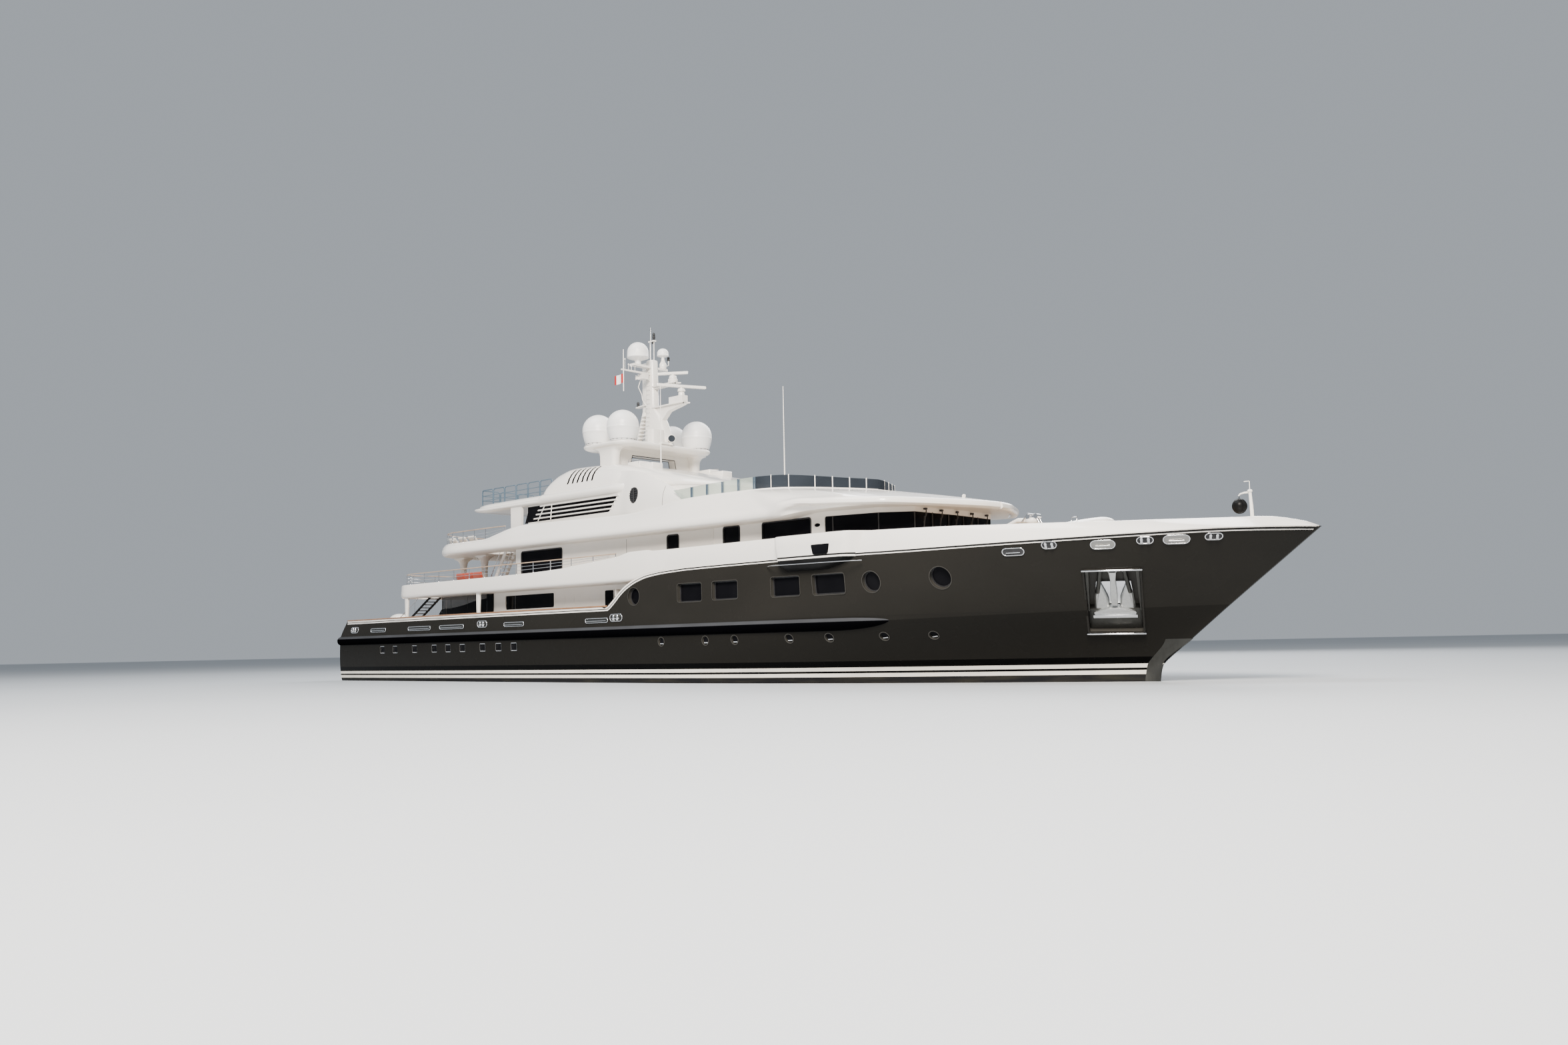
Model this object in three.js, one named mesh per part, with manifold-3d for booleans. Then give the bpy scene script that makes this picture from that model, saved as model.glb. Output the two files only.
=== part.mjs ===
// A six-deck motor yacht afloat: decked hull, three tiers of deckhouse, arch, mast and running gear.
// Every size below is in metres of the full-size ship, and the group is scaled to model millimetres.
// +X is the bow, +Y port, +Z up; the origin is amidships on the centreline at the waterline.
import * as THREE from 'three';
import { mergeVertices } from 'three/addons/utils/BufferGeometryUtils.js';
import Module from 'manifold-3d';

const wasm = await Module();
wasm.setup();

// Scale 1:2, so one metre of the ship is 500 mm of the model
const MM_PER_METRE = 500;
// Gap kept between pieces that touch, 0.5 mm on the model
const GAP = 0.001;
// Triangles thinner than this are merged away after a cut, 0.1 mm on the model
const SLIVER = 0.0002;

// Deck levels
const MAIN_DECK = 3.45;
const UPPER_DECK_UNDER = 5.9;
const UPPER_DECK = 6.25;
const SUN_DECK_UNDER = 8.7;
const SUN_DECK = 9.05;
const ROOF_UNDER = 11.5;
const ROOF_TOP = 12.15;
const PLATFORM_UNDER = 14.75;
const PLATFORM_TOP = 15.12;

// Hull
const DRAFT = 4.25;
const STERN_X = -35.85;
const STEM_X = 35.85;
const AFT_SHEER = 4.48;
const STEM_HALF = 0.06;
const KEEL_HALF = 0.35;
const TRANSOM_DEPTH = 0.75;
const WELL_FORE = -3.3;
const WELL_AFT = -33.9;
const BULWARK_THICK = 0.42;

// Running gear
const SHAFT_Y = 2.6;
const SHAFT_SLOPE = THREE.MathUtils.degToRad(3);
const PROP_X = -28.2;
const PROP_Z = -3.12;
const PROP_RADIUS = 1.02;
const RUDDER_X = -31.2;

// Colours
const WHITE = 0xf3ece2;
const HULL_BLACK = 0x26231f;
const GLASS = 0x0e1114;
const STEEL = 0xb9bbbd;
const BRONZE = 0xa8793f;

const group = new THREE.Group();
group.scale.setScalar(MM_PER_METRE);

function toSolid(geometry) {
  const bare = geometry.clone();
  bare.deleteAttribute('normal');
  bare.deleteAttribute('uv');
  const merged = mergeVertices(bare, 1e-5);
  const mesh = new wasm.Mesh({
    numProp: 3,
    vertProperties: merged.attributes.position.array,
    triVerts: new Uint32Array(merged.index.array),
  });
  return new wasm.Manifold(mesh);
}

function toGeometry(solid) {
  const mesh = solid.simplify(SLIVER).getMesh();
  const geometry = new THREE.BufferGeometry();
  geometry.setAttribute('position', new THREE.BufferAttribute(new Float32Array(mesh.vertProperties), 3));
  geometry.setIndex(new THREE.BufferAttribute(new Uint32Array(mesh.triVerts), 1));
  return geometry;
}

function join(...geometries) {
  return toGeometry(geometries.map(toSolid).reduce((whole, next) => whole.add(next)));
}

function cut(base, ...tools) {
  return toGeometry(tools.map(toSolid).reduce((whole, next) => whole.subtract(next), toSolid(base)));
}

// The biggest of the separate bodies that a cut leaves
function largest(geometry) {
  const bodies = toSolid(geometry).decompose();
  return toGeometry(bodies.reduce((best, next) => (next.volume() > best.volume() ? next : best)));
}

function shifted(geometry, x, y, z) {
  return geometry.clone().translate(x, y, z);
}

// Copies moved by the gap up, down and to both sides, for cutting a neighbour clear
function around(geometry) {
  return [[0, -GAP], [0, GAP], [-GAP, 0], [GAP, 0]].map(([y, z]) => shifted(geometry, 0, y, z));
}

// Mirror image across the centreline, with the triangles turned to keep facing out
function mirrored(geometry) {
  const solid = toSolid(geometry).mirror([0, 1, 0]);
  return toGeometry(solid);
}

function box(x0, x1, y0, y1, z0, z1) {
  const size = [x1 - x0, y1 - y0, z1 - z0];
  return new THREE.BoxGeometry(...size).translate((x0 + x1) / 2, (y0 + y1) / 2, (z0 + z1) / 2);
}

function outlineShape(points) {
  return new THREE.Shape(points.map(([u, v]) => new THREE.Vector2(u, v)));
}

// Plan outline, points of x and y, raised from z0 to z1
function planPrism(points, z0, z1) {
  const options = { depth: z1 - z0, bevelEnabled: false, curveSegments: 6 };
  return new THREE.ExtrudeGeometry(outlineShape(points), options).translate(0, 0, z0);
}

// Side outline, points of x and z, carried across the ship from y0 to y1
function sidePrism(points, y0, y1) {
  const options = { depth: y1 - y0, bevelEnabled: false, curveSegments: 6 };
  return new THREE.ExtrudeGeometry(outlineShape(points), options).rotateX(Math.PI / 2).translate(0, y1, 0);
}

// Closed plan outline from its port half, listed from aft to fore as x and half-breadth
function fullOutline(half) {
  const port = half.filter(([, b]) => b > 0).reverse();
  const starboard = half.map(([x, b]) => [x, -b]);
  return [...starboard, ...port];
}

// Round bar between two points
function rod(a, b, radius, sides = 8) {
  const from = new THREE.Vector3(...a);
  const along = new THREE.Vector3(...b).sub(from);
  const turn = new THREE.Quaternion().setFromUnitVectors(new THREE.Vector3(0, 1, 0), along.clone().normalize());
  const bar = new THREE.CylinderGeometry(radius, radius, along.length(), sides);
  return bar.applyQuaternion(turn).translate(...from.addScaledVector(along, 0.5).toArray());
}

// Body made of cross-sections: each row holds one side's points, low to high, with y to port.
// The starboard side mirrors them, and the strips across close the bottom, top and both ends.
function shipLoft(rows) {
  const count = rows[0].length;
  const positions = [];
  for (const side of [1, -1]) {
    for (const row of rows) {
      for (const [x, y, z] of row) positions.push(x, side * y, z);
    }
  }
  const port = (i, j) => i * count + j;
  const starboard = (i, j) => (rows.length + i) * count + j;
  const index = [];
  const quad = (a, b, c, d) => index.push(a, b, c, a, c, d);
  for (let i = 0; i < rows.length - 1; i += 1) {
    for (let j = 0; j < count - 1; j += 1) {
      quad(port(i, j), port(i, j + 1), port(i + 1, j + 1), port(i + 1, j));
      quad(starboard(i, j), starboard(i + 1, j), starboard(i + 1, j + 1), starboard(i, j + 1));
    }
    quad(port(i, 0), port(i + 1, 0), starboard(i + 1, 0), starboard(i, 0));
    const top = count - 1;
    quad(port(i, top), starboard(i, top), starboard(i + 1, top), port(i + 1, top));
  }
  const last = rows.length - 1;
  for (let j = 0; j < count - 1; j += 1) {
    quad(port(0, j), starboard(0, j), starboard(0, j + 1), port(0, j + 1));
    quad(port(last, j), port(last, j + 1), starboard(last, j + 1), starboard(last, j));
  }
  const geometry = new THREE.BufferGeometry();
  geometry.setAttribute('position', new THREE.Float32BufferAttribute(positions, 3));
  geometry.setIndex(index);
  return geometry;
}

// Body lofted through closed rings of the same number of points
function ringLoft(rings) {
  const n = rings[0].length;
  const positions = rings.flat(2);
  const index = [];
  for (let r = 0; r < rings.length - 1; r += 1) {
    for (let i = 0; i < n; i += 1) {
      const a = r * n + i;
      const b = r * n + ((i + 1) % n);
      index.push(a, a + n, b + n, a, b + n, b);
    }
  }
  for (let i = 1; i < n - 1; i += 1) {
    index.push(0, i, i + 1);
    const t = (rings.length - 1) * n;
    index.push(t, t + i + 1, t + i);
  }
  const geometry = new THREE.BufferGeometry();
  geometry.setAttribute('position', new THREE.Float32BufferAttribute(positions, 3));
  geometry.setIndex(index);
  return geometry;
}

// Value at x on a line through listed points
function lerpTable(table, x) {
  if (x <= table[0][0]) return table[0][1];
  for (let i = 1; i < table.length; i += 1) {
    const [x0, v0] = table[i - 1];
    const [x1, v1] = table[i];
    if (x <= x1) return v0 + ((v1 - v0) * (x - x0)) / (x1 - x0);
  }
  return table[table.length - 1][1];
}

function addNode(name, geometry, color, roughness, metalness) {
  const material = new THREE.MeshStandardMaterial({ color, roughness, metalness });
  const mesh = new THREE.Mesh(geometry, material);
  mesh.name = name;
  group.add(mesh);
  return mesh;
}
const addPaint = (name, geometry, color = WHITE) => addNode(name, geometry, color, 0.3, 0);
const addSteel = (name, geometry) => addNode(name, geometry, STEEL, 0.25, 1);

// Hull
// Sheer line, x and height: level aft, an S up to the upper deck, then a slow rise to the bow
const SHEER = [
  [-34.8, AFT_SHEER], [-3.2, AFT_SHEER], [-2.67, 4.86], [-2.08, 5.32], [-1.5, 5.67],
  [-0.6, 6.02], [0.5, 6.2], [2.0, UPPER_DECK], [15, 6.35], [25, 6.5], [30, 6.57], [35.85, 6.5],
];
// Stations along the sheer, where the sections stand
const STATIONS = [
  -34.8, -33, -30, -25, -20, -14, -8, -3.2, -2.67, -2.08, -1.5, -0.6, 0.5, 2, 6, 10, 14, 18, 21, 24,
  26.5, 28.8, 31, 32.8, 34.2, 35.2, 35.85,
];
// Lines from keel to sheer. depth: share of the keel's depth, or z: a level above water.
// aft, fore: ends in x; half: half-breadth amidships; stern: half-breadth at the transom;
// entry: length of the bow's taper; full, lift: fullness of that taper.
const LINES = [
  { depth: 1.0, aft: STERN_X, fore: 23.6, half: KEEL_HALF, stern: KEEL_HALF, entry: 8, full: 2, lift: 1 },
  { depth: 0.93, aft: STERN_X, fore: 25.4, half: 3.3, stern: 2.4, entry: 26, full: 1.6, lift: 1.25 },
  { depth: 0.8, aft: STERN_X, fore: 26.6, half: 5.0, stern: 3.9, entry: 27, full: 1.6, lift: 1.2 },
  { depth: 0.55, aft: STERN_X, fore: 27.6, half: 6.1, stern: 5.0, entry: 28, full: 1.6, lift: 1.15 },
  { depth: 0.25, aft: STERN_X, fore: 28.1, half: 6.5, stern: 5.75, entry: 28, full: 1.7, lift: 1.1 },
  { z: 0, aft: STERN_X, fore: 28.15, half: 6.62, stern: 6.15, entry: 28, full: 1.8, lift: 1.1 },
  { z: 0.72, aft: -35.84, fore: 28.3, half: 6.7, stern: 6.3, entry: 27.5, full: 1.85, lift: 1.07 },
  { z: 1.9, aft: -35.75, fore: 29.75, half: 6.8, stern: 6.42, entry: 26.5, full: 2.0, lift: 1.0 },
  { z: 3.25, aft: -35.6, fore: 31.45, half: 6.88, stern: 6.48, entry: 25, full: 2.3, lift: 0.92 },
  { z: 3.75, aft: -35.35, fore: 32.1, half: 6.9, stern: 6.4, entry: 24.5, full: 2.35, lift: 0.9 },
  { sheer: true, aft: -34.8, fore: STEM_X, half: 6.95, stern: 6.3, entry: 22, full: 2.6, lift: 0.8 },
];
const TAPER_AFT_FROM = -12;

function keelZ(x) {
  const rise = THREE.MathUtils.clamp(-x / -STERN_X, 0, 1);
  return -DRAFT + (DRAFT - TRANSOM_DEPTH) * rise ** 1.5;
}

function halfBreadth(line, x) {
  const toStem = THREE.MathUtils.clamp((line.fore - x) / line.entry, 0, 1);
  const bow = (1 - (1 - toStem) ** line.full) ** line.lift;
  const aft = THREE.MathUtils.clamp((TAPER_AFT_FROM - x) / (TAPER_AFT_FROM - STERN_X), 0, 1);
  const middle = line.half + (line.stern - line.half) * aft ** 1.8;
  return Math.max(STEM_HALF, middle * bow);
}

const SHEER_LINE = LINES[LINES.length - 1];
const sheerHalf = (x) => halfBreadth(SHEER_LINE, x);
const sheerZ = (x) => lerpTable(SHEER, x);

function hullRow(station) {
  const share = (station - SHEER_LINE.aft) / (SHEER_LINE.fore - SHEER_LINE.aft);
  return LINES.map((line) => {
    const x = line.aft + (line.fore - line.aft) * share;
    let z = line.z;
    if (line.sheer) z = sheerZ(x);
    if (line.depth) z = keelZ(x) * line.depth;
    return [x, halfBreadth(line, x), z];
  });
}

// Outer form of the hull, before its well, recesses and bores are cut
const hullForm = shipLoft(STATIONS.map(hullRow));

function hullGeometry() {
  const wellStations = [WELL_AFT, -30, -25, -20, -14, -8, WELL_FORE];
  const well = shipLoft(wellStations.map((x) => {
    const b = sheerHalf(x) - BULWARK_THICK;
    return [[x, b, MAIN_DECK], [x, b, 7]];
  }));
  const skeg = sidePrism([[-9, -3.2], [-9, -4.2], [-29.5, -4.0], [-30.6, -1.2]], -0.12, 0.12);
  const bulb = new THREE.SphereGeometry(1, 20, 12).scale(5.2, 1.0, 1.15).translate(25.6, 0, -2.65);
  let hull = join(hullForm, skeg, bulb);
  const tools = [well, rod([22.2, -5, -1.9], [22.2, 5, -1.9], 0.55, 16)];
  for (const side of [1, -1]) {
    const y = side * SHAFT_Y;
    tools.push(rod([RUDDER_X, y, -3], [RUDDER_X, y, 1.2], 0.26, 16));
    tools.push(rod([-24, y, shaftZ(-24)], [-12, y, shaftZ(-12)], 0.2, 16));
  }
  hull = cut(hull, ...tools);
  return hull;
}

// Height of the propeller shaft's axis at x
function shaftZ(x) {
  return PROP_Z + (x - PROP_X) * Math.tan(SHAFT_SLOPE);
}

// Anchor pockets in the flare of the bow, at the middle of the opening; u runs aft, v up, n out of the hull
const POCKET = { x: 27.5, y: 2.8, z: 3.68, wide: 2.4, tall: 3.6, deep: 0.6 };
const pocketOut = new THREE.Vector3(0.31, 0.688, -0.653);
const pocketAft = new THREE.Vector3(-0.908, 0.419, 0.01);
const pocketUp = new THREE.Vector3().crossVectors(pocketOut, pocketAft).normalize();
pocketAft.crossVectors(pocketUp, pocketOut).normalize();
const pocketPlace = new THREE.Matrix4().makeBasis(pocketAft, pocketUp, pocketOut.normalize());
pocketPlace.setPosition(POCKET.x, POCKET.y, POCKET.z);
const pocketHole = box(-POCKET.wide / 2, POCKET.wide / 2, -POCKET.tall / 2, POCKET.tall / 2, -POCKET.deep, 2);
pocketHole.applyMatrix4(pocketPlace);

const TRANSOM_DOOR = { half: 2.6, z0: 1.0, z1: 3.1, thick: 0.22 };
const doorRecess = box(STERN_X - 0.3, -34.9, -TRANSOM_DOOR.half - 0.03, TRANSOM_DOOR.half + 0.03, 0.97, 3.13);
const SIDE_DOOR = { y0: 5.4, y1: 6.15, z1: 5.55, thick: 0.09 };
const hull = cut(hullGeometry(), doorRecess, pocketHole, mirrored(pocketHole));
addPaint('hull', hull, HULL_BLACK);
const door = box(-35.5, -35.5 + TRANSOM_DOOR.thick, -TRANSOM_DOOR.half, TRANSOM_DOOR.half, 1.0, 3.1);
addPaint('transom_door', door, HULL_BLACK);

// Stowed anchors: shank, crown and two flukes, lying in their pockets
const FLUKE = [[0.2, -1.15], [0.95, -1.0], [0.8, 0.1], [0.55, 0.75], [0.38, 0.1], [0.24, -0.7]];
const ANCHOR_BACK = -POCKET.deep + GAP;
const flukes = [1, -1].map((side) => (
  planPrism(FLUKE.map(([u, v]) => [side * u, v]), ANCHOR_BACK, ANCHOR_BACK + 0.26)
));
const anchor = join(
  box(-0.16, 0.16, -1.2, 1.45, ANCHOR_BACK, ANCHOR_BACK + 0.3),
  box(-1.0, 1.0, -1.45, -0.95, ANCHOR_BACK, ANCHOR_BACK + 0.34), ...flukes,
).applyMatrix4(pocketPlace);
addSteel('anchor_port', anchor);
addSteel('anchor_starboard', mirrored(anchor));

// Rub rails, a strake along each side that stands off the hull by a small gap and fades out forward
const RUB = { level: 3.25, half: 0.3, out: 0.24, standOff: 0.04, tip: 20.8, fade: 3.2 };
const RUB_STATIONS = [-34.8, -33, -30, -25, -20, -14, -8, -3.2, 2, 6, 10, 14, 17.6, 19, 20, 20.5, 20.7];
const BELOW_RUB = LINES.find((line) => line.z === 1.9);
const KNUCKLE_LINE = LINES.find((line) => line.z === RUB.level);
const ABOVE_RUB = LINES.find((line) => line.z === 3.75);
function onSection(station, low, high, z) {
  const share = (station - SHEER_LINE.aft) / (SHEER_LINE.fore - SHEER_LINE.aft);
  const [x0, x1] = [low, high].map((line) => line.aft + (line.fore - line.aft) * share);
  const up = (z - low.z) / (high.z - low.z);
  const [b0, b1] = [halfBreadth(low, x0), halfBreadth(high, x1)];
  return [x0 + (x1 - x0) * up, b0 + (b1 - b0) * up, z];
}
function rubRing(station) {
  const past = THREE.MathUtils.clamp(1 - (RUB.tip - station) / RUB.fade, 0, 1);
  const fade = Math.sqrt(1 - past * past);
  const tall = RUB.half * fade;
  const out = RUB.out * fade;
  const inner = [
    onSection(station, BELOW_RUB, KNUCKLE_LINE, RUB.level - tall),
    onSection(station, BELOW_RUB, KNUCKLE_LINE, RUB.level),
    onSection(station, KNUCKLE_LINE, ABOVE_RUB, RUB.level + tall),
  ].map(([x, b, z]) => [x, b + RUB.standOff, z]);
  const outer = [[inner[2], 0.06 * fade], [inner[1], out], [inner[0], out * 0.9]];
  return [...inner.reverse(), ...outer.reverse().map(([[x, b, z], reach], i) => (
    [x, b + reach, z + (i === 0 ? 0.08 * fade : 0)]
  ))];
}
const railPort = ringLoft(RUB_STATIONS.map((station) => rubRing(station).reverse()));
addPaint('rub_rail_port', railPort, HULL_BLACK);
addPaint('rub_rail_starboard', mirrored(railPort), HULL_BLACK);

// Bow bulwark
// Top edge, x and half-breadth, then x and height
const BULWARK_TOP_HALF = [
  [2, 6.9], [12, 6.85], [17, 6.75], [20.3, 6.45], [24.2, 5.8], [26.4, 5.2], [29.2, 3.9], [31.5, 2.3], [33.1, 0.75],
  [33.5, 0.1],
];
const BULWARK_TOP_Z = [[2, 7.56], [12, 7.6], [20, 7.45], [24.2, 7.3], [29, 7.18], [33.5, 7.2]];
const BULWARK_STATIONS = [2, 6, 10, 14, 18, 21, 24, 26.5, 28.8, 31, 32.8, 34.2, 35.2, 35.8];
function bulwarkRow(x, inset, lift) {
  const topX = 2 + ((x - 2) * 31.5) / 33.8;
  const bottom = Math.max(sheerHalf(x) - inset, 0.03);
  const top = Math.max(lerpTable(BULWARK_TOP_HALF, topX) - inset, 0.03);
  const high = lerpTable(BULWARK_TOP_Z, topX);
  return [[x, bottom, sheerZ(x) + GAP - lift], [topX, top, high + lift]];
}
const bulwarkOuter = shipLoft(BULWARK_STATIONS.map((x) => bulwarkRow(x, 0, 0)));
const innerStations = BULWARK_STATIONS.filter((x) => x < 33);
const bulwarkInner = shipLoft([1, ...innerStations].map((x) => bulwarkRow(x, 0.22, 0.3)));
const bowBulwark = cut(bulwarkOuter, bulwarkInner);
addPaint('bow_bulwark', bowBulwark);

// Upper deck, a slab with its band of bulwark
const UPPER_STATIONS = [-27.3, -27, -26, -22, -18, -12, -8, -6.3, -3.7, -2.4, -1.2, 0.3, 0.74, 2 - GAP];
const UPPER_HALF = [[-27.3, 5.6], [-27, 6.3], [-26, 6.72], [-18, 6.8], [-5, 6.9], [2, 6.93]];
const UPPER_TOP = [
  [-27.3, 6.83], [-26, 6.85], [-18, 6.88], [-12, 6.91], [-8, 7.01], [-6.3, 7.13], [-3.7, 7.31], [-2.4, 7.42],
  [-1.2, 7.63], [0.3, 7.65], [0.74, 7.56], [2, 7.56],
];
const upperOuter = shipLoft(UPPER_STATIONS.map((x) => {
  const b = lerpTable(UPPER_HALF, x);
  return [[x, b - 0.2, UPPER_DECK_UNDER], [x, b, UPPER_DECK_UNDER + 0.2], [x, b - 0.05, lerpTable(UPPER_TOP, x)]];
}));
const upperInner = shipLoft([-27, -26, -18, -5, 3].map((x) => {
  const b = lerpTable(UPPER_HALF, x) - 0.2;
  return [[x, b, UPPER_DECK], [x, b, 8]];
}));
const AFT_STAIR = { x0: -27.05, x1: -23.9, y0: 4.6, y1: 5.55 };
const stairHoles = [1, -1].map((side) => {
  const y0 = side > 0 ? AFT_STAIR.y0 : -AFT_STAIR.y1;
  return box(AFT_STAIR.x0, AFT_STAIR.x1, y0 - 0.05, y0 + 1.0, 5, 7);
});
const upperDeck = cut(upperOuter, upperInner, shifted(hull, 0, 0, GAP), ...stairHoles);
addPaint('upper_deck', upperDeck);

// Deckhouse shell: walls between two levels around a plan outline, with window and door openings
function houseWalls(half, inset, z0, z1, openings, roofed = false) {
  const outer = planPrism(fullOutline(half), z0, z1);
  const innerHalf = half.map(([x, b], i) => {
    const first = half[0][0];
    const last = half[half.length - 1][0];
    const innerX = THREE.MathUtils.clamp(x, first + inset, last - inset);
    return [innerX, Math.max(b - inset, 0)];
  });
  const inner = planPrism(fullOutline(innerHalf), z0 - 1, roofed ? z1 - inset : z1 + 1);
  return cut(outer, inner, ...openings);
}

// Saloon on the main deck
const SALOON = { aft: -18.0, fore: WELL_FORE - 0.02, half: 5.2, wall: 0.16 };
const saloonHalf = [
  [SALOON.aft, 0], [SALOON.aft, 4.4], [-17.8, 4.9], [-17.35, SALOON.half], [SALOON.fore, SALOON.half], [SALOON.fore, 0],
];
const SALOON_DOOR = { half: 1.5, top: 5.6 };
const saloon = houseWalls(saloonHalf, SALOON.wall, MAIN_DECK + GAP, UPPER_DECK_UNDER - GAP, [
  box(-15.9, -10.6, -6, 6, 4.7, 5.62),
  box(-18.4, -17.2, -SALOON_DOOR.half, SALOON_DOOR.half, 3, SALOON_DOOR.top),
], false);
addPaint('saloon', saloon);
for (const [side, name] of [[1, 'port'], [-1, 'starboard']]) {
  const y0 = side > 0 ? 0.03 : -1.62;
  const leaf = box(-17.78, -17.7, y0, y0 + 1.59, MAIN_DECK + 0.03, SALOON_DOOR.top + 0.08);
  addNode(`saloon_door_${name}`, leaf, GLASS, 0.05, 0);
}

// Doors at the fore ends of the side decks
for (const [side, name] of [[1, 'port'], [-1, 'starboard']]) {
  const y0 = side > 0 ? SIDE_DOOR.y0 : -SIDE_DOOR.y1;
  const x1 = WELL_FORE - 0.02;
  const leaf = box(x1 - SIDE_DOOR.thick, x1, y0, y0 + 0.75, MAIN_DECK + 0.1, SIDE_DOOR.z1);
  addPaint(`side_door_${name}`, leaf);
}

// Upper deckhouse with the bridge
const HOUSE = { aft: -15.6, half: 5.25, wall: 0.16 };
const upperHouseHalf = [
  [HOUSE.aft, 0], [HOUSE.aft, 4.2], [-15.3, 4.8], [-14.7, HOUSE.half], [12.4, HOUSE.half], [15.5, 4.6], [17.0, 3.5],
  [17.15, 0],
];
const BRIDGE_SILL = 7.45;
const BRIDGE_HEAD = 8.6;
const UPPER_DOOR = { half: 1.4, top: 8.35 };
const bridgeBand = planPrism([[12.45, -7], [20, -7], [20, 7], [12.45, 7]], BRIDGE_SILL, BRIDGE_HEAD);
const upperHouse = cut(
  houseWalls(upperHouseHalf, HOUSE.wall, UPPER_DECK + GAP, SUN_DECK_UNDER - GAP, [
    box(-14.0, -9.8, -6, 6, 7.06, 8.35),
    box(0.5, 1.3, -6, 6, 7.35, 8.45),
    box(5.1, 6.2, -6, 6, 7.5, 8.6),
    box(8.1, 11.4, -6, 6, 7.5, 8.6),
    box(HOUSE.aft - 0.5, HOUSE.aft + 0.5, -UPPER_DOOR.half, UPPER_DOOR.half, 6, UPPER_DOOR.top),
    bridgeBand,
  ]),
  shifted(hull, 0, 0, GAP),
);
addPaint('upper_deckhouse', upperHouse);
const bandOuter = upperHouseHalf.map(([x, b]) => [x - 0.04, Math.max(b - 0.05, 0)]);
const bandInner = upperHouseHalf.map(([x, b]) => [x - 0.1, Math.max(b - 0.11, 0)]);
const bridgeGlass = cut(
  planPrism(fullOutline(bandOuter), BRIDGE_SILL + 0.01, BRIDGE_HEAD - 0.01),
  planPrism(fullOutline(bandInner), 7, 9),
  box(-20, 12.47, -7, 7, 7, 9),
);
addNode('bridge_windows', bridgeGlass, GLASS, 0.05, 0);
for (const [side, name] of [[1, 'port'], [-1, 'starboard']]) {
  const y0 = side > 0 ? 0.03 : -1.52;
  const x0 = HOUSE.aft + 0.22;
  const leaf = box(x0, x0 + 0.08, y0, y0 + 1.49, UPPER_DECK + 0.03, UPPER_DOOR.top + 0.08);
  addNode(`upper_door_${name}`, leaf, GLASS, 0.05, 0);
}

// Sun deck: slab, leaning coaming, and the brow that runs out over the bridge
const SUN_LOW_HALF = [
  [-24.3, 2.2], [-24, 3.9], [-23.3, 5.2], [-22.4, 6.0], [-21.2, 6.4], [-20, 6.5], [7, 6.5], [9.5, 6.65], [11, 6.9],
  [14.3, 6.9], [16.8, 6.15], [18.1, 4.6], [19.2, 2.5], [19.75, 1.2], [19.95, 0.1],
];
const SUN_TOP_HALF = [
  [-24.15, 2.1], [-23.85, 3.8], [-23.15, 5.05], [-22.3, 5.8], [-21.1, 6.15], [-17, 6.2], [-14, 6.1], [-12, 5.9],
  [0, 5.8], [2, 5.83], [5, 5.7], [7.5, 5.55], [8.8, 5.2], [9.6, 4.6], [10.4, 3.6], [10.9, 2.7], [11.4, 1.7],
  [11.8, 0.8], [12, 0.1],
];
const SUN_TOP_Z = [
  [-24.2, 9.5], [-17, 9.53], [-15.7, 9.75], [-14, 10.07], [-12.5, 10.2], [-3, 10.05], [0, 10.25], [2.2, 10.5],
  [5, 10.56], [12, 10.56],
];
// Pairs of x on the lower edge and on the top edge
const SUN_PAIRS = [
  [-24.3, -24.15], [-24, -23.85], [-23.3, -23.15], [-22.4, -22.3], [-20.6, -20.6], [-17, -17], [-15.7, -15.7],
  [-14, -14], [-12.5, -12.5], [-3, -3], [0, 0], [2.2, 2.2], [7, 5], [9.5, 6.8], [11, 7.7], [13, 8.8], [14.8, 9.6],
  [16.8, 10.4], [18.1, 10.9], [19.2, 11.4], [19.75, 11.8], [19.95, 12],
];
const sunOuter = shipLoft(SUN_PAIRS.map(([x, topX]) => {
  const b = lerpTable(SUN_LOW_HALF, x);
  const edge = x > 14 ? 8.75 + (0.25 * (19.95 - x)) / 5.95 : 8.95;
  return [
    [x - (x > 14 ? 0.35 : 0), Math.max(b - 0.3, 0.05), Math.min(SUN_DECK_UNDER, edge - 0.12)],
    [x, b, edge],
    [x, Math.max(b - 0.05, 0.05), edge + 0.2],
    [topX, lerpTable(SUN_TOP_HALF, topX), lerpTable(SUN_TOP_Z, topX)],
  ];
}));
const sunInner = shipLoft([-23.8, -23.15, -22.3, -21.1, -17, -14, -12, 0, 2, 5, 7.5, 8.8, 9.6, 10.4, 10.9, 11.3].map((x) => {
  const b = lerpTable(SUN_TOP_HALF, x) - 0.25;
  return [[x, b, SUN_DECK], [x, b, 11]];
}));
const SUN_STAIR = { x0: -18.6, x1: -16.1, y0: 3.9, y1: 4.8 };
const sunStairHoles = [1, -1].map((side) => {
  const y0 = side > 0 ? SUN_STAIR.y0 : -SUN_STAIR.y1;
  return box(SUN_STAIR.x0, SUN_STAIR.x1, y0 - 0.1, y0 + 1.0, 8, 9.5);
});
const sunDeck = cut(sunOuter, sunInner, ...sunStairHoles);
addPaint('sun_deck', sunDeck);

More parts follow.
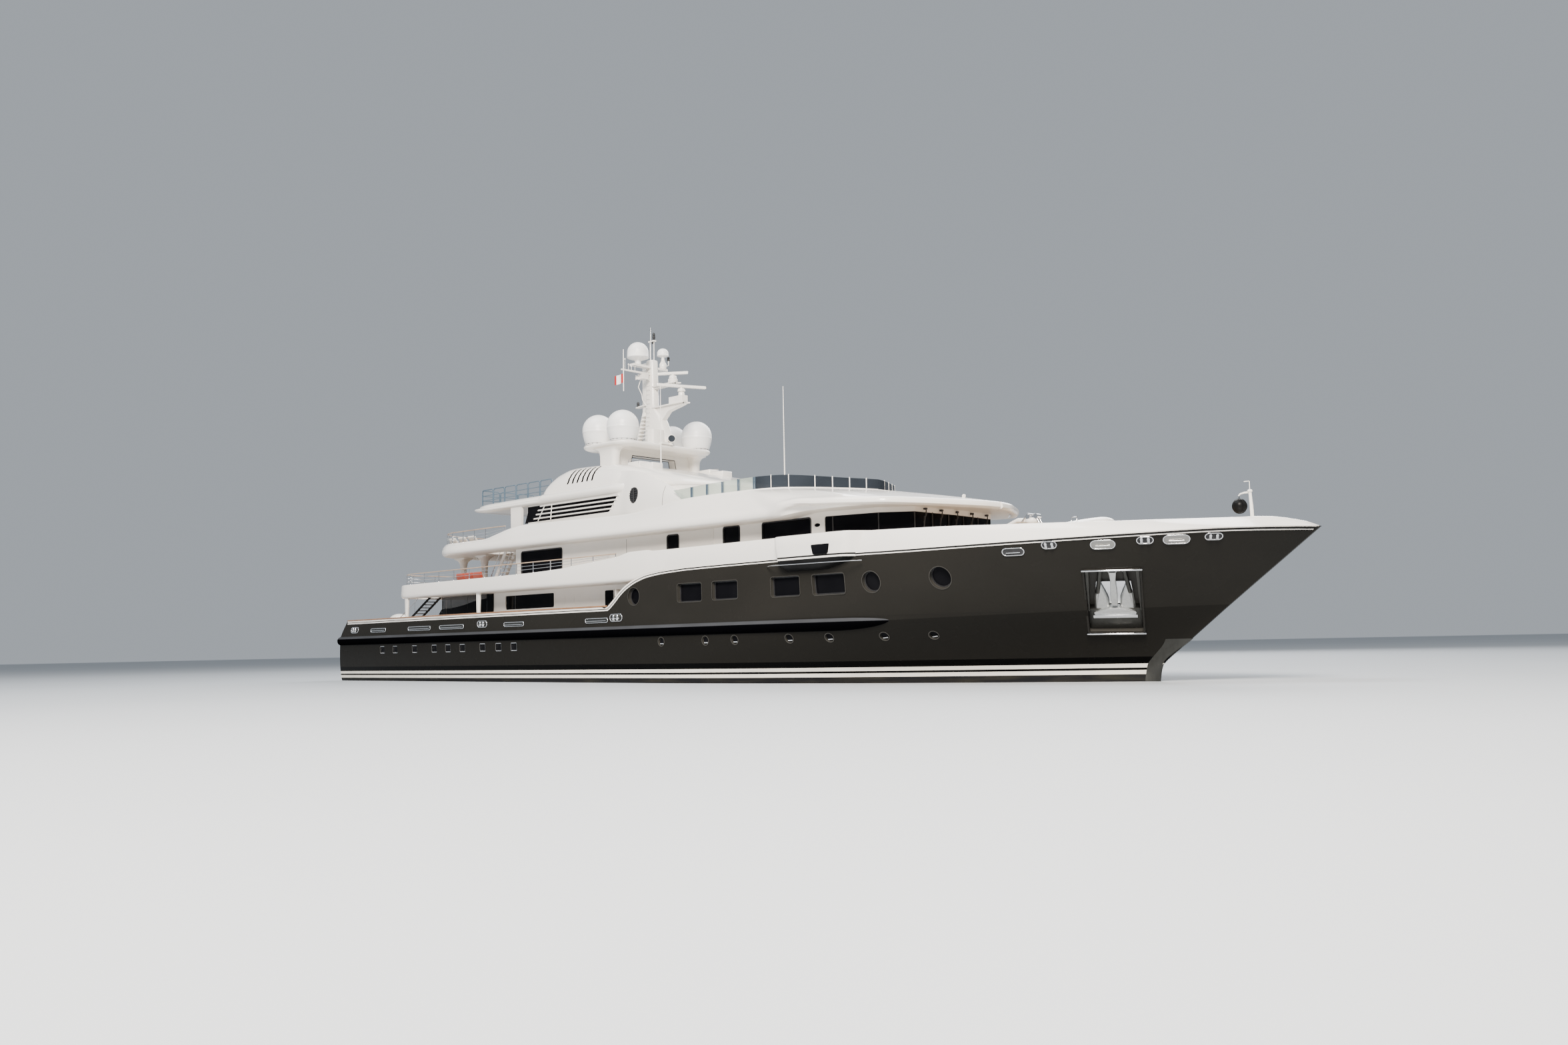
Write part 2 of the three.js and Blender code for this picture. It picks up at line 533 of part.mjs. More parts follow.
// Sun-deck house and the roof over it
const roofUnder = (x) => lerpTable([[-20.7, 11.72], [-18, ROOF_UNDER], [0, ROOF_UNDER], [6.3, 10.95]], x);
const SUN_HOUSE_HALF = [
  [-13.7, 4.7], [-13.5, 5.1], [-2, 5.2], [0.5, 5.0], [3, 4.3], [5, 3.0], [6.2, 1.2], [6.4, 0.1],
];
const houseRow = (x, inset, drop) => {
  const b = Math.max(lerpTable(SUN_HOUSE_HALF, x) - inset, 0.05);
  return [[x, b, SUN_DECK + GAP - drop], [x, b, roofUnder(x) - GAP + drop]];
};
const CREST = [
  [-20.7, 12.16], [-20, 12.28], [-13, 12.32], [-12.6, 12.9], [-12.1, 13.35], [-11.4, 13.62], [-10, 13.8], [-6, 13.62],
  [-3, 13.1], [0, 12.4], [3, 11.75], [6.3, 11.2], [6.6, 11.15],
];
const ROOF_HALF = [
  [-20.7, 3.7], [-20.4, 4.5], [-19.8, 5.05], [-18.5, 5.35], [-13, 5.45], [-5, 5.45], [-3.5, 5.25], [0.5, 5.05],
  [3, 4.4], [5, 3.1], [6.3, 1.3], [6.6, 0.2],
];
const ROOF_STATIONS = [
  -20.7, -20.4, -19.8, -18.5, -13, -12.6, -12.1, -11.4, -10, -6, -5, -3.5, -1.5, 0.5, 3, 5, 6.3, 6.6,
];
// Buttresses that sweep from the roof's hump down to the coaming
const BUTTRESS = [
  { x: -6.5, in: 4.7, out: 5.15, z0: 11.58, z1: 12.1 }, { x: -3, in: 4.7, out: 5.3, z0: 11.55, z1: 12.7 },
  { x: -1, in: 4.75, out: 5.45, z0: 10.2, z1: 12.05 }, { x: 1, in: 4.9, out: 5.6, z0: 10.39, z1: 11.2 },
  { x: 2.2, in: 5.4, out: 5.75, z0: 10.52, z1: 10.6 },
];
const buttress = ringLoft(BUTTRESS.map((row) => [
  [row.x, row.in, row.z0], [row.x, row.in, row.z1], [row.x, row.out - 0.12, row.z1], [row.x, row.out, row.z0],
]));
const roofForm = shipLoft(ROOF_STATIONS.map((x) => {
  const b = lerpTable(ROOF_HALF, x);
  const under = roofUnder(x);
  const crest = lerpTable(CREST, x);
  const shoulder = Math.min(ROOF_TOP, under + 0.45 * (crest - under));
  return [
    [x, Math.max(b - 0.15, 0.1), under],
    [x, b, under + 0.12],
    [x, Math.max(b - 0.35, 0.08), shoulder],
    [x, Math.max(b - 0.75, 0.06), crest - 0.35 * (crest - shoulder)],
    [x, Math.max(b - 1.6, 0.05), crest],
  ];
}));
const roof = join(roofForm, buttress, mirrored(buttress));
addPaint('hardtop', roof);

const sunHouse = largest(cut(
  shipLoft([-13.7, -13.5, -2, 0.5, 3, 5, 6.2, 6.4].map((x) => houseRow(x, 0, 0))),
  shipLoft([-13.54, -13.4, -2, 0.5, 3, 5, 5.9].map((x) => houseRow(x, 0.16, 0.2))),
  box(-12.9, -4.4, -6, 6, 10.25, 11.38),
  box(-14.5, -13.1, -1.5, 1.5, 9, 11.2),
  ...around(roof),
));
addPaint('sun_deck_house', sunHouse);

// Arch that carries the domes
const PYLON = { x: -7, y: 3.5, length: 1.4, width: 0.62 };
const platformHalf = [
  [-9.6, 0], [-9.6, 3.3], [-9.3, 3.85], [-8.8, 4.1], [-5.8, 4.1], [-5.3, 3.85], [-5, 3.3], [-5, 0],
];
// Height, and the share by which the pylon grows there
const PYLON_FLARE = [[12.8, 1], [14.0, 1], [14.45, 1.15], [PLATFORM_UNDER + 0.05, 1.7]];
const archParts = [planPrism(fullOutline(platformHalf), PLATFORM_UNDER, PLATFORM_TOP)];
for (const side of [1, -1]) {
  const y = side * PYLON.y;
  archParts.push(ringLoft(PYLON_FLARE.map(([z, grow]) => {
    const [l, w] = [(PYLON.length * grow) / 2, (PYLON.width * grow) / 2];
    const c = 0.16;
    return [
      [l - c, -w], [l, -w + c], [l, w - c], [l - c, w], [-l + c, w], [-l, w - c], [-l, -w + c], [-l + c, -w],
    ].map(([u, v]) => [PYLON.x + u, y + v, z]).reverse();
  })));
}
addPaint('radar_arch', cut(join(...archParts), shifted(roof, 0, 0, GAP), box(-12, 0, -6, 6, 12, 12.9)));

// Domes
function dome(radius, height) {
  const points = [new THREE.Vector2(0, 0), new THREE.Vector2(radius * 0.72, 0)];
  points.push(new THREE.Vector2(radius * 0.74, height * 0.12), new THREE.Vector2(radius, height * 0.32));
  const capFrom = height - radius;
  for (let i = 0; i <= 5; i += 1) {
    const a = (i / 5) * (Math.PI / 2);
    points.push(new THREE.Vector2(radius * Math.cos(a), capFrom + radius * Math.sin(a)));
  }
  points[points.length - 1].x = 0;
  return new THREE.LatheGeometry(points, 18).rotateX(Math.PI / 2);
}
const DOMES = [
  ['dome_fore_port', -6.03, 3.23], ['dome_fore_starboard', -6.03, -3.23],
  ['dome_aft_port', -8.47, 3.23], ['dome_aft_starboard', -8.47, -3.23],
];
for (const [name, x, y] of DOMES) {
  addPaint(name, dome(1.03, 2.05)).position.set(x, y, PLATFORM_TOP + GAP);
}

// Mast
const mastSide = [
  [-8.1, PLATFORM_TOP + GAP], [-5.5, PLATFORM_TOP + GAP], [-6.25, 16.5], [-6.45, 17.6], [-6.5, 21.0], [-7.15, 21.0],
  [-7.2, 17.6], [-7.45, 16.5],
];
const mast = join(
  sidePrism(mastSide, -0.25, 0.25),
  rod([-6.8, 0, 20.9], [-6.8, 0, 22.3], 0.14),
  rod([-6.8, 0, 22.2], [-6.8, 0, 23.3], 0.05),
  box(-7.05, -6.6, -1.75, 1.2, 20.4, 20.58),
  rod([-6.8, 0.95, 20.5], [-6.8, 0.95, 21.24], 0.12),
  box(-6.78, -6.62, -2.75, 0.2, 19.95, 20.08),
  dome(0.72, 1.5).translate(-6.85, -1.2, 20.56),
  dome(0.385, 0.78).translate(-6.8, 0.95, 21.22),
  sidePrism([[-6.6, 19.1], [-4.4, 19.36], [-4.4, 19.46], [-6.6, 19.46]], -0.28, 0.28),
  sidePrism([[-6.6, 17.3], [-4.9, 18.1], [-3.6, 18.36], [-3.6, 18.48], [-6.6, 18.48]], -0.32, 0.32),
);
addPaint('mast', mast);
// Radar scanners: name, x, height of the foot, span and the angle at which the bar rests
const SCANNERS = [
  ['radar_scanner_upper', -4.8, 19.47, 2.0, -55], ['radar_scanner_lower', -4.0, 18.49, 3.35, -24],
];
for (const [name, x, z, span, rest] of SCANNERS) {
  const bar = join(
    box(-0.09, 0.09, -span / 2, span / 2, 0.26, 0.46),
    rod([0, 0, 0], [0, 0, 0.3], 0.2, 12),
  );
  addPaint(name, bar.rotateZ(THREE.MathUtils.degToRad(rest))).position.set(x, 0, z);
}

// Windbreak
const WIND_STATIONS = [2.1, 5, 7.5, 8.8, 9.6, 10.4, 10.9, 11.4, 11.8];
const windRow = (x, inset, extra) => {
  const b = Math.max(lerpTable(SUN_TOP_HALF, x) - 0.08 - inset, 0.03);
  const tall = lerpTable([[2.1, 0.6], [5, 0.66], [9, 0.7], [11.8, 0.56]], x);
  const slant = x < 3 ? 0.75 : 0;
  const base = lerpTable(SUN_TOP_Z, x);
  return [[x - (inset ? slant : 0), b, base + GAP - extra], [x - slant, b, base + tall + extra]];
};
const windbreak = largest(cut(
  shipLoft(WIND_STATIONS.map((x) => windRow(x, 0, 0))),
  shipLoft(WIND_STATIONS.map((x) => windRow(x - (x > 11.7 ? 0.06 : 0), 0.05, 0.3))),
  shifted(sunDeck, 0, 0, GAP), ...around(roof),
));
addNode('windbreak', windbreak, GLASS, 0.05, 0);

// Railings
function railing(points, topZ, baseAt, spacing) {
  const bars = [];
  for (let i = 1; i < points.length; i += 1) {
    const [ax, ay] = points[i - 1];
    const [bx, by] = points[i];
    bars.push(rod([ax, ay, topZ], [bx, by, topZ], 0.045, 6));
    const count = Math.max(1, Math.round(Math.hypot(bx - ax, by - ay) / spacing));
    for (let k = i === 1 ? 0 : 1; k <= count; k += 1) {
      const x = ax + ((bx - ax) * k) / count;
      const y = ay + ((by - ay) * k) / count;
      bars.push(box(x - 0.03, x + 0.03, y - 0.03, y + 0.03, baseAt(x) + GAP, topZ + 0.02));
    }
  }
  return join(...bars);
}
const upperRail = railing(
  [[-2.6, 6.75], [-18, 6.65], [-26, 6.55], [-27.05, 5.6], [-27.05, 0.06]], 7.6, (x) => lerpTable(UPPER_TOP, x) + 0.01, 2.2,
);
addSteel('upper_deck_rail_port', upperRail);
addSteel('upper_deck_rail_starboard', mirrored(upperRail));
const roofRailPort = cut(railing([[-19.7, 4.5], [-12.9, 4.7]], 13.2, () => 12.05, 1.36), shifted(roof, 0, 0, GAP));
addSteel('roof_rail_port', roofRailPort);
addSteel('roof_rail_starboard', mirrored(roofRailPort));
const sunRail = railing(
  [[-14.9, 5.95], [-17, 6.05], [-21.1, 6.0], [-22.25, 5.65], [-23.05, 4.95], [-23.75, 3.7], [-24, 2], [-24, 0.06]],
  10.27, (x) => lerpTable(SUN_TOP_Z, x) + 0.01, 1.9,
);
addSteel('sun_deck_rail_port', sunRail);
addSteel('sun_deck_rail_starboard', mirrored(sunRail));

// Pillars under the upper deck, and waisted columns under the sun deck, radius and height up the column
const COLUMN_TALL = SUN_DECK_UNDER - UPPER_DECK - 2 * GAP;
const COLUMN = [[0, 0], [0.3, 0], [0.24, 0.25], [0.23, 1.6], [0.28, 2.1], [0.42, COLUMN_TALL], [0, COLUMN_TALL]];
const column = new THREE.LatheGeometry(COLUMN.map(([r, z]) => new THREE.Vector2(r, z)), 14).rotateX(Math.PI / 2);
for (const [side, sideName] of [[1, 'port'], [-1, 'starboard']]) {
  for (const [x, place] of [[-26.15, 'aft'], [-17.2, 'fore']]) {
    const y = side * 6.45;
    const pillar = box(x - 0.17, x + 0.17, y - 0.1, y + 0.1, AFT_SHEER + GAP, UPPER_DECK_UNDER - GAP);
    addPaint(`pillar_${place}_${sideName}`, pillar);
  }
  for (const [x, y, place] of [[-23.35, 3.6, 'aft'], [-20.2, 3.95, 'fore']]) {
    addPaint(`column_${place}_${sideName}`, column).position.set(x, side * y, UPPER_DECK + GAP);
  }
}

// Stairs
function flight(x0, x1, y0, y1, z0, z1, steps) {
  const parts = [];
  const string = [[x0, z0], [x0 + 0.35, z0], [x1 + 0.2, z1], [x1 - 0.15, z1]];
  parts.push(sidePrism(string, y0, y0 + 0.06), sidePrism(string, y1 - 0.06, y1));
  for (let i = 1; i <= steps; i += 1) {
    const z = z0 + ((z1 - z0) * i) / (steps + 1);
    const x = x0 + 0.1 + ((x1 - x0) * i) / (steps + 1);
    parts.push(box(x - 0.1, x + 0.2, y0 + 0.02, y1 - 0.02, z - 0.04, z));
  }
  return join(...parts);
}
const aftStair = flight(-29.3, -24.2, AFT_STAIR.y0, AFT_STAIR.y1 - 0.05, MAIN_DECK + GAP, UPPER_DECK, 13);
addPaint('aft_stair_port', aftStair);
addPaint('aft_stair_starboard', mirrored(aftStair));
const sunStair = flight(-18.4, -16.4, SUN_STAIR.y0, SUN_STAIR.y1 - 0.05, UPPER_DECK + GAP, SUN_DECK, 9);
addPaint('sun_stair_port', sunStair);
addPaint('sun_stair_starboard', mirrored(sunStair));

// Wing stations
const wingRing = (x0, x1, y, z) => [[x0, 6.2, z], [x0 + 0.1, y, z], [x1 - 0.9, y, z], [x1, 6.2, z]];
const wingBody = ringLoft([
  wingRing(11.2, 14.9, 6.9, 5.85), wingRing(10.9, 16.3, 7.5, 6.15), wingRing(10.7, 16.6, 7.55, 7.58),
]);
const wing = cut(
  wingBody, shifted(hullForm, 0, GAP, 0), shifted(hullForm, 0, GAP, 2 * GAP), shifted(bulwarkOuter, 0, GAP, 0),
  box(8, 20, 0, 6.7, 5, 9),
);
const wingPort = largest(wing);
addPaint('wing_station_port', wingPort);
addPaint('wing_station_starboard', mirrored(wingPort));

// Bow staff
const staff = join(
  rod([32.9, 0, 7.21], [32.85, 0, 8.42], 0.05), rod([32.85, 0, 8.3], [32.3, 0, 8.27], 0.03), rod([32.35, 0, 8.28], [32.35, 0, 7.9], 0.02),
  new THREE.SphereGeometry(0.33, 12, 8).rotateX(Math.PI / 2).translate(32.35, 0, 7.78),
);
addPaint('bow_staff', cut(staff, shifted(bulwarkOuter, 0, 0, GAP)));

// Propellers with their shafts, brackets, rudders and fins
function bladeGeometry() {
  const rings = [[0.2, 0.34, 55], [0.5, 0.62, 42], [0.8, 0.6, 32], [1.0, 0.2, 26]].map(([share, chord, pitch]) => {
    const r = share * PROP_RADIUS;
    const a = THREE.MathUtils.degToRad(pitch);
    const points = [];
    for (const [u, v] of [[-0.5, 0], [0, -0.06], [0.5, 0], [0, 0.06]]) {
      const along = u * chord;
      const across = v * chord + 0.01 * Math.sign(v);
      points.push([along * Math.sin(a) + across * Math.cos(a), along * Math.cos(a) - across * Math.sin(a), r]);
    }
    return points;
  });
  return ringLoft(rings.map((ring) => ring.map(([x, y, z]) => [x, y, z])));
}
const blades = [];
for (let i = 0; i < 5; i += 1) {
  blades.push(bladeGeometry().rotateX((i * 2 * Math.PI) / 5));
}
const screw = join(
  ...blades, rod([-0.45, 0, 0], [0.35, 0, 0], 0.22, 12), rod([0.3, 0, 0], [15.2, 0, 0], 0.12, 12),
);
const bracketHole = rod([0.5, 0, 0], [1.9, 0, 0], 0.16, 12);
const bracketRaw = join(
  rod([0.75, 0, 0], [1.65, 0, 0], 0.26, 12),
  box(0.95, 1.45, -0.07, 0.07, 0.1, 3.2).rotateX(THREE.MathUtils.degToRad(28)),
  box(0.95, 1.45, -0.07, 0.07, 0.1, 3.2).rotateX(THREE.MathUtils.degToRad(-28)),
);
for (const [side, name] of [[1, 'port'], [-1, 'starboard']]) {
  const y = side * SHAFT_Y;
  const place = new THREE.Matrix4().makeRotationY(-SHAFT_SLOPE).setPosition(PROP_X, y, PROP_Z);
  addNode(`propeller_${name}`, screw, BRONZE, 0.35, 1).applyMatrix4(place);
  const bracket = cut(bracketRaw, bracketHole).applyMatrix4(place);
  const fitted = cut(bracket, shifted(hull, 0, 0, -GAP), box(-40, 40, -8, 8, -0.9, 5));
  addSteel(`shaft_bracket_${name}`, fitted);
  const blade = sidePrism([[-0.75, -0.2], [0.65, -0.25], [0.5, -2.2], [-0.55, -2.25]], -0.1, 0.1);
  const rudder = join(blade, rod([0, 0, -0.5], [0, 0, 1.9], 0.15, 12));
  addPaint(`rudder_${name}`, rudder, HULL_BLACK).position.set(RUDDER_X, y, -1.75);
  const finX = 2;
  const fin = join(
    planPrism([[-0.9, 0], [0.9, 0], [0.6, 1.7], [-0.7, 1.7]], -0.1, 0.1),
    rod([0, -0.12, 0], [0, 0.1, 0], 0.16, 12),
  );
  const turned = side > 0 ? fin : mirrored(fin);
  const finMesh = addPaint(`fin_${name}`, turned, HULL_BLACK);
  finMesh.position.set(finX, side * 5.75, -3.35);
  finMesh.rotation.x = side * THREE.MathUtils.degToRad(-35);
}

export default group;
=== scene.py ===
"""Dresses the packed frame of a motor yacht: hull, deckhouses, glass, rails, gear, furniture and stage.

Lengths are in metres of the full-size ship, and SCALE turns them into metres of the model.
+X is the bow, +Y port and +Z up, with the origin amidships on the centreline at the waterline.
"""

import math
from bisect import bisect_right

import bmesh
import bpy
from bpy.props import FloatProperty, FloatVectorProperty, IntProperty, PointerProperty
from mathutils import Matrix, Vector
from mathutils.bvhtree import BVHTree


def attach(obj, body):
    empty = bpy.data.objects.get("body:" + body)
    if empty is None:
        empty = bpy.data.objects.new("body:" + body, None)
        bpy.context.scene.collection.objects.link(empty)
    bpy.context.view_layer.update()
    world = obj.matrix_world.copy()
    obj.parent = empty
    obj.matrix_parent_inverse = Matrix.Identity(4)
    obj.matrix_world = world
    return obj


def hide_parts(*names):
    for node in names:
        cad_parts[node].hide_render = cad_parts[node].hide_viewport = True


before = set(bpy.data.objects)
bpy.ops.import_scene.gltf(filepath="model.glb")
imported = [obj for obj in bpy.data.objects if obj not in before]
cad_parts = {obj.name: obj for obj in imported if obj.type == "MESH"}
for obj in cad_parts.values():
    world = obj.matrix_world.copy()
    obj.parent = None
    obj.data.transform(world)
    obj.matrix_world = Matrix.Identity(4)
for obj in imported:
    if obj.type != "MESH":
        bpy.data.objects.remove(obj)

bl_info = {
    "name": "Motor Yacht Fit-out",
    "version": (1, 0, 0),
    "blender": (4, 5, 0),
    "location": "3D View > Sidebar > Yacht",
    "description": "Builds a motor yacht's hull, deckhouses, rails, gear and furniture round its frame",
    "category": "Add Mesh",
}

SCALE = 0.5

# Deck levels
MAIN_DECK = 3.45
UPPER_UNDER = 5.9
UPPER_DECK = 6.25
SUN_UNDER = 8.7
SUN_DECK = 9.05
ROOF_UNDER = 11.5
PLATFORM_TOP = 15.12


class Curve:
    """A fair line through listed points that doesn't overshoot them."""

    def __init__(self, points):
        self.xs = [x for x, _ in points]
        self.vs = [v for _, v in points]
        pairs = list(zip(points, points[1:]))
        rises = [(b[1] - a[1]) / (b[0] - a[0]) for a, b in pairs]
        self.slopes = [rises[0]]
        for before, after in zip(rises, rises[1:]):
            same_way = before * after > 0
            self.slopes.append(2 * before * after / (before + after) if same_way else 0.0)
        self.slopes.append(rises[-1])

    def __call__(self, x):
        if x <= self.xs[0]:
            return self.vs[0]
        if x >= self.xs[-1]:
            return self.vs[-1]
        i = bisect_right(self.xs, x) - 1
        run = self.xs[i + 1] - self.xs[i]
        t = (x - self.xs[i]) / run
        start = (1 + 2 * t) * (1 - t) ** 2 * self.vs[i] + t * (1 - t) ** 2 * run * self.slopes[i]
        end = t * t * (3 - 2 * t) * self.vs[i + 1] + t * t * (t - 1) * run * self.slopes[i + 1]
        return start + end


def spread(start, end, count):
    """Evenly spaced values with both ends."""
    return [start + (end - start) * i / (count - 1) for i in range(count)]


def mix(a, b, t):
    return a + (b - a) * t


def clamp(value, low=0.0, high=1.0):
    return max(low, min(high, value))


# Outlines are lists of two-dimensional points.


def rounded_rect(width, height, radius, steps=5):
    """Rectangle about the middle with rounded corners."""
    points = []
    corners = [(1, 1, 0), (-1, 1, 90), (-1, -1, 180), (1, -1, 270)]
    for sx, sy, start in corners:
        for i in range(steps + 1):
            a = math.radians(start + 90 * i / steps)
            points.append((
                sx * (width / 2 - radius) + radius * math.cos(a),
                sy * (height / 2 - radius) + radius * math.sin(a),
            ))
    return points


def oval(width, height, steps=28):
    turns = [2 * math.pi * i / steps for i in range(steps)]
    return [(width / 2 * math.cos(a), height / 2 * math.sin(a)) for a in turns]


def softened(outline, radius, steps=4):
    """Closed outline with each corner rounded off."""
    points = []
    count = len(outline)
    for i in range(count):
        corner = Vector(outline[i])
        before = Vector(outline[i - 1]) - corner
        after = Vector(outline[(i + 1) % count]) - corner
        reach = min(radius, 0.45 * before.length, 0.45 * after.length)
        start = corner + before.normalized() * reach
        end = corner + after.normalized() * reach
        for k in range(steps + 1):
            t = k / steps
            bend = start * (1 - t) ** 2 + corner * 2 * t * (1 - t) + end * t * t
            points.append((bend.x, bend.y))
    return points


# A part is a pair: its points and its faces.


def loft(rings, capped=True, looped=False):
    """Skin through rings of the same number of points."""
    count = len(rings[0])
    points = [tuple(p) for ring in rings for p in ring]
    faces = []
    last = len(rings) if looped else len(rings) - 1
    for r in range(last):
        a, b = r * count, ((r + 1) % len(rings)) * count
        for i in range(count):
            j = (i + 1) % count
            faces.append((a + i, a + j, b + j, b + i))
    if capped and not looped:
        faces.append(tuple(range(count)))
        faces.append(tuple(range((len(rings) - 1) * count, len(rings) * count)))
    return points, faces


def across(row):
    """Closed ring from one side's section, listed from the low to the high centreline."""
    other = [(x, -y, z) for x, y, z in reversed(row) if y > 1e-6]
    return list(row) + other


def plan_slab(outline, z0, z1, edge=0.0):
    """Flat slab of a plan outline, with its top and bottom edges eased by edge."""
    if not edge:
        return loft([[(x, y, z) for x, y in outline] for z in (z0, z1)])
    inner = shrunk(outline, edge)
    levels = [(inner, z0), (outline, z0 + edge), (outline, z1 - edge), (inner, z1)]
    return loft([[(x, y, z) for x, y in ring] for ring, z in levels])


def side_slab(outline, y0, y1):
    """Slab of a side outline, points of x and z, carried across from y0 to y1."""
    return loft([[(x, y, z) for x, z in outline] for y in (y0, y1)])


def shrunk(outline, inset):
    """Outline moved inwards by inset, or outwards where inset is negative."""
    area = sum(a[0] * b[1] - b[0] * a[1] for a, b in zip(outline, outline[1:] + outline[:1]))
    turn = 1 if area > 0 else -1
    points = []
    for i, here in enumerate(outline):
        before, after = outline[i - 1], outline[(i + 1) % len(outline)]
        run = Vector((after[0] - before[0], after[1] - before[1]))
        side = Vector((-run.y, run.x)).normalized() * turn * inset
        points.append((here[0] + side.x, here[1] + side.y))
    return points


def block(x0, x1, y0, y1, z0, z1):
    return plan_slab([(x0, y0), (x1, y0), (x1, y1), (x0, y1)], z0, z1)


def lathe(profile, centre, axis=(0, 0, 1), sides=32):
    """Body turned from a profile of radius and height about an axis through centre."""
    turn = Vector((0, 0, 1)).rotation_difference(Vector(axis))
    rings = []
    for radius, height in profile:
        ring = []
        for i in range(sides):
            a = 2 * math.pi * i / sides
            spot = Vector((max(radius, 1e-4) * math.cos(a), max(radius, 1e-4) * math.sin(a), height))
            ring.append(Vector(centre) + turn @ spot)
        rings.append(ring)
    return loft(rings)


def ball(centre, radius, sides=24, rows=12):
    turns = [math.pi * i / rows - math.pi / 2 for i in range(rows + 1)]
    return lathe([(radius * math.cos(a), radius * math.sin(a)) for a in turns], centre, sides=sides)


def tube(path, radius, sides=8, looped=False, flat=1.0):
    """Round bar along a path. flat squashes the bar's height."""
    spots = [Vector(p) for p in path]
    rings = []
    side = None
    for i, spot in enumerate(spots):
        if looped:
            run = spots[(i + 1) % len(spots)] - spots[i - 1]
        else:
            run = spots[min(i + 1, len(spots) - 1)] - spots[max(i - 1, 0)]
        run.normalize()
        if side is None:
            side = run.cross(Vector((0, 0, 1)))
            if side.length < 1e-3:
                side = Vector((0, 1, 0))
        side = (side - run * side.dot(run)).normalized()
        up = side.cross(run)
        thick = radius[i] if isinstance(radius, (list, tuple)) else radius
        turns = [2 * math.pi * k / sides for k in range(sides)]
        rings.append([spot + side * (thick * math.cos(a)) + up * (thick * flat * math.sin(a)) for a in turns])
    return loft(rings, looped=looped)


def ribbon(path, ups, width, thick, outs):
    """Flat strip along a path, with its width along ups and its thickness along outs."""
    rings = []
    for spot, up, out in zip(path, ups, outs):
        spot, up, out = Vector(spot), Vector(up) * (width / 2), Vector(out) * thick
        rings.append([spot - up, spot + up, spot + up + out, spot - up + out])
    return loft(rings)


def placed(part, matrix):
    points, faces = part
    return [tuple(matrix @ Vector(p)) for p in points], faces


def moved(part, x=0.0, y=0.0, z=0.0):
    return placed(part, Matrix.Translation((x, y, z)))


def turned(part, degrees, axis="Z", centre=(0, 0, 0)):
    there = Matrix.Translation(centre)
    return placed(part, there @ Matrix.Rotation(math.radians(degrees), 4, axis) @ there.inverted())


def opening_ring(outer, inner, z0, z1):
    """Frame between two outlines, from z0 to z1."""
    rings = [(outer, z0), (outer, z1), (inner, z1), (inner, z0)]
    return loft([[(x, y, z) for x, y in ring] for ring, z in rings], looped=True)


class Form:
    """Closed parts gathered for one piece, in metres of the ship."""

    def __init__(self):
        self.points = []
        self.faces = []
        self.slots = []

    def add(self, part, slot=0):
        points, faces = part
        first = len(self.points)
        self.points.extend(points)
        for i, face in enumerate(faces):
            self.faces.append([first + k for k in face])
            self.slots.append(slot[i] if isinstance(slot, list) else slot)
        return self

    def both_sides(self):
        """Adds the mirror image across the centreline."""
        count = len(self.points)
        self.points += [(x, -y, z) for x, y, z in self.points]
        self.faces += [[count + k for k in reversed(face)] for face in self.faces]
        self.slots += self.slots
        return self

    def starboard(self):
        """The mirror image alone."""
        other = Form()
        other.points = [(x, -y, z) for x, y, z in self.points]
        other.faces = [list(reversed(face)) for face in self.faces]
        other.slots = list(self.slots)
        return other


def mesh_object(name, form, finishes):
    mesh = bpy.data.meshes.new(name)
    mesh.from_pydata([(x * SCALE, y * SCALE, z * SCALE) for x, y, z in form.points], [], form.faces)
    for finish in finishes:
        mesh.materials.append(finish)
    mesh.polygons.foreach_set("material_index", form.slots)
    work = bmesh.new()
    work.from_mesh(mesh)
    bmesh.ops.recalc_face_normals(work, faces=work.faces)
    work.to_mesh(mesh)
    work.free()
    obj = bpy.data.objects.new(name, mesh)
    bpy.context.scene.collection.objects.link(obj)
    return obj


def settle(obj):
    """Applies the piece's modifiers to its mesh."""
    bpy.context.view_layer.update()
    shaped = obj.evaluated_get(bpy.context.evaluated_depsgraph_get())
    mesh = bpy.data.meshes.new_from_object(shaped)
    before = obj.data
    obj.modifiers.clear()
    obj.data = mesh
    mesh.name = obj.name
    bpy.data.meshes.remove(before)


def eased(obj, width, segments=2, angle=38.0):
    """Rounds the piece's sharp edges, with the width in metres of the ship."""
    bevel = obj.modifiers.new("eased_edges", "BEVEL")
    bevel.width = width * SCALE
    bevel.segments = segments
    bevel.limit_method = "ANGLE"
    bevel.angle_limit = math.radians(angle)
    bevel.use_clamp_overlap = True
    settle(obj)


def carved(obj, form):
    """Cuts the form's parts out of the piece. A cut face takes the slot that the part gives it."""
    tool = mesh_object(obj.name + "_cutter", form, list(obj.data.materials))
    cut = obj.modifiers.new("carved", "BOOLEAN")
    cut.operation = "DIFFERENCE"
    cut.solver = "EXACT"
    cut.material_mode = "INDEX"
    cut.object = tool
    settle(obj)
    mesh = tool.data
    bpy.data.objects.remove(tool)
    bpy.data.meshes.remove(mesh)


def fit(obj, body="ship", nodes=(), sharp=32.0):
    """Shades a finished piece smooth between its sharp edges, and puts it on its body."""
    obj.data.shade_smooth()
    obj.data.set_sharp_from_angle(angle=math.radians(sharp))
    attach(obj, body)
    if nodes:
        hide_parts(*nodes)
    return obj


def make(name, form, finishes, body="ship", nodes=(), edge=0.0, segments=2, sharp=32.0):
    """Makes a whole piece from a form."""
    obj = mesh_object(name, form, finishes)
    if edge:
        eased(obj, edge, segments)
    return fit(obj, body, nodes, sharp)


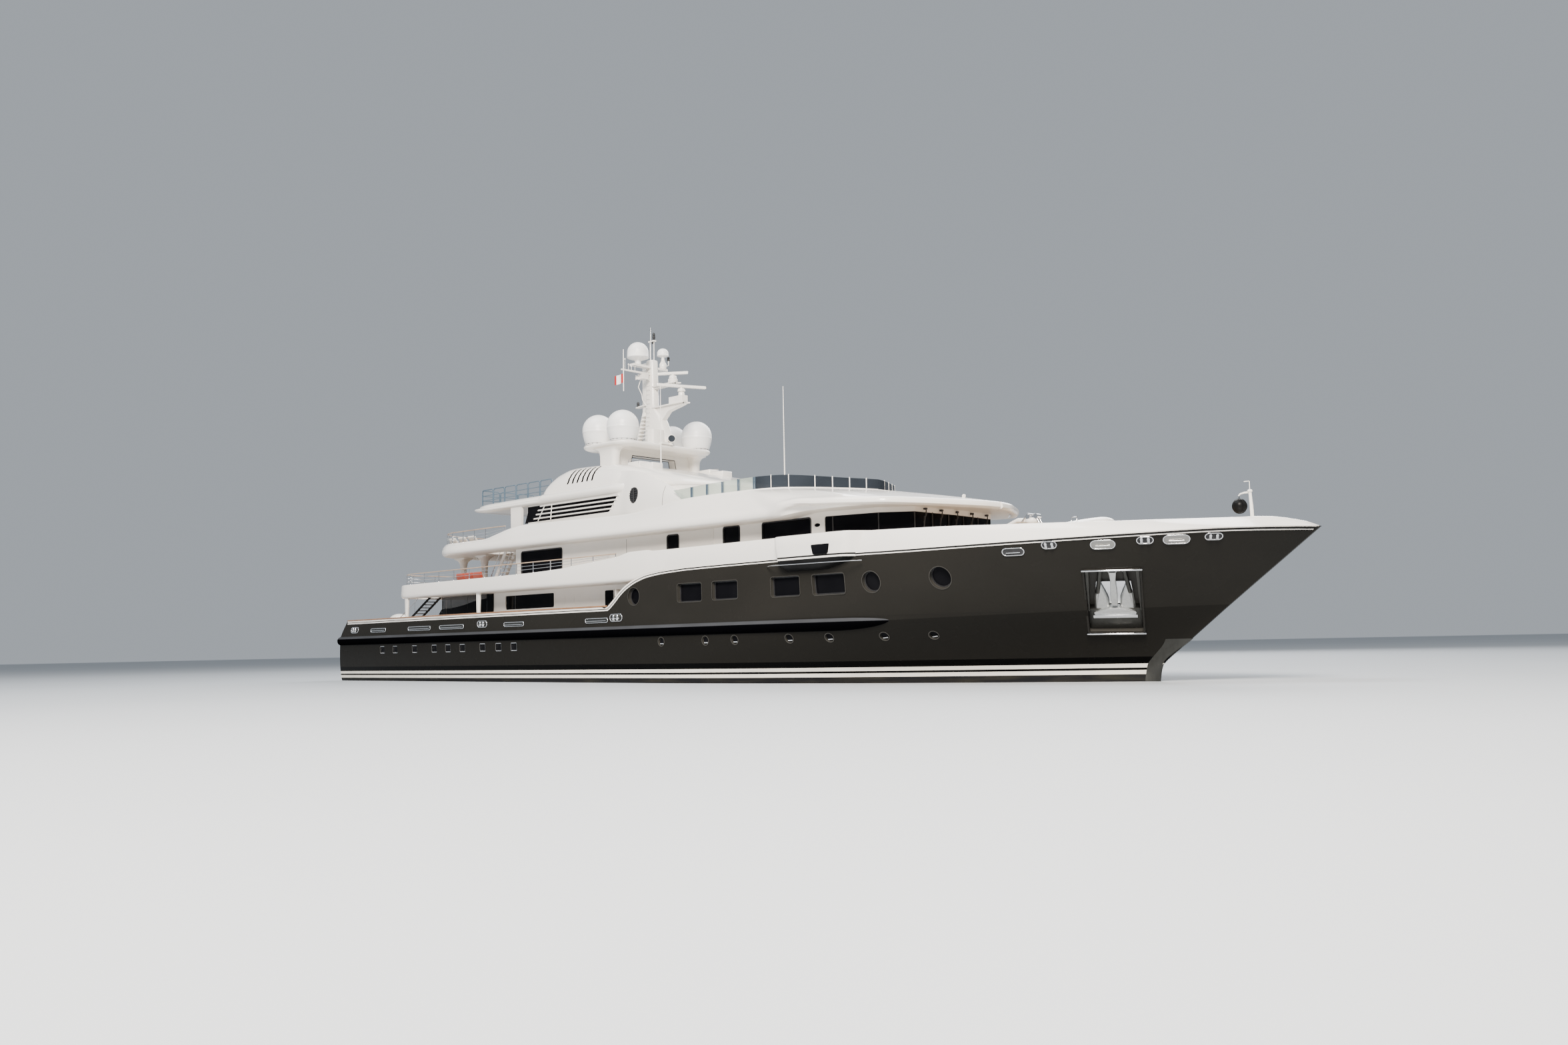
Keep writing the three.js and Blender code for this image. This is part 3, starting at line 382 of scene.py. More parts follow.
# Finishes. Each one is a material made once and kept by name.
# NOISE_SPAN holds nearly all the values of the noise.
# The scales compare a finish's gloss and bumps with its shade.
NOISE_SPAN = (0.3, 0.7)
GLOSS_SCALE, BUMP_SCALE = 2.7, 9


def new_finish(name, roughness, metallic=0.0, coat=0.0, specular=0.5):
    material = bpy.data.materials.new(name)
    material.use_nodes = True
    tree = material.node_tree
    shader = tree.nodes["Principled BSDF"]
    shader.inputs["Roughness"].default_value = roughness
    shader.inputs["Metallic"].default_value = metallic
    shader.inputs["Coat Weight"].default_value = coat
    shader.inputs["Coat Roughness"].default_value = 0.06
    shader.inputs["Specular IOR Level"].default_value = specular
    return material, tree, shader


def node(tree, kind, **values):
    made = tree.nodes.new(kind)
    for name, value in values.items():
        setattr(made, name, value)
    return made


def join(tree, source, target):
    tree.links.new(source, target)


def shade_of(colour, share):
    """The colour made darker, or lighter where share is over 1."""
    return tuple(share * c for c in colour)


def place_of(tree, stretch=(1, 1, 1)):
    """Object coordinates in metres of the model, stretched along each axis."""
    coordinates = node(tree, "ShaderNodeTexCoord")
    mapping = node(tree, "ShaderNodeMapping")
    mapping.inputs["Scale"].default_value = stretch
    join(tree, coordinates.outputs["Object"], mapping.inputs["Vector"])
    return mapping.outputs["Vector"]


def noise(tree, scale, detail=4.0, stretch=(1, 1, 1)):
    texture = node(tree, "ShaderNodeTexNoise")
    texture.inputs["Scale"].default_value = scale
    texture.inputs["Detail"].default_value = detail
    join(tree, place_of(tree, stretch), texture.inputs["Vector"])
    return texture.outputs["Fac"]


def blended(tree, factor, first, second):
    """A colour that runs from first to second. Each may be a colour or a socket."""
    mixer = node(tree, "ShaderNodeMix", data_type="RGBA")
    if isinstance(factor, float):
        mixer.inputs["Factor"].default_value = factor
    else:
        join(tree, factor, mixer.inputs["Factor"])
    for value, socket in ((first, mixer.inputs["A"]), (second, mixer.inputs["B"])):
        if isinstance(value, tuple):
            socket.default_value = (*value, 1.0)
        else:
            join(tree, value, socket)
    return mixer.outputs["Result"]


def spanned(tree, socket, low, high, to_low, to_high):
    """The socket's range from low to high, taken to another range."""
    span = node(tree, "ShaderNodeMapRange")
    values = (low, high, to_low, to_high)
    for name, value in zip(("From Min", "From Max", "To Min", "To Max"), values):
        span.inputs[name].default_value = value
    join(tree, socket, span.inputs["Value"])
    return span.outputs["Result"]


def raised(tree, shader, height, strength, distance=0.002):
    bump = node(tree, "ShaderNodeBump")
    bump.inputs["Strength"].default_value = strength
    bump.inputs["Distance"].default_value = distance
    join(tree, height, bump.inputs["Height"])
    join(tree, bump.outputs["Normal"], shader.inputs["Normal"])


def sums(tree, operation, first, second=None):
    step = node(tree, "ShaderNodeMath", operation=operation)
    for i, value in enumerate((first, second)):
        if isinstance(value, (int, float)):
            step.inputs[i].default_value = value
        elif value is not None:
            join(tree, value, step.inputs[i])
    return step.outputs["Value"]


def along(tree, axis):
    """The point's place along the axis X, Y or Z, in metres of the ship."""
    split = node(tree, "ShaderNodeSeparateXYZ")
    join(tree, place_of(tree), split.inputs["Vector"])
    return sums(tree, "DIVIDE", split.outputs[axis], SCALE)


def wander(tree, scale, detail=4.0, stretch=(1, 1, 1)):
    """Slow change from 0 to 1 over the surface."""
    return spanned(tree, noise(tree, scale, detail, stretch), *NOISE_SPAN, 0.0, 1.0)


def tinted(name, dark, light, roughness, scale, spread_of=0.05, bump=0.0, stretch=(1, 1, 1), **look):
    """Finish whose colour wanders between two shades, and whose gloss wanders a little with it."""
    material, tree, shader = new_finish(name, roughness, **look)
    join(tree, blended(tree, wander(tree, scale, stretch=stretch), dark, light), shader.inputs["Base Color"])
    patches = noise(tree, scale * GLOSS_SCALE, stretch=stretch)
    gloss = spanned(tree, patches, *NOISE_SPAN, roughness, roughness + spread_of)
    join(tree, gloss, shader.inputs["Roughness"])
    if bump:
        raised(tree, shader, noise(tree, scale * BUMP_SCALE, stretch=stretch), bump)
    return material


# Topsides: the knuckle's height, the place from which it rises towards the bow, and its slope there
KNUCKLE_HEIGHT, KNUCKLE_RISES_FROM, KNUCKLE_SLOPE = 3.13, 17.0, 0.021
# Share of the topsides' colour below the knuckle: painted shade for the darker lower side
KNUCKLE_PAINTED_SHADE = 0.64

# Boot-top: the foot of each band above the waterline amidships, and the slope of the bands
BOOT_BANDS = ((0.29, "stripe"), (0.485, "line"), (0.595, "stripe"), (0.785, "line"), (1.105, "topsides"))
BOOT_SLOPE = 0.002


def above_knuckle(tree):
    """1 above the knuckle of the topsides and 0 below it, where the topsides take painted shade."""
    past = sums(tree, "MAXIMUM", sums(tree, "SUBTRACT", along(tree, "X"), KNUCKLE_RISES_FROM), 0.0)
    level = sums(tree, "SUBTRACT", along(tree, "Z"), sums(tree, "MULTIPLY", past, KNUCKLE_SLOPE))
    return sums(tree, "GREATER_THAN", level, KNUCKLE_HEIGHT)


def hull_finish(paint, boot):
    """Charcoal topsides, darkened below the knuckle as painted shade, over the boot-top stripes and the
    antifouling.
    """
    material, tree, shader = new_finish("hull_paint_with_knuckle_shade", 0.24, coat=0.02, specular=0.03)
    flared = blended(tree, wander(tree, 0.35, stretch=(1, 1, 2)), shade_of(paint, 0.92),
                     shade_of(paint, 1.08))
    stain = spanned(tree, noise(tree, 3.0, stretch=(0.3, 0.3, 3)), 0.45, 0.8, 0.0, 1.0)
    shades = {
        # Below the knuckle the charcoal is darkened: painted shade
        "topsides": blended(tree, above_knuckle(tree), shade_of(paint, KNUCKLE_PAINTED_SHADE), flared),
        "stripe": blended(tree, stain, boot, shade_of(boot, 0.8)),
        "line": (0.001, 0.001, 0.001),
    }
    height = sums(tree, "SUBTRACT", along(tree, "Z"), sums(tree, "MULTIPLY", along(tree, "X"), BOOT_SLOPE))
    colour = blended(tree, stain, (0.012, 0.012, 0.013), (0.03, 0.028, 0.022))
    for level, shade in BOOT_BANDS:
        colour = blended(tree, sums(tree, "GREATER_THAN", height, level), colour, shades[shade])
    join(tree, colour, shader.inputs["Base Color"])
    join(tree, spanned(tree, noise(tree, 1.2), *NOISE_SPAN, 0.2, 0.32), shader.inputs["Roughness"])
    return material


def planked(name, wood, caulk, plank=0.12, seam_share=0.1):
    """Laid deck: planks along the ship with dark caulked seams and their own grain."""
    material, tree, shader = new_finish(name, 0.55)
    count = sums(tree, "DIVIDE", along(tree, "Y"), plank)
    seam = sums(tree, "LESS_THAN", sums(tree, "FRACT", count), seam_share)
    each = node(tree, "ShaderNodeTexWhiteNoise", noise_dimensions="1D")
    join(tree, sums(tree, "FLOOR", count), each.inputs["W"])
    pale = blended(tree, wander(tree, 6.0, 6.0, (1, 14, 1)), wood, shade_of(wood, 0.72))
    board = blended(tree, sums(tree, "MULTIPLY", each.outputs["Value"], 0.5), pale, shade_of(wood, 0.8))
    join(tree, blended(tree, seam, board, caulk), shader.inputs["Base Color"])
    raised(tree, shader, sums(tree, "SUBTRACT", 1.0, seam), 0.4, 0.002)
    return material


def strake_finish():
    """Black on the round of the rubbing strake, and a grey with a little random tone on its sloping top,
    painted reflection of the sky.
    """
    material, tree, shader = new_finish("rubbing_strake_black_and_painted_reflection", 0.3, specular=0.0)
    painted_sky_reflection = blended(tree, wander(tree, 0.6, 2.0), (0.04, 0.041, 0.044), (0.055, 0.057, 0.062))
    # The grey above the knuckle line stands in for the sky's reflection on the top: painted reflection
    top = sums(tree, "GREATER_THAN", along(tree, "Z"), KNUCKLE_HEIGHT)
    join(tree, blended(tree, top, (0.0015, 0.0015, 0.002), painted_sky_reflection), shader.inputs["Base Color"])
    return material


def glass_finish(name, colour, through=0.0, alpha=1.0):
    """Window glass. through lets light pass, and alpha thins a clear pane."""
    material, tree, shader = new_finish(name, 0.03, specular=0.04)
    lighter = tuple(min(1.0, 1.35 * c + 0.002) for c in colour)
    join(tree, blended(tree, wander(tree, 0.8, 2.0), colour, lighter), shader.inputs["Base Color"])
    shader.inputs["Transmission Weight"].default_value = through
    shader.inputs["Alpha"].default_value = alpha
    shader.inputs["IOR"].default_value = 1.45
    return material


def metal(name, colour, roughness, scale=30.0, stretch=(1, 1, 1), bump=0.05):
    """Metal with fine brushing or pitting."""
    dark = shade_of(colour, 0.85)
    return tinted(name, dark, colour, roughness, scale, 0.12, bump, stretch, metallic=1.0)


def cloth(name, colour, thread=260.0):
    """Woven outdoor cloth."""
    material, tree, shader = new_finish(name, 0.85, specular=0.25)
    shader.inputs["Sheen Weight"].default_value = 0.3
    weave = []
    for axis in ("X", "Y"):
        wave = node(tree, "ShaderNodeTexWave", wave_type="BANDS", bands_direction=axis)
        wave.inputs["Scale"].default_value = thread
        join(tree, place_of(tree), wave.inputs["Vector"])
        weave.append(wave.outputs["Fac"])
    threads = sums(tree, "MULTIPLY", *weave)
    shade = blended(tree, wander(tree, 5.0), shade_of(colour, 0.86), colour)
    lit = blended(tree, sums(tree, "MULTIPLY", threads, 0.25), shade, shade_of(colour, 0.7))
    join(tree, lit, shader.inputs["Base Color"])
    raised(tree, shader, threads, 0.3, 0.0005)
    return material


def flag_finish(stripe, field):
    """Three upright stripes across the fly, of woven cloth."""
    material, tree, shader = new_finish("flag_cloth_weave", 0.8, specular=0.2)
    split = node(tree, "ShaderNodeSeparateXYZ")
    join(tree, node(tree, "ShaderNodeTexCoord").outputs["UV"], split.inputs["Vector"])
    fly = split.outputs["X"]
    middle = sums(tree, "MULTIPLY", sums(tree, "GREATER_THAN", fly, 0.27), sums(tree, "LESS_THAN", fly, 0.73))
    outer = blended(tree, wander(tree, 4.0), stripe, shade_of(stripe, 0.85))
    join(tree, blended(tree, middle, outer, field), shader.inputs["Base Color"])
    raised(tree, shader, noise(tree, 300.0, 1.0), 0.2, 0.0004)
    return material


FINISHES = {}


def make_finishes(colours):
    """Makes every finish from the colours that the panel holds."""
    hull, white, glass = (tuple(value) for value in (colours.hull, colours.white, colours.glass))
    FINISHES.update({
        "hull": hull_finish(hull, tuple(colours.boot)),
        "hull_part": tinted("hull_fittings_paint", shade_of(hull, 0.8), hull, 0.25, 1.0, specular=0.15),
        # Reveal: the topsides' charcoal made about twice as light, painted highlight on the faces and rims of
        # the recesses
        "reveal": tinted("window_reveal_painted_highlight", shade_of(hull, 1.7), shade_of(hull, 2.2), 0.35, 1.0,
                         specular=0.3),
        "rub": strake_finish(),
        "white": tinted("superstructure_paint", shade_of(white, 0.965), white, 0.16, 0.25, 0.06, coat=0.5),
        "gelcoat": tinted("dome_gelcoat", (0.86, 0.85, 0.83), (0.9, 0.89, 0.87), 0.3, 1.2, 0.1, 0.02),
        # Soffit: the white darkened a little, painted shade on the faces under the decks; it also draws the
        # hatch outlines and a panel on the wall
        "soffit": tinted("soffit_shade_and_panel_paint", shade_of(white, 0.9), shade_of(white, 0.94), 0.4, 0.8),
        "teak": planked("laid_teak", (0.5, 0.37, 0.25), (0.02, 0.018, 0.016)),
        "varnish": tinted("varnished_teak", (0.2, 0.085, 0.03), (0.34, 0.16, 0.065), 0.16, 3.0, 0.08, 0.03,
                          (1, 8, 8), coat=0.8),
        "glass": glass_finish("tinted_window_glass", glass),
        "pale_glass": glass_finish("clear_windbreak_glass", (0.4, 0.46, 0.4), 0.3, 0.62),
        "smoked": glass_finish("smoked_screen_glass", (0.09, 0.085, 0.08), 0.3, 0.8),
        "dark_pane": glass_finish("tinted_windbreak_glass", (0.022, 0.027, 0.034), 0.0, 0.92),
        "steel": metal("polished_stainless", (0.78, 0.78, 0.79), 0.1, 40.0),
        "bright": metal("mirror_plate", (0.85, 0.87, 0.9), 0.07, 6.0),
        "dark_steel": metal("worn_plate", (0.075, 0.075, 0.07), 0.38, 9.0, (1, 1, 0.2)),
        "dull_steel": metal("weathered_stainless", (0.36, 0.35, 0.33), 0.3, 12.0),
        "galvanised": metal("anchor_steel", (0.62, 0.63, 0.62), 0.32, 22.0, bump=0.25),
        "bronze": metal("screw_bronze", (0.72, 0.46, 0.2), 0.22, 16.0),
        "timber_cap": tinted("rail_cap_teak", (0.4, 0.27, 0.18), (0.55, 0.4, 0.28), 0.3, 3.0, 0.1, 0.03,
                             coat=0.4),
        "rail_blue": tinted("awning_rail_paint", (0.06, 0.095, 0.13), (0.09, 0.13, 0.17), 0.3, 2.0),
        "rubber": tinted("window_rubber", (0.012, 0.012, 0.013), (0.022, 0.022, 0.024), 0.55, 6.0, 0.1, 0.05),
        "trim_black": tinted("black_line_paint", (0.005, 0.005, 0.005), (0.01, 0.01, 0.01), 0.3, 2.0,
                             specular=0.08),
        "sofa": cloth("sofa_cloth", (0.42, 0.055, 0.025)),
        "pad": cloth("sunbed_cloth", (0.82, 0.79, 0.73)),
        "seat": cloth("chair_cloth", (0.5, 0.42, 0.33)),
        "timber": tinted("furniture_teak", (0.3, 0.17, 0.08), (0.44, 0.27, 0.14), 0.45, 4.0, 0.1, 0.05,
                         (1, 7, 7)),
        "flag": flag_finish((0.5, 0.03, 0.03), (0.85, 0.84, 0.82)),
        "lamp": glass_finish("lantern_glass", (0.5, 0.5, 0.48), 0.4),
        "floor": tinted("studio_floor_paint", (0.46, 0.48, 0.5), (0.49, 0.51, 0.53), 0.7, 0.05),
    })


def use(*names):
    """The finishes of those names."""
    return [FINISHES[name] for name in names]


def dress(finish, *names):
    """Gives carried-over frame nodes a finish."""
    for name in names:
        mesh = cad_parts[name].data
        mesh.materials.clear()
        mesh.materials.append(FINISHES[finish])


class YachtOperator(bpy.types.Operator):
    """Shared by the operators that build the yacht"""

    bl_options = {"REGISTER", "UNDO"}


class YachtColours(bpy.types.PropertyGroup):
    """Colours that the finishes are made from."""

    hull: FloatVectorProperty(
        name="Topsides", description="Charcoal of the hull above the boot-top", subtype="COLOR",
        default=(0.0185, 0.0173, 0.015), min=0.0, max=1.0,
    )
    boot: FloatVectorProperty(
        name="Boot-top", description="Pale stripes round the waterline", subtype="COLOR",
        default=(0.84, 0.79, 0.7), min=0.0, max=1.0,
    )
    white: FloatVectorProperty(
        name="Superstructure", description="Warm white of the deckhouses and bulwarks", subtype="COLOR",
        default=(0.89, 0.85, 0.79), min=0.0, max=1.0,
    )
    glass: FloatVectorProperty(
        name="Window glass", description="Tint of the cabin windows", subtype="COLOR",
        default=(0.003, 0.003, 0.004), min=0.0, max=1.0,
    )


class YachtFinishes(YachtOperator):
    """Makes the finishes and gives the frame nodes that stay visible theirs"""

    bl_idname = "yacht.finishes"
    bl_label = "Finishes"

    def execute(self, context):
        make_finishes(context.scene.yacht_colours)
        for side in ("port", "starboard"):
            dress("bronze", f"propeller_{side}")
            dress("steel", f"shaft_bracket_{side}")
            dress("hull_part", f"rudder_{side}", f"fin_{side}")
        dress("hull", "transom_door")
        return {"FINISHED"}


class YachtHullSizes(bpy.types.PropertyGroup):
    """Sizes of the hull's skin and fittings, in metres of the ship."""

    reveal: FloatProperty(
        name="Window reveal", description="How far the hull's windows sit inside its skin", unit="LENGTH",
        default=0.26, min=0.05, max=0.4,
    )
    cap_width: FloatProperty(
        name="Cap rail", description="Width of the rail along the top of the bulwark", unit="LENGTH",
        default=0.5, min=0.45, max=0.7,
    )
    rub_reach: FloatProperty(
        name="Rubbing strake", description="How far the strake stands out from the side", unit="LENGTH",
        default=0.24, min=0.1, max=0.3,
    )
    stations: IntProperty(
        name="Stations", description="Cross-sections along the forward hull", default=110, min=40, max=200,
    )


# Hull. Lines run from the keel to the sheer: share of the keel's depth or height above water, the ends
# in x, half-breadth amidships and at the transom, length of the bow's taper, its fullness and its lift.
DEPTH, LEVEL, SHEER = "depth", "level", "sheer"
HULL_LINES = [
    (DEPTH, 1.0, -35.85, 23.6, 0.35, 0.35, 8, 2, 1),
    (DEPTH, 0.93, -35.85, 25.4, 3.3, 2.4, 26, 1.6, 1.25),
    (DEPTH, 0.8, -35.85, 26.6, 5.0, 3.9, 27, 1.6, 1.2),
    (DEPTH, 0.55, -35.85, 27.6, 6.1, 5.0, 28, 1.6, 1.15),
    (DEPTH, 0.25, -35.85, 28.1, 6.5, 5.75, 28, 1.7, 1.1),
    (LEVEL, 0.0, -35.85, 28.15, 6.62, 6.15, 28, 1.8, 1.1),
    (LEVEL, 0.72, -35.84, 28.3, 6.7, 6.3, 27.5, 1.85, 1.07),
    (LEVEL, 1.9, -35.75, 29.75, 6.8, 6.42, 26.5, 2.0, 1.0),
    (LEVEL, 3.25, -35.6, 31.45, 6.88, 6.48, 25, 2.3, 0.92),
    (LEVEL, 3.75, -35.35, 32.1, 6.9, 6.4, 24.5, 2.35, 0.9),
    (SHEER, 0.0, -34.8, 35.85, 6.95, 6.3, 22, 2.6, 0.8),
]
KNUCKLE = 8
SHEER_LINE = HULL_LINES[-1]
STERN_X = -35.85
AFT_END, FORE_END = -34.8, 35.85
AFT_SHEER = 4.48
DRAFT, TRANSOM_DEPTH = 4.25, 0.75
TAPER_FROM = -12.0
STEM_HALF = 0.06
SWEEP_FROM, SWEEP_TO = -3.2, 2.0
SHEER_SWEEP = Curve([
    (SWEEP_FROM, AFT_SHEER), (-2.67, 4.86), (-2.08, 5.32), (-1.5, 5.67), (-0.6, 6.04), (0.5, 6.29),
    (SWEEP_TO, 6.39),
    (7.4, 6.46), (15, 6.49), (19, 6.47), (25, 6.51), (30, 6.59), (33, 6.65), (FORE_END, 6.63),
])
WELL_AFT, WELL_FORE = -33.9, -3.3
BULWARK = 0.42


def line_half(line, x):
    _, _, _, fore, half, stern, entry, full, lift = line
    to_stem = clamp((fore - x) / entry)
    bow = (1 - (1 - to_stem) ** full) ** lift
    aft = clamp((TAPER_FROM - x) / (TAPER_FROM - STERN_X))
    return max(STEM_HALF, (half + (stern - half) * aft ** 1.8) * bow)


def sheer_half(x):
    return line_half(SHEER_LINE, x)


def line_point(line, station):
    kind, level, aft, fore = line[:4]
    x = mix(aft, fore, (station - AFT_END) / (FORE_END - AFT_END))
    if kind == SHEER:
        z = SHEER_SWEEP(x)
    elif kind == DEPTH:
        z = level * (-DRAFT + (DRAFT - TRANSOM_DEPTH) * clamp(x / STERN_X) ** 1.5)
    else:
        z = level
    return Vector((x, line_half(line, x), z))


def faired(points, steps):
    """Smooth curve through points, steps to each span."""
    curve = []
    for i in range(len(points) - 1):
        a, b = points[i], points[i + 1]
        before = points[i - 1] if i else a * 2 - b
        after = points[i + 2] if i + 2 < len(points) else b * 2 - a
        for k in range(steps):
            t = k / steps
            curve.append(0.5 * (
                2 * a + (b - before) * t + (2 * before - 5 * a + 4 * b - after) * t * t
                + (3 * a - before - 3 * b + after) * t ** 3
            ))
    curve.append(points[-1])
    return curve


def hull_section(station):
    knots = [line_point(line, station) for line in HULL_LINES]
    low = faired(knots[:KNUCKLE + 1], 4)
    high = faired(knots[KNUCKLE:], 7)
    return [Vector((p.x, max(p.y, STEM_HALF), p.z)) for p in low + high[1:]]


def hull_stations(fore_count):
    aft = spread(AFT_END, SWEEP_FROM, 64)
    sweep = spread(SWEEP_FROM, SWEEP_TO, 30)[1:]
    return aft + sweep + spread(SWEEP_TO, FORE_END, fore_count)[1:]


class HullSide:
    """Finds places on the port side of the hull, for fittings that lie on it."""

    def __init__(self, sections):
        count = len(sections[0])
        points = [p for row in sections for p in row]
        faces = []
        for r in range(len(sections) - 1):
            for i in range(count - 1):
                a = r * count + i
                faces.append((a, a + 1, a + count + 1, a + count))
        self.tree = BVHTree.FromPolygons(points, faces)

    def spot(self, x, z):
        """The point on the side at x and z, and the direction out of it."""
        hit, normal, _, _ = self.tree.ray_cast(Vector((x, 30, z)), Vector((0, -1, 0)))
        if hit is None:
            raise RuntimeError(f"no hull side at x {x}, z {z}")
        return hit, normal if normal.y > 0 else -normal

    def basis(self, x, z, level=False):
        """Matrix whose X runs aft along the side, Y up it and Z out of it. Level makes its X horizontal."""
        hit, out = self.spot(x, z)
        aft = Vector((-out.y, out.x, 0)) if level else Vector((-1, 0, 0))
        aft = (aft - out * aft.dot(out)).normalized()
        up = out.cross(aft)
        turn = Matrix((aft, up, out)).transposed().to_4x4()
        return Matrix.Translation(hit) @ turn


# Windows and ports in the side: x, z, then length and height, or the distance across
WINDOW_CORNER, PORT_CORNER = 0.14, 0.05
HULL_WINDOWS = [(3.9, 5.03, 1.95, 1.03), (6.68, 5.04, 1.95, 1.0), (11.1, 5.03, 1.99, 1.03),
                (13.98, 5.02, 2.05, 1.04)]
ROUND_WINDOWS = [(-0.82, 5.0, 1.0), (16.59, 5.01, 1.04), (20.37, 5.03, 1.1)]
SMALL_PORTS = [(x, 2.35, 0.5) for x in (1.42, 5.01, 7.2, 10.88, 13.32, 16.38, 18.91)]
SQUARE_PORTS = [(x, 2.26, 0.66, 0.52) for x in (
    -29.23, -27.41, -24.73, -22.13, -20.39, -18.62, -16.23, -14.41, -12.72,
)]
# Freeing slots and fairleads: x, z, length, height, and what stands in the opening
SLOT_Z, SLOT_TALL = 3.7, 0.26
SLOTS = [(x, SLOT_Z, length, SLOT_TALL, "slot") for x, length in (
    (-29.79, 2.2), (-24.0, 3.0), (-19.82, 3.0), (-12.57, 2.15), (-4.23, 2.1),
)]
AFT_ROLLERS = [(x, z, 1.1, 0.42, "aft_rollers") for x, z in ((-33.4, 3.78), (-16.12, 3.8), (-2.42, 3.82))]
BOW_LEADS = [
    (24.23, 6.03, 1.02, 0.36, "rail"), (25.91, 6.24, 0.66, 0.36, "rollers"), (28.11, 6.15, 1.05, 0.44, "pan"),
    (29.79, 6.25, 0.69, 0.36, "rollers"), (30.95, 6.24, 1.1, 0.46, "pan"), (32.3, 6.31, 0.72, 0.35,
                                                                            "rollers"),
]
SMALL_REVEAL = 0.12
THRUSTER = (22.2, -1.9, 0.55)
BULB_X, BULB_Z, BULB_LONG, BULB_HALF, BULB_TALL = 25.6, -2.65, 5.2, 1.0, 1.15
SKEG = [(-9, -3.2), (-9, -4.2), (-29.5, -4.0), (-30.6, -1.2)]
SKEG_HALF = 0.12
TRANSOM_HALF, TRANSOM_LOW, TRANSOM_HIGH = 2.63, 0.97, 3.13

# Anchor pocket, at the middle of its opening: X runs aft, Y up and Z out of the hull
POCKET_AT = Vector((27.5, 2.8, 3.68))
POCKET_WIDE, POCKET_TALL, POCKET_DEEP = 2.4, 3.6, 0.6


def pocket_basis():
    out = Vector((0.31, 0.688, -0.653)).normalized()
    aft = Vector((-0.908, 0.419, 0.01))
    up = out.cross(aft).normalized()
    aft = up.cross(out).normalized()
    return Matrix.Translation(POCKET_AT) @ Matrix((aft, up, out)).transposed().to_4x4()


def hull_panes():
    """The large windows of the side: x, z and outline."""
    square = [(x, z, rounded_rect(length, height, WINDOW_CORNER)) for x, z, length, height in HULL_WINDOWS]
    return square + [(x, z, oval(wide, wide * 1.02)) for x, z, wide in ROUND_WINDOWS]


def round_ports():
    return [(x, z, oval(wide, wide, 20)) for x, z, wide in SMALL_PORTS]


def square_ports():
    return [(x, z, rounded_rect(length, height, PORT_CORNER, 3)) for x, z, length, height in SQUARE_PORTS]


def outline_part(basis, outline, low, high):
    return placed(loft([[(u, v, w) for u, v in outline] for w in (low, high)]), basis)


class YachtHull(YachtOperator):
    """Builds the hull's skin, its aft well and the openings in its sides"""

    bl_idname = "yacht.hull"
    bl_label = "Hull"

    def execute(self, context):
        sizes = context.scene.yacht_hull
        sections = [hull_section(s) for s in hull_stations(sizes.stations)]
        side = HullSide(sections)
        rings = [[tuple(p) for p in row] + [(p.x, -p.y, p.z) for p in reversed(row)] for row in sections]
        points, faces = loft(rings, capped=False)
        count = len(rings[0])
        deck = {count // 2 - 1, count // 2}
        slots = [2 if deck <= {k % count for k in face} else 0 for face in faces]
        # The ends are ruled across instead of closed with one face
        for first in (0, len(points) - count):
            for i in range(count // 2 - 1):
                faces.append((first + i, first + i + 1, first + count - 2 - i, first + count - 1 - i))
                slots.append(0)
        form = Form().add((points, faces), slots)
        # Slot 3, the lighter reveal finish, goes on the cut faces of the recesses: painted highlight
        hull = mesh_object("hull_skin", form, use("hull", "white", "teak", "reveal"))
        carved(hull, self.openings(side, sizes.reveal))
        fit(hull, nodes=("hull",), sharp=24)
        self.add_underwater()
        return {"FINISHED"}

    @staticmethod
    def openings(side, reveal):
        form = Form()
        well_rows = []
        for x in spread(WELL_AFT, WELL_FORE, 60):
            b = sheer_half(x) - BULWARK
            well_rows.append([(x, 0, MAIN_DECK), (x, b, MAIN_DECK), (x, b + 0.02, 7), (x, 0, 7)])
        points, faces = loft([across(row) for row in well_rows])
        ring = len(across(well_rows[0]))
        slots = []
        for face in faces:
            low = all(abs(points[k][2] - MAIN_DECK) < 1e-6 for k in face) and len(face) < ring
            slots.append(2 if low else 1)
        form.add((points, faces), slots)
        half = Form()
        for openings, deep, out in ((hull_panes(), reveal, 0.4), (round_ports(), SMALL_REVEAL, 0.4),
                                    (square_ports(), SMALL_REVEAL, 0.3)):
            for x, z, outline in openings:
                half.add(outline_part(side.basis(x, z), outline, -deep, out), 3)
        pocket = rounded_rect(POCKET_WIDE, POCKET_TALL, 0.08, 3)
        half.add(outline_part(pocket_basis(), pocket, -POCKET_DEEP, 2.0), 3)
        half.both_sides()
        form.add((half.points, half.faces), half.slots)
        x, z, radius = THRUSTER
        form.add(tube([(x, -5, z), (x, 5, z)], radius, 24), 3)
        form.add(block(STERN_X - 0.3, -34.9, -TRANSOM_HALF, TRANSOM_HALF, TRANSOM_LOW, TRANSOM_HIGH), 3)
        return form

    @staticmethod
    def add_underwater():
        bulb = []
        for t in spread(-1, 1, 25):
            reach = math.sqrt(max(1 - t * t, 0.0004))
            section = oval(2 * BULB_HALF * reach, 2 * BULB_TALL * reach, 24)
            bulb.append([(BULB_X + BULB_LONG * t, y, BULB_Z + z) for y, z in section])
        form = Form().add(loft(bulb))
        form.add(side_slab(softened(SKEG, 0.3), -SKEG_HALF, SKEG_HALF))
        make("bulb_and_skeg", form, use("hull"), edge=0.03)


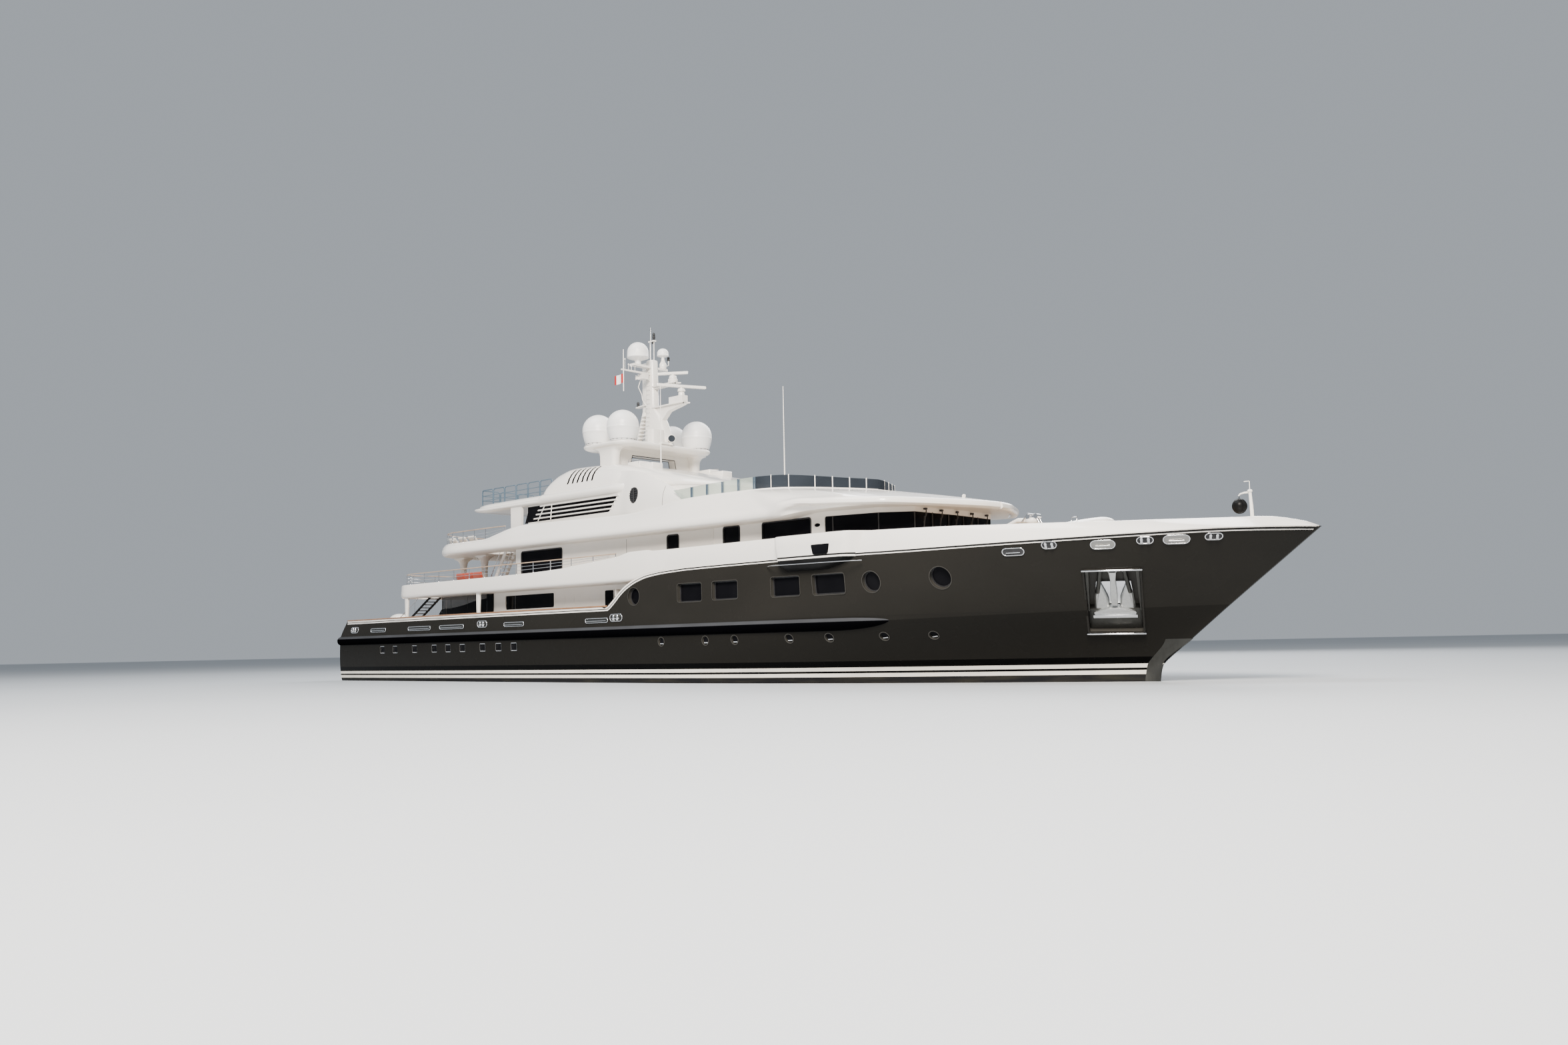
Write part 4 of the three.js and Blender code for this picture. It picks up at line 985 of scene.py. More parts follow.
# Painted lines along the sheer: finish, then depth below it and width, each abaft the sweep and forward of it
SHEER_LINES = (
    ("sheer_line_upper", "white", (0.06, 0.016), (0.1, 0.016)),
    ("sheer_line_middle", "trim_black", (0.135, 0.058), (0.045, 0.068)),
    ("sheer_line_lower", "white", (0.2, 0.122), (0.08, 0.06)),
)

# Rubbing strake: where it ends, how long its tip is, and its section as depth below the knuckle and reach
STRAKE_TIP, STRAKE_FADE, STRAKE_LEVEL, STRAKE_MIDDLE, STRAKE_REACH = 20.8, 3.2, 3.25, -0.13, 0.24
STRAKE_OUTSIDE = [
    (0.06, 0.0), (0.06, 0.03), (-0.03, 0.15), (-0.08, 0.19), (-0.15, 0.235), (-0.24, 0.24), (-0.35, 0.225),
    (-0.44, 0.18), (-0.52, 0.1), (-0.57, 0.0),
]
STRAKE_INSIDE = (-0.54, -0.2, 0.1)


def rub_ring(station, reach):
    """Section of the rubbing strake: a sloping top, a round nose and a tucked-in foot."""
    past = clamp(1 - (STRAKE_TIP - station) / STRAKE_FADE)
    fade = math.sqrt(max(1 - past * past, 0.0025))
    below, knuckle, above = [line_point(HULL_LINES[i], station) for i in (KNUCKLE - 1, KNUCKLE, KNUCKLE + 1)]

    def on_side(depth, out):
        z = STRAKE_LEVEL + STRAKE_MIDDLE + (depth - STRAKE_MIDDLE) * fade
        low, high = (below, knuckle) if z < STRAKE_LEVEL else (knuckle, above)
        base = low.lerp(high, (z - low.z) / (high.z - low.z))
        return base.x, base.y + out, z

    outside = [on_side(depth, 0.012 + out * fade * reach / STRAKE_REACH) for depth, out in STRAKE_OUTSIDE]
    return outside + [on_side(depth, -0.12 * fade) for depth in STRAKE_INSIDE]


class YachtHullFittings(YachtOperator):
    """Adds the rubbing strakes, cap rail, painted lines, window glass, ports and fairleads"""

    bl_idname = "yacht.hull_fittings"
    bl_label = "Hull Fittings"

    def execute(self, context):
        sizes = context.scene.yacht_hull
        self.side = HullSide([hull_section(s) for s in hull_stations(sizes.stations)])
        self.add_strakes(sizes.rub_reach)
        self.add_cap(sizes.cap_width)
        self.add_lines()
        self.add_glass(sizes.reveal)
        self.add_leads()
        self.add_stem_guard()
        return {"FINISHED"}

    @staticmethod
    def add_strakes(reach):
        stations = spread(AFT_END, STRAKE_TIP - STRAKE_FADE, 70) + spread(17.8, STRAKE_TIP - 0.01, 22)
        port = Form().add(loft([rub_ring(s, reach) for s in stations]))
        for name, form in (("port", port), ("starboard", port.starboard())):
            make(f"rubbing_strake_{name}", form, use("rub"), nodes=(f"rub_rail_{name}",),
                 sharp=50)

    @staticmethod
    def add_cap(width):
        """Cap rail on the bulwark, round the stern and up to the foot of the sweep."""
        outer, inner, ease = 0.05, width - 0.05, 0.03
        low, high = AFT_SHEER - 0.01, AFT_SHEER + 0.09
        rows = []
        for x in spread(AFT_END + 0.05, SWEEP_FROM - 0.02, 60):
            b = sheer_half(x)
            rows.append([(x, b - inner, low), (x, b + outer - ease, low), (x, b + outer, low + ease),
                         (x, b + outer, high - ease), (x, b + outer - ease, high),
                         (x, b - inner + ease, high),
                         (x, b - inner, high - ease)])
        form = Form().add(loft(rows)).both_sides()
        stern = sheer_half(AFT_END) - inner + 0.02
        form.add(block(AFT_END - 0.04, WELL_AFT + 0.05, -stern, stern, low, high))
        make("bulwark_cap_rail", form, use("varnish"), edge=0.01)

    def add_lines(self):
        """Painted lines that follow the sheer and its sweep."""
        for name, finish, depths, widths in SHEER_LINES:
            path, ups, outs = [], [], []
            end = FORE_END - 0.1 - 1.4 * depths[1]
            stations = spread(AFT_END + 0.1, SWEEP_FROM, 40) + spread(SWEEP_FROM, SWEEP_TO, 40)[1:]
            stations += spread(SWEEP_TO, end, 80)[1:]
            curve = [Vector((x, 0, SHEER_SWEEP(x))) for x in stations]
            for i, spot in enumerate(curve):
                run = (curve[min(i + 1, len(curve) - 1)] - curve[max(i - 1, 0)]).normalized()
                up = Vector((-run.z, 0, run.x))
                fore = clamp((spot.x - 0.5) / 3)
                here = spot - up * mix(*depths, fore)
                hit, out = self.side.spot(here.x, here.z)
                path.append(hit - out * 0.006)
                ups.append(up * mix(*widths, fore))
                outs.append(out)
            form = Form().add(ribbon(path, ups, 1.0, 0.02, outs)).both_sides()
            make(name, form, use(finish))

    def add_glass(self, reveal):
        glass, frames = Form(), Form()
        for x, z, outline in hull_panes():
            basis = self.side.basis(x, z)
            glass.add(outline_part(basis, shrunk(outline, 0.05), -reveal - 0.02, -reveal + 0.03))
            rubber = opening_ring(shrunk(outline, -0.01), shrunk(outline, 0.06), -reveal, -reveal + 0.05)
            frames.add(placed(rubber, basis), 1)
            # The lip takes the lighter reveal finish: painted highlight on the window's edge
            lip = opening_ring(shrunk(outline, -0.035), shrunk(outline, 0.0), -0.03, 0.012)
            frames.add(placed(lip, basis), 0)
        for x, z, outline in round_ports():
            basis = self.side.basis(x, z)
            up, out = basis.col[1].xyz, basis.col[2].xyz
            glass.add(outline_part(basis, shrunk(outline, 0.05), -SMALL_REVEAL - 0.02, -SMALL_REVEAL + 0.02))
            # The rim takes the lighter reveal finish: painted highlight
            rim = opening_ring(shrunk(outline, -0.03), shrunk(outline, 0.01), -0.02, 0.015)
            frames.add(placed(rim, basis), 0)
            sill = [basis @ Vector((u, -0.12, -0.09)) for u in (-0.14, 0.14)]
            frames.add(ribbon(sill, [up] * 2, 0.05, 0.05, [out] * 2), 2)
        for x, z, outline in square_ports():
            basis = self.side.basis(x, z)
            glass.add(outline_part(basis, shrunk(outline, 0.05), -SMALL_REVEAL - 0.02, -SMALL_REVEAL + 0.01))
            rim = opening_ring(shrunk(outline, -0.01), shrunk(outline, 0.035), -SMALL_REVEAL, -0.02)
            frames.add(placed(rim, basis), 2)
        make("hull_window_glass", glass.both_sides(), use("glass"))
        make("hull_window_frames", frames.both_sides(), use("reveal", "rubber", "steel"),
             sharp=40)

    def add_leads(self):
        """Fairleads: slots with a rolled steel edge, some with rollers, some with a polished pan. The side
        isn't cut at them: a dark plate on the side fills each opening that has no pan, painted shade for the
        hole.
        """
        steel, dark = Form(), Form()
        for x, z, length, tall, kind in SLOTS + AFT_ROLLERS + BOW_LEADS:
            basis = self.side.basis(x, z, level=True)
            outline = rounded_rect(length, tall, tall / 2 - 0.001, 8)
            rim = [tuple(basis @ Vector((u, v, 0.02))) for u, v in outline]
            steel.add(tube(rim, 0.03, 8, looped=True))
            # A dark fill stands where the opening would show through the bulwark: painted shade
            fill = {"slot": 2, "aft_rollers": 2, "pan": 1}.get(kind, 0)
            dark.add(outline_part(basis, shrunk(outline, 0.01), -0.02, 0.012), fill)
            if kind != "rollers":
                half = length / 2 - tall / 2
                bar = [basis @ Vector((u, -0.1 * tall, 0.05)) for u in (-half, half)]
                steel.add(tube(bar, 0.026, 8))
            if "rollers" in kind:
                for u in (-0.4 * tall, 0.4 * tall):
                    ends = [basis @ Vector((u, share * tall, 0.05)) for share in (-0.4, -0.25, 0, 0.25, 0.4)]
                    steel.add(tube(ends, [share * tall for share in (0.13, 0.22, 0.17, 0.22, 0.13)], 14))
        make("fairlead_rims", steel.both_sides(), use("steel"), sharp=50)
        make("fairlead_pans_and_shaded_openings", dark.both_sides(), use("rubber", "dull_steel", "dark_steel"),
             sharp=50)

    def add_stem_guard(self):
        """Worn plate up the stem, from below the waterline to under the anchors."""
        levels = spread(-0.35, 1.95, 24)
        rings = []
        for z in levels:
            fore = self.stem_x(z)
            back = 0.62 + 0.4 * clamp((z - 1.0) / 0.95) ** 1.6
            outer = []
            for x in (fore + 0.05, fore + 0.02, fore - 0.1, fore - 0.25, fore - 0.45, fore - back):
                y = STEM_HALF + 0.02 if x > fore - 0.02 else self.side.spot(x, z)[0].y + 0.02
                outer.append((x, y, z))
            outer[0] = (fore + 0.05, 0.02, z)
            rings.append(outer + [(x, -y, z) for x, y, z in reversed(outer)])
        make("stem_guard_plate", Form().add(loft(rings)), use("dark_steel"), sharp=30)

    @staticmethod
    def stem_x(z):
        """How far forward the stem reaches at a height."""
        knots = [(line[1], line[3]) for line in HULL_LINES if line[0] == LEVEL]
        return Curve([(-1.06, 28.1)] + knots)(z)


class YachtAnchors(YachtOperator):
    """Lines the anchor pockets and stows the two anchors in them"""

    bl_idname = "yacht.anchors"
    bl_label = "Anchors"

    def execute(self, context):
        basis = pocket_basis()
        frame_form, plates, anchor = Form(), Form(), Form()
        opening = rounded_rect(POCKET_WIDE, POCKET_TALL, 0.08, 3)
        rim = opening_ring(shrunk(opening, -0.09), shrunk(opening, 0.0), -0.06, 0.06)
        frame_form.add(placed(rim, basis), 0)
        for v in (POCKET_TALL / 2 + 0.05, -POCKET_TALL / 2 - 0.05):
            half = POCKET_WIDE / 2 + 0.12
            lip = [basis @ Vector((u, v, 0.08)) for u in (-half, half)]
            frame_form.add(tube(lip, 0.045, 12), 1)
        back = -POCKET_DEEP + 0.01
        lower = [(-1.18, -1.78), (1.18, -1.78), (1.18, -0.62), (-1.18, -0.62)]
        plates.add(outline_part(basis, lower, back, back + 0.34), 1)
        bright = [(-0.95, -0.98), (0.95, -0.98), (0.76, 0.8), (-0.76, 0.8)]
        plates.add(outline_part(basis, bright, back, back + 0.12), 0)
        apron = loft([[(u, v, w) for u, w in ((-0.98, 0.34), (0.98, 0.34), (0.98, 0.52), (-0.98, 0.52))]
                      for v in (-1.02, -0.86)])
        plates.add(placed(moved(apron, z=back), basis), 0)
        for side in (1, -1):
            cheek = [(side * 1.19, -0.6), (side * 1.12, -0.6), (side * 1.02, 1.7), (side * 1.19, 1.7)]
            plates.add(outline_part(basis, cheek, back, -0.08), 1)
            flute = [basis @ Vector((side * mix(0.72, 0.5, t), mix(0.3, 1.7, t), back + 0.3)) for t in (0, 1)]
            plates.add(tube(flute, 0.1, 12), 1)
        self.add_anchor(anchor, basis, back)
        for name, form in (("port", anchor), ("starboard", anchor.starboard())):
            make(f"stowed_anchor_{name}", form, use("galvanised"),
                 nodes=(f"anchor_{name}",), edge=0.02)
        make("anchor_pocket_frames", frame_form.both_sides(), use("hull_part", "bright"),
             edge=0.015)
        make("anchor_pocket_plates", plates.both_sides(), use("bright", "dark_steel"),
             edge=0.01)
        return {"FINISHED"}

    @staticmethod
    def add_anchor(anchor, basis, back):
        shank = [(0.13, -0.35, 0.36), (0.16, 0.2, 0.34), (0.12, 1.0, 0.3), (0.17, 1.5, 0.3)]
        rings = []
        for half, v, w in shank:
            ring = softened([(-half, -0.1), (half, -0.1), (half, 0.1), (-half, 0.1)], 0.05, 2)
            rings.append([(u, v, back + w + t) for u, t in ring])
        anchor.add(placed(loft(rings), basis))
        crown = [(-0.95, -0.72), (-0.2, -0.5), (0.2, -0.5), (0.95, -0.72), (0.9, -0.9), (-0.9, -0.9)]
        anchor.add(outline_part(basis, softened(crown, 0.1, 3), back + 0.16, back + 0.46))
        for side in (1, -1):
            outline = [(0.24, -0.66), (0.9, -0.74), (0.86, 0.15), (0.62, 0.88), (0.4, 0.3), (0.27, -0.1)]
            rings = []
            for grow, w in ((0.06, 0.14), (0.0, 0.2), (0.0, 0.26), (0.08, 0.31)):
                ring = shrunk([(side * u, v) for u, v in softened(outline, 0.12, 3)], grow)
                rings.append([(u, v, back + w) for u, v in ring])
            anchor.add(placed(loft(rings), basis))
        eye = [basis @ Vector((0.17 * math.cos(a), 1.55 + 0.17 * math.sin(a), back + 0.3))
               for a in spread(0, 6.0, 18)]
        anchor.add(tube(eye, 0.045, 8, looped=True))


class YachtDeckSizes(bpy.types.PropertyGroup):
    """Sizes shared by the decks and deckhouses, in metres of the ship."""

    lip: FloatProperty(
        name="Edge roll", description="Radius of the rolled lower edge of the deck bands", unit="LENGTH",
        default=0.16, min=0.05, max=0.2,
    )
    coaming: FloatProperty(
        name="Bulwark thickness", description="Thickness of the white bulwarks", unit="LENGTH",
        default=0.22, min=0.1, max=0.25,
    )
    corner: FloatProperty(
        name="Window corner", description="Corner radius of the deckhouse windows", unit="LENGTH",
        default=0.14, min=0.05, max=0.3,
    )
    pane_inset: FloatProperty(
        name="Pane inset", description="How far the panes sit inside the walls", unit="LENGTH",
        default=0.06, min=0.02, max=0.1,
    )


# Bow bulwark: its top edge in plan and in height
BULWARK_TOP_HALF = Curve([
    (2, 6.9), (12, 6.85), (17, 6.75), (20.3, 6.45), (24.2, 5.8), (26.4, 5.2), (29.2, 3.9), (31.5, 2.3),
    (32.6, 1.55), (33.7, 0.98),
    (34.3, 0.7), (35, 0.4), (35.4, 0.2), (35.72, 0.05),
])
BULWARK_TOP_Z = Curve([(2, 7.56), (12, 7.6), (20, 7.45), (24.2, 7.3), (29, 7.18), (33.7, 7.17), (34.3, 7.1),
                       (35, 6.94), (35.4, 6.8),
                       (35.72, 6.66)])
BULWARK_LEAN = Curve([(2, 2), (31.5, 29.49), (33.2, 31.35), (34.4, 33.05), (35.1, 34.35), (35.5, 35.1),
                      (35.8, 35.72)])

# Upper deck
UPPER_HALF = Curve([
    (-27.3, 5.5), (-27.26, 5.95), (-27.12, 6.3), (-26.85, 6.52), (-26, 6.72), (-18, 6.8), (-5, 6.9),
    (2, 6.93),
])
UPPER_TOP = Curve([
    (-27.3, 6.83), (-26, 6.85), (-18, 6.88), (-12, 6.91), (-8, 7.01), (-6.3, 7.13), (-3.7, 7.31),
    (-2.4, 7.42),
    (-1.2, 7.62), (0.3, 7.64), (0.74, 7.57), (2, 7.56),
])
STAIRWELLS = ((-27.05, -23.9, 4.55, 5.6, 5.0, 7.0), (-18.6, -16.1, 3.8, 4.9, 8.0, 9.5))

# Sun deck: plan of its lower edge and of its coaming's top, and the coaming's height
SUN_LOW_HALF = Curve([
    (-24.3, 2.2), (-24.22, 3.0), (-24, 3.9), (-23.3, 5.2), (-22.4, 6.0), (-21.2, 6.4), (-20, 6.5), (7, 6.5),
    (9.5, 6.65),
    (11, 6.9), (14.3, 6.9), (16.8, 6.15), (18.1, 4.6), (19.2, 2.5), (19.75, 1.2), (19.95, 0.1),
])
SUN_TOP_HALF = Curve([
    (-24.15, 2.1), (-24.07, 2.9), (-23.85, 3.8), (-23.15, 5.05), (-22.3, 5.8), (-21.1, 6.15), (-17, 6.2),
    (-14, 6.1),
    (-12, 5.9), (0, 5.8), (2, 5.83), (5, 5.7), (7.5, 5.55), (8.8, 5.2), (9.6, 4.6), (10.4, 3.6), (10.9, 2.7),
    (11.4, 1.7),
    (11.8, 0.8), (12, 0.1),
])
SUN_TOP_Z = Curve([
    (-24.2, 9.5), (-17, 9.53), (-15.7, 9.75), (-14, 10.07), (-12.5, 10.2), (-3, 10.05), (0, 10.25),
    (2.2, 10.5),
    (5, 10.56), (12, 10.56),
])
SUN_LEAN = Curve([
    (-24.3, -24.15), (-24, -23.85), (-23.3, -23.15), (-22.4, -22.3), (-20.6, -20.6), (2.2, 2.2), (7, 5),
    (9.5, 6.8), (11, 7.7),
    (13, 8.8), (14.8, 9.6), (16.8, 10.4), (18.1, 10.9), (19.2, 11.4), (19.75, 11.8), (19.95, 12),
])
SUN_WELL = (-23.8, 11.3)
# Height of the deck's lower edge, which steps up where the brow begins
SUN_EDGE_Z = Curve([
    (-24.3, 8.95), (9.4, 8.95), (10.1, 9.03), (10.8, 9.2), (11.6, 9.2), (13.2, 9.08), (15, 8.97), (17, 8.87),
    (19.95, 8.75),
])

# Deckhouses, as plan outlines of the port half from aft to fore
SALOON_HALF = [(-18.0, 4.4), (-17.8, 4.9), (-17.35, 5.2), (-3.32, 5.2)]
UPPER_HOUSE_HALF = [(-15.6, 4.2), (-15.3, 4.8), (-14.7, 5.25), (12.4, 5.25), (15.5, 4.6), (17.0, 3.5),
                    (17.15, 0.6)]
SALOON_WINDOW = (-15.95, -10.55, 4.7, 5.7)
UPPER_WINDOWS = [
    (-14.05, -9.7, 7.06, 8.5), (0.28, 1.27, 7.35, 8.55), (4.96, 6.24, 7.5, 8.67), (7.98, 11.5, 7.5, 8.67),
]
BRIDGE_SILL, BRIDGE_HEAD, BRIDGE_FROM = 7.45, 8.66, 12.45
OVAL_PORT = (11.94, 8.25, 0.42, 0.2)

# Sun-deck house and hardtop
SUN_HOUSE_HALF = Curve([(-13.7, 4.7), (-13.5, 5.1), (-2, 5.2), (0.5, 5.0), (3, 4.3), (5, 3.0), (6.2, 1.2),
                        (6.4, 0.1)])
ROOF_UNDER_Z = Curve([(-20.7, 11.72), (-18, ROOF_UNDER), (0, ROOF_UNDER), (6.3, 10.95)])
ROOF_CREST = Curve([
    (-20.7, 12.16), (-20, 12.28), (-12.15, 12.32), (-12.05, 12.5), (-11.8, 12.95), (-11.4, 13.32),
    (-10.8, 13.6), (-9.8, 13.78),
    (-6, 13.62), (-3, 13.1), (0, 12.4), (3, 11.75), (6.3, 11.2), (6.6, 11.15),
])
ROOF_HALF = Curve([
    (-20.7, 3.7), (-20.62, 4.1), (-20.4, 4.5), (-19.8, 5.05), (-18.5, 5.35), (-13, 5.45), (-5, 5.45),
    (-3.5, 5.25), (0.5, 5.05),
    (3, 4.4), (5, 3.1), (6.3, 1.3), (6.6, 0.2),
])


def both(half):
    """Closed plan outline from its port half."""
    return [(x, -b) for x, b in half] + [(x, b) for x, b in reversed(half)]


# Thickness of the deckhouse walls
WALL = 0.16


def walls(half, thick, z0, z1, ease=0.25):
    """Wall shell round a plan outline."""
    outer = softened(both(half), ease)
    return opening_ring(outer, shrunk(outer, thick), z0, z1)


def side_opening(x0, x1, z0, z1, corner, y0=-8.0, y1=8.0):
    """Rounded opening in the x and z plane, carried through from y0 to y1."""
    outline = rounded_rect(x1 - x0, z1 - z0, corner)
    middle = ((x0 + x1) / 2, (z0 + z1) / 2)
    return side_slab([(middle[0] + u, middle[1] + v) for u, v in outline], y0, y1)


def side_frame(x0, x1, z0, z1, corner, y0, y1, wide=0.05, over=0.03):
    """Frame round a side opening, from y0 to y1."""
    outline = rounded_rect(x1 - x0, z1 - z0, corner)
    middle = ((x0 + x1) / 2, (z0 + z1) / 2)
    rings = [(shrunk(outline, -over), y0), (shrunk(outline, -over), y1), (shrunk(outline, wide), y1),
             (shrunk(outline, wide), y0)]
    return loft([[(middle[0] + u, y, middle[1] + v) for u, v in ring] for ring, y in rings], looped=True)


def corner_arc(start, corner, end, steps=4):
    """Curve from start to end that a corner pulls on."""
    a, b, c = Vector(start), Vector(corner), Vector(end)
    points = []
    for i in range(steps + 1):
        t = i / steps
        points.append(tuple(a * (1 - t) ** 2 + b * 2 * t * (1 - t) + c * t * t))
    return points


def deck_faces(part, level, low_slot=0, deck_slot=1):
    """Slots for a deck's faces: flat faces at the deck's level take deck_slot."""
    points, faces = part
    slots = []
    for face in faces:
        flat = len(face) == 4 and all(abs(points[k][2] - level) < 1e-4 for k in face)
        slots.append(deck_slot if flat else low_slot)
    return slots


class YachtBowBulwark(YachtOperator):
    """Builds the white bulwark round the foredeck, with the gear that shows above it"""

    bl_idname = "yacht.bow_bulwark"
    bl_label = "Bow Bulwark"

    def execute(self, context):
        thick = context.scene.yacht_decks.coaming
        form = Form().add(loft([self.section(x, thick) for x in spread(2.0, 35.8, 120)])).both_sides()
        nose = [(x, BULWARK_TOP_HALF(x) - 0.04, BULWARK_TOP_Z(x)) for x in spread(32.2, 35.7, 16)]
        form.add(loft([[(x, -b, z - 0.15), (x, b, z - 0.15), (x, b, z - 0.03), (x, -b, z - 0.03)] for x, b,
                       z in nose]))
        make("bow_bulwark_skin", form, use("white"), nodes=("bow_bulwark",), sharp=40)
        self.add_gear()
        self.add_staff()
        return {"FINISHED"}

    @staticmethod
    def section(x, thick):
        top_x = BULWARK_LEAN(x)
        low = Vector((x, sheer_half(x) + 0.004, SHEER_SWEEP(x) - 0.02))
        high = Vector((top_x, BULWARK_TOP_HALF(top_x), BULWARK_TOP_Z(top_x)))
        thick = min(thick, max(high.y - 0.02, 0.01), max(low.y - 0.02, 0.01))
        outer = []
        for t in (0, 0.25, 0.5, 0.75, 0.93):
            spot = low.lerp(high, t)
            spot.y += 0.05 * math.sin(math.pi * t)
            outer.append(tuple(spot))
        shoulder = high + Vector((0, -0.03, 0))
        top = high.z + 0.01
        cap = corner_arc(outer[-1], (high.x, high.y + 0.02, top), (high.x, high.y - thick / 2, top), 3)
        inner_top = (high.x, shoulder.y - thick + 0.03, high.z - 0.05)
        inner_low = (x, max(low.y - thick, 0.01), low.z)
        return outer + cap[1:] + [inner_top, inner_low]

    @staticmethod
    def add_gear():
        """Windlasses, bollards, hatch and small crane on the foredeck."""
        steel, white = Form(), Form()
        deck, y = 6.52, 1.35
        capstan = [
            (0.42, 0), (0.42, 0.08), (0.3, 0.12), (0.26, 0.3), (0.34, 0.5), (0.36, 0.58), (0.2, 0.64),
            (0.02, 0.66),
        ]
        steel.add(lathe(capstan, (27.2, y, deck)))
        drum = [(0.2, -0.35), (0.26, -0.3), (0.2, -0.1), (0.26, 0.3), (0.2, 0.35)]
        steel.add(lathe(drum, (26.7, y, deck + 0.35), (0, 1, 0)))
        white.add(block(26.5, 27.2, y - 0.3, y + 0.3, deck - 0.1, deck + 0.3))
        bollard = [(0.1, 0), (0.09, 0.32), (0.14, 0.36), (0.14, 0.42), (0.02, 0.44)]
        for x, y in ((24.3, 3.6), (28.9, 2.3), (20.5, 5.0), (31.0, 1.1)):
            for dx in (-0.22, 0.22):
                steel.add(lathe(bollard, (x + dx, y, deck - 0.02), sides=16))
            steel.add(block(x - 0.42, x + 0.42, y - 0.16, y + 0.16, deck - 0.06, deck + 0.03))
        steel.both_sides()
        white.both_sides()
        # The rounded housing amidships: x, height, half width
        hump = [
            (21.2, 0.05, 0.4), (21.8, 0.5, 1.1), (22.8, 1.0, 1.35), (23.8, 1.24, 1.35), (25.6, 1.34, 1.15),
            (26.0, 1.26, 1.0), (26.25, 0.9, 0.9), (26.35, 0.3, 0.8),
        ]
        rings = []
        tall, wide = Curve([(x, h) for x, h, _ in hump]), Curve([(x, w) for x, _, w in hump])
        for x in spread(21.2, 26.35, 30):
            ring = [(x, wide(x) * math.cos(a), deck - 0.1 + (tall(x) + 0.1) * max(math.sin(a), 0) ** 0.6)
                    for a in spread(0, math.pi, 17)]
            rings.append(ring)
        white.add(loft(rings))
        y = -2.3
        white.add(lathe([(0.34, 0), (0.28, 0.1), (0.24, 1.05), (0.32, 1.15), (0.32, 1.3), (0.1, 1.34)],
                        (23.1, y, deck)))
        white.add(tube([(23.2, y, deck + 1.22), (22.3, y + 0.05, deck + 1.3), (21.4, y + 0.1, deck + 1.02)],
                       [0.15, 0.12, 0.08], 12))
        for dy in (-0.12, 0.12):
            steel.add(tube([(23.55, y + dy, deck + 1.1), (23.35, y + dy, deck + 1.5),
                            (22.95, y + dy, deck + 1.56), (22.6, y + dy, deck + 1.2)],
                           0.045))
        for x in (23.4, 22.95):
            steel.add(lathe([(0.12, -0.17), (0.12, 0.17)], (x, y, deck + 1.42), (0, 1, 0), 18))
        steel.add(tube([(24.2, -0.5, deck + 1.2), (24.2, -0.45, deck + 1.42), (24.5, -0.45, deck + 1.42),
                        (24.5, -0.5, deck + 1.2)], 0.03))
        for y in (2.0, -2.0):
            steel.add(tube([(23.9, y, deck), (23.9, y, deck + 0.95), (24.2, y, deck + 1.02)], 0.05))
        make("foredeck_machinery", steel, use("steel"), sharp=50)
        make("foredeck_casings", white, use("white"), edge=0.04)

    @staticmethod
    def add_staff():
        form = Form()
        form.add(tube([(32.9, 0, 7.1), (32.88, 0, 7.8), (32.85, 0, 8.4)], [0.085, 0.08, 0.065], 14), 0)
        form.add(lathe([(0.085, 0), (0.11, 0.03), (0.11, 0.1), (0.03, 0.13)], (32.85, 0, 8.36)), 0)
        form.add(tube([(32.86, 0, 8.36), (32.6, 0, 8.36), (32.4, 0, 8.32), (32.33, 0, 8.24)],
                      [0.05, 0.045, 0.035, 0.03], 10), 0)
        form.add(tube([(32.85, 0, 8.45), (32.85, 0, 8.85), (32.83, 0, 8.86), (32.6, 0, 8.86)], 0.016, 6), 0)
        form.add(tube([(32.35, 0, 8.28), (32.35, 0, 8.05)], 0.015, 6), 1)
        x, z, reach = 32.35, 7.78, 0.335
        form.add(ball((x, 0, z), 0.33, 36, 20), 1)
        for a in (0, 45, 90, 135):
            along_x, along_y = math.cos(math.radians(a)), math.sin(math.radians(a))
            seam = []
            for t in spread(0, 2 * math.pi, 33)[:-1]:
                seam.append((x + reach * math.cos(t) * along_x, reach * math.cos(t) * along_y,
                             z + reach * math.sin(t)))
            form.add(tube(seam, 0.008, 5, looped=True), 1)
        make("bow_staff_and_ball", form, use("white", "trim_black"), nodes=("bow_staff",))


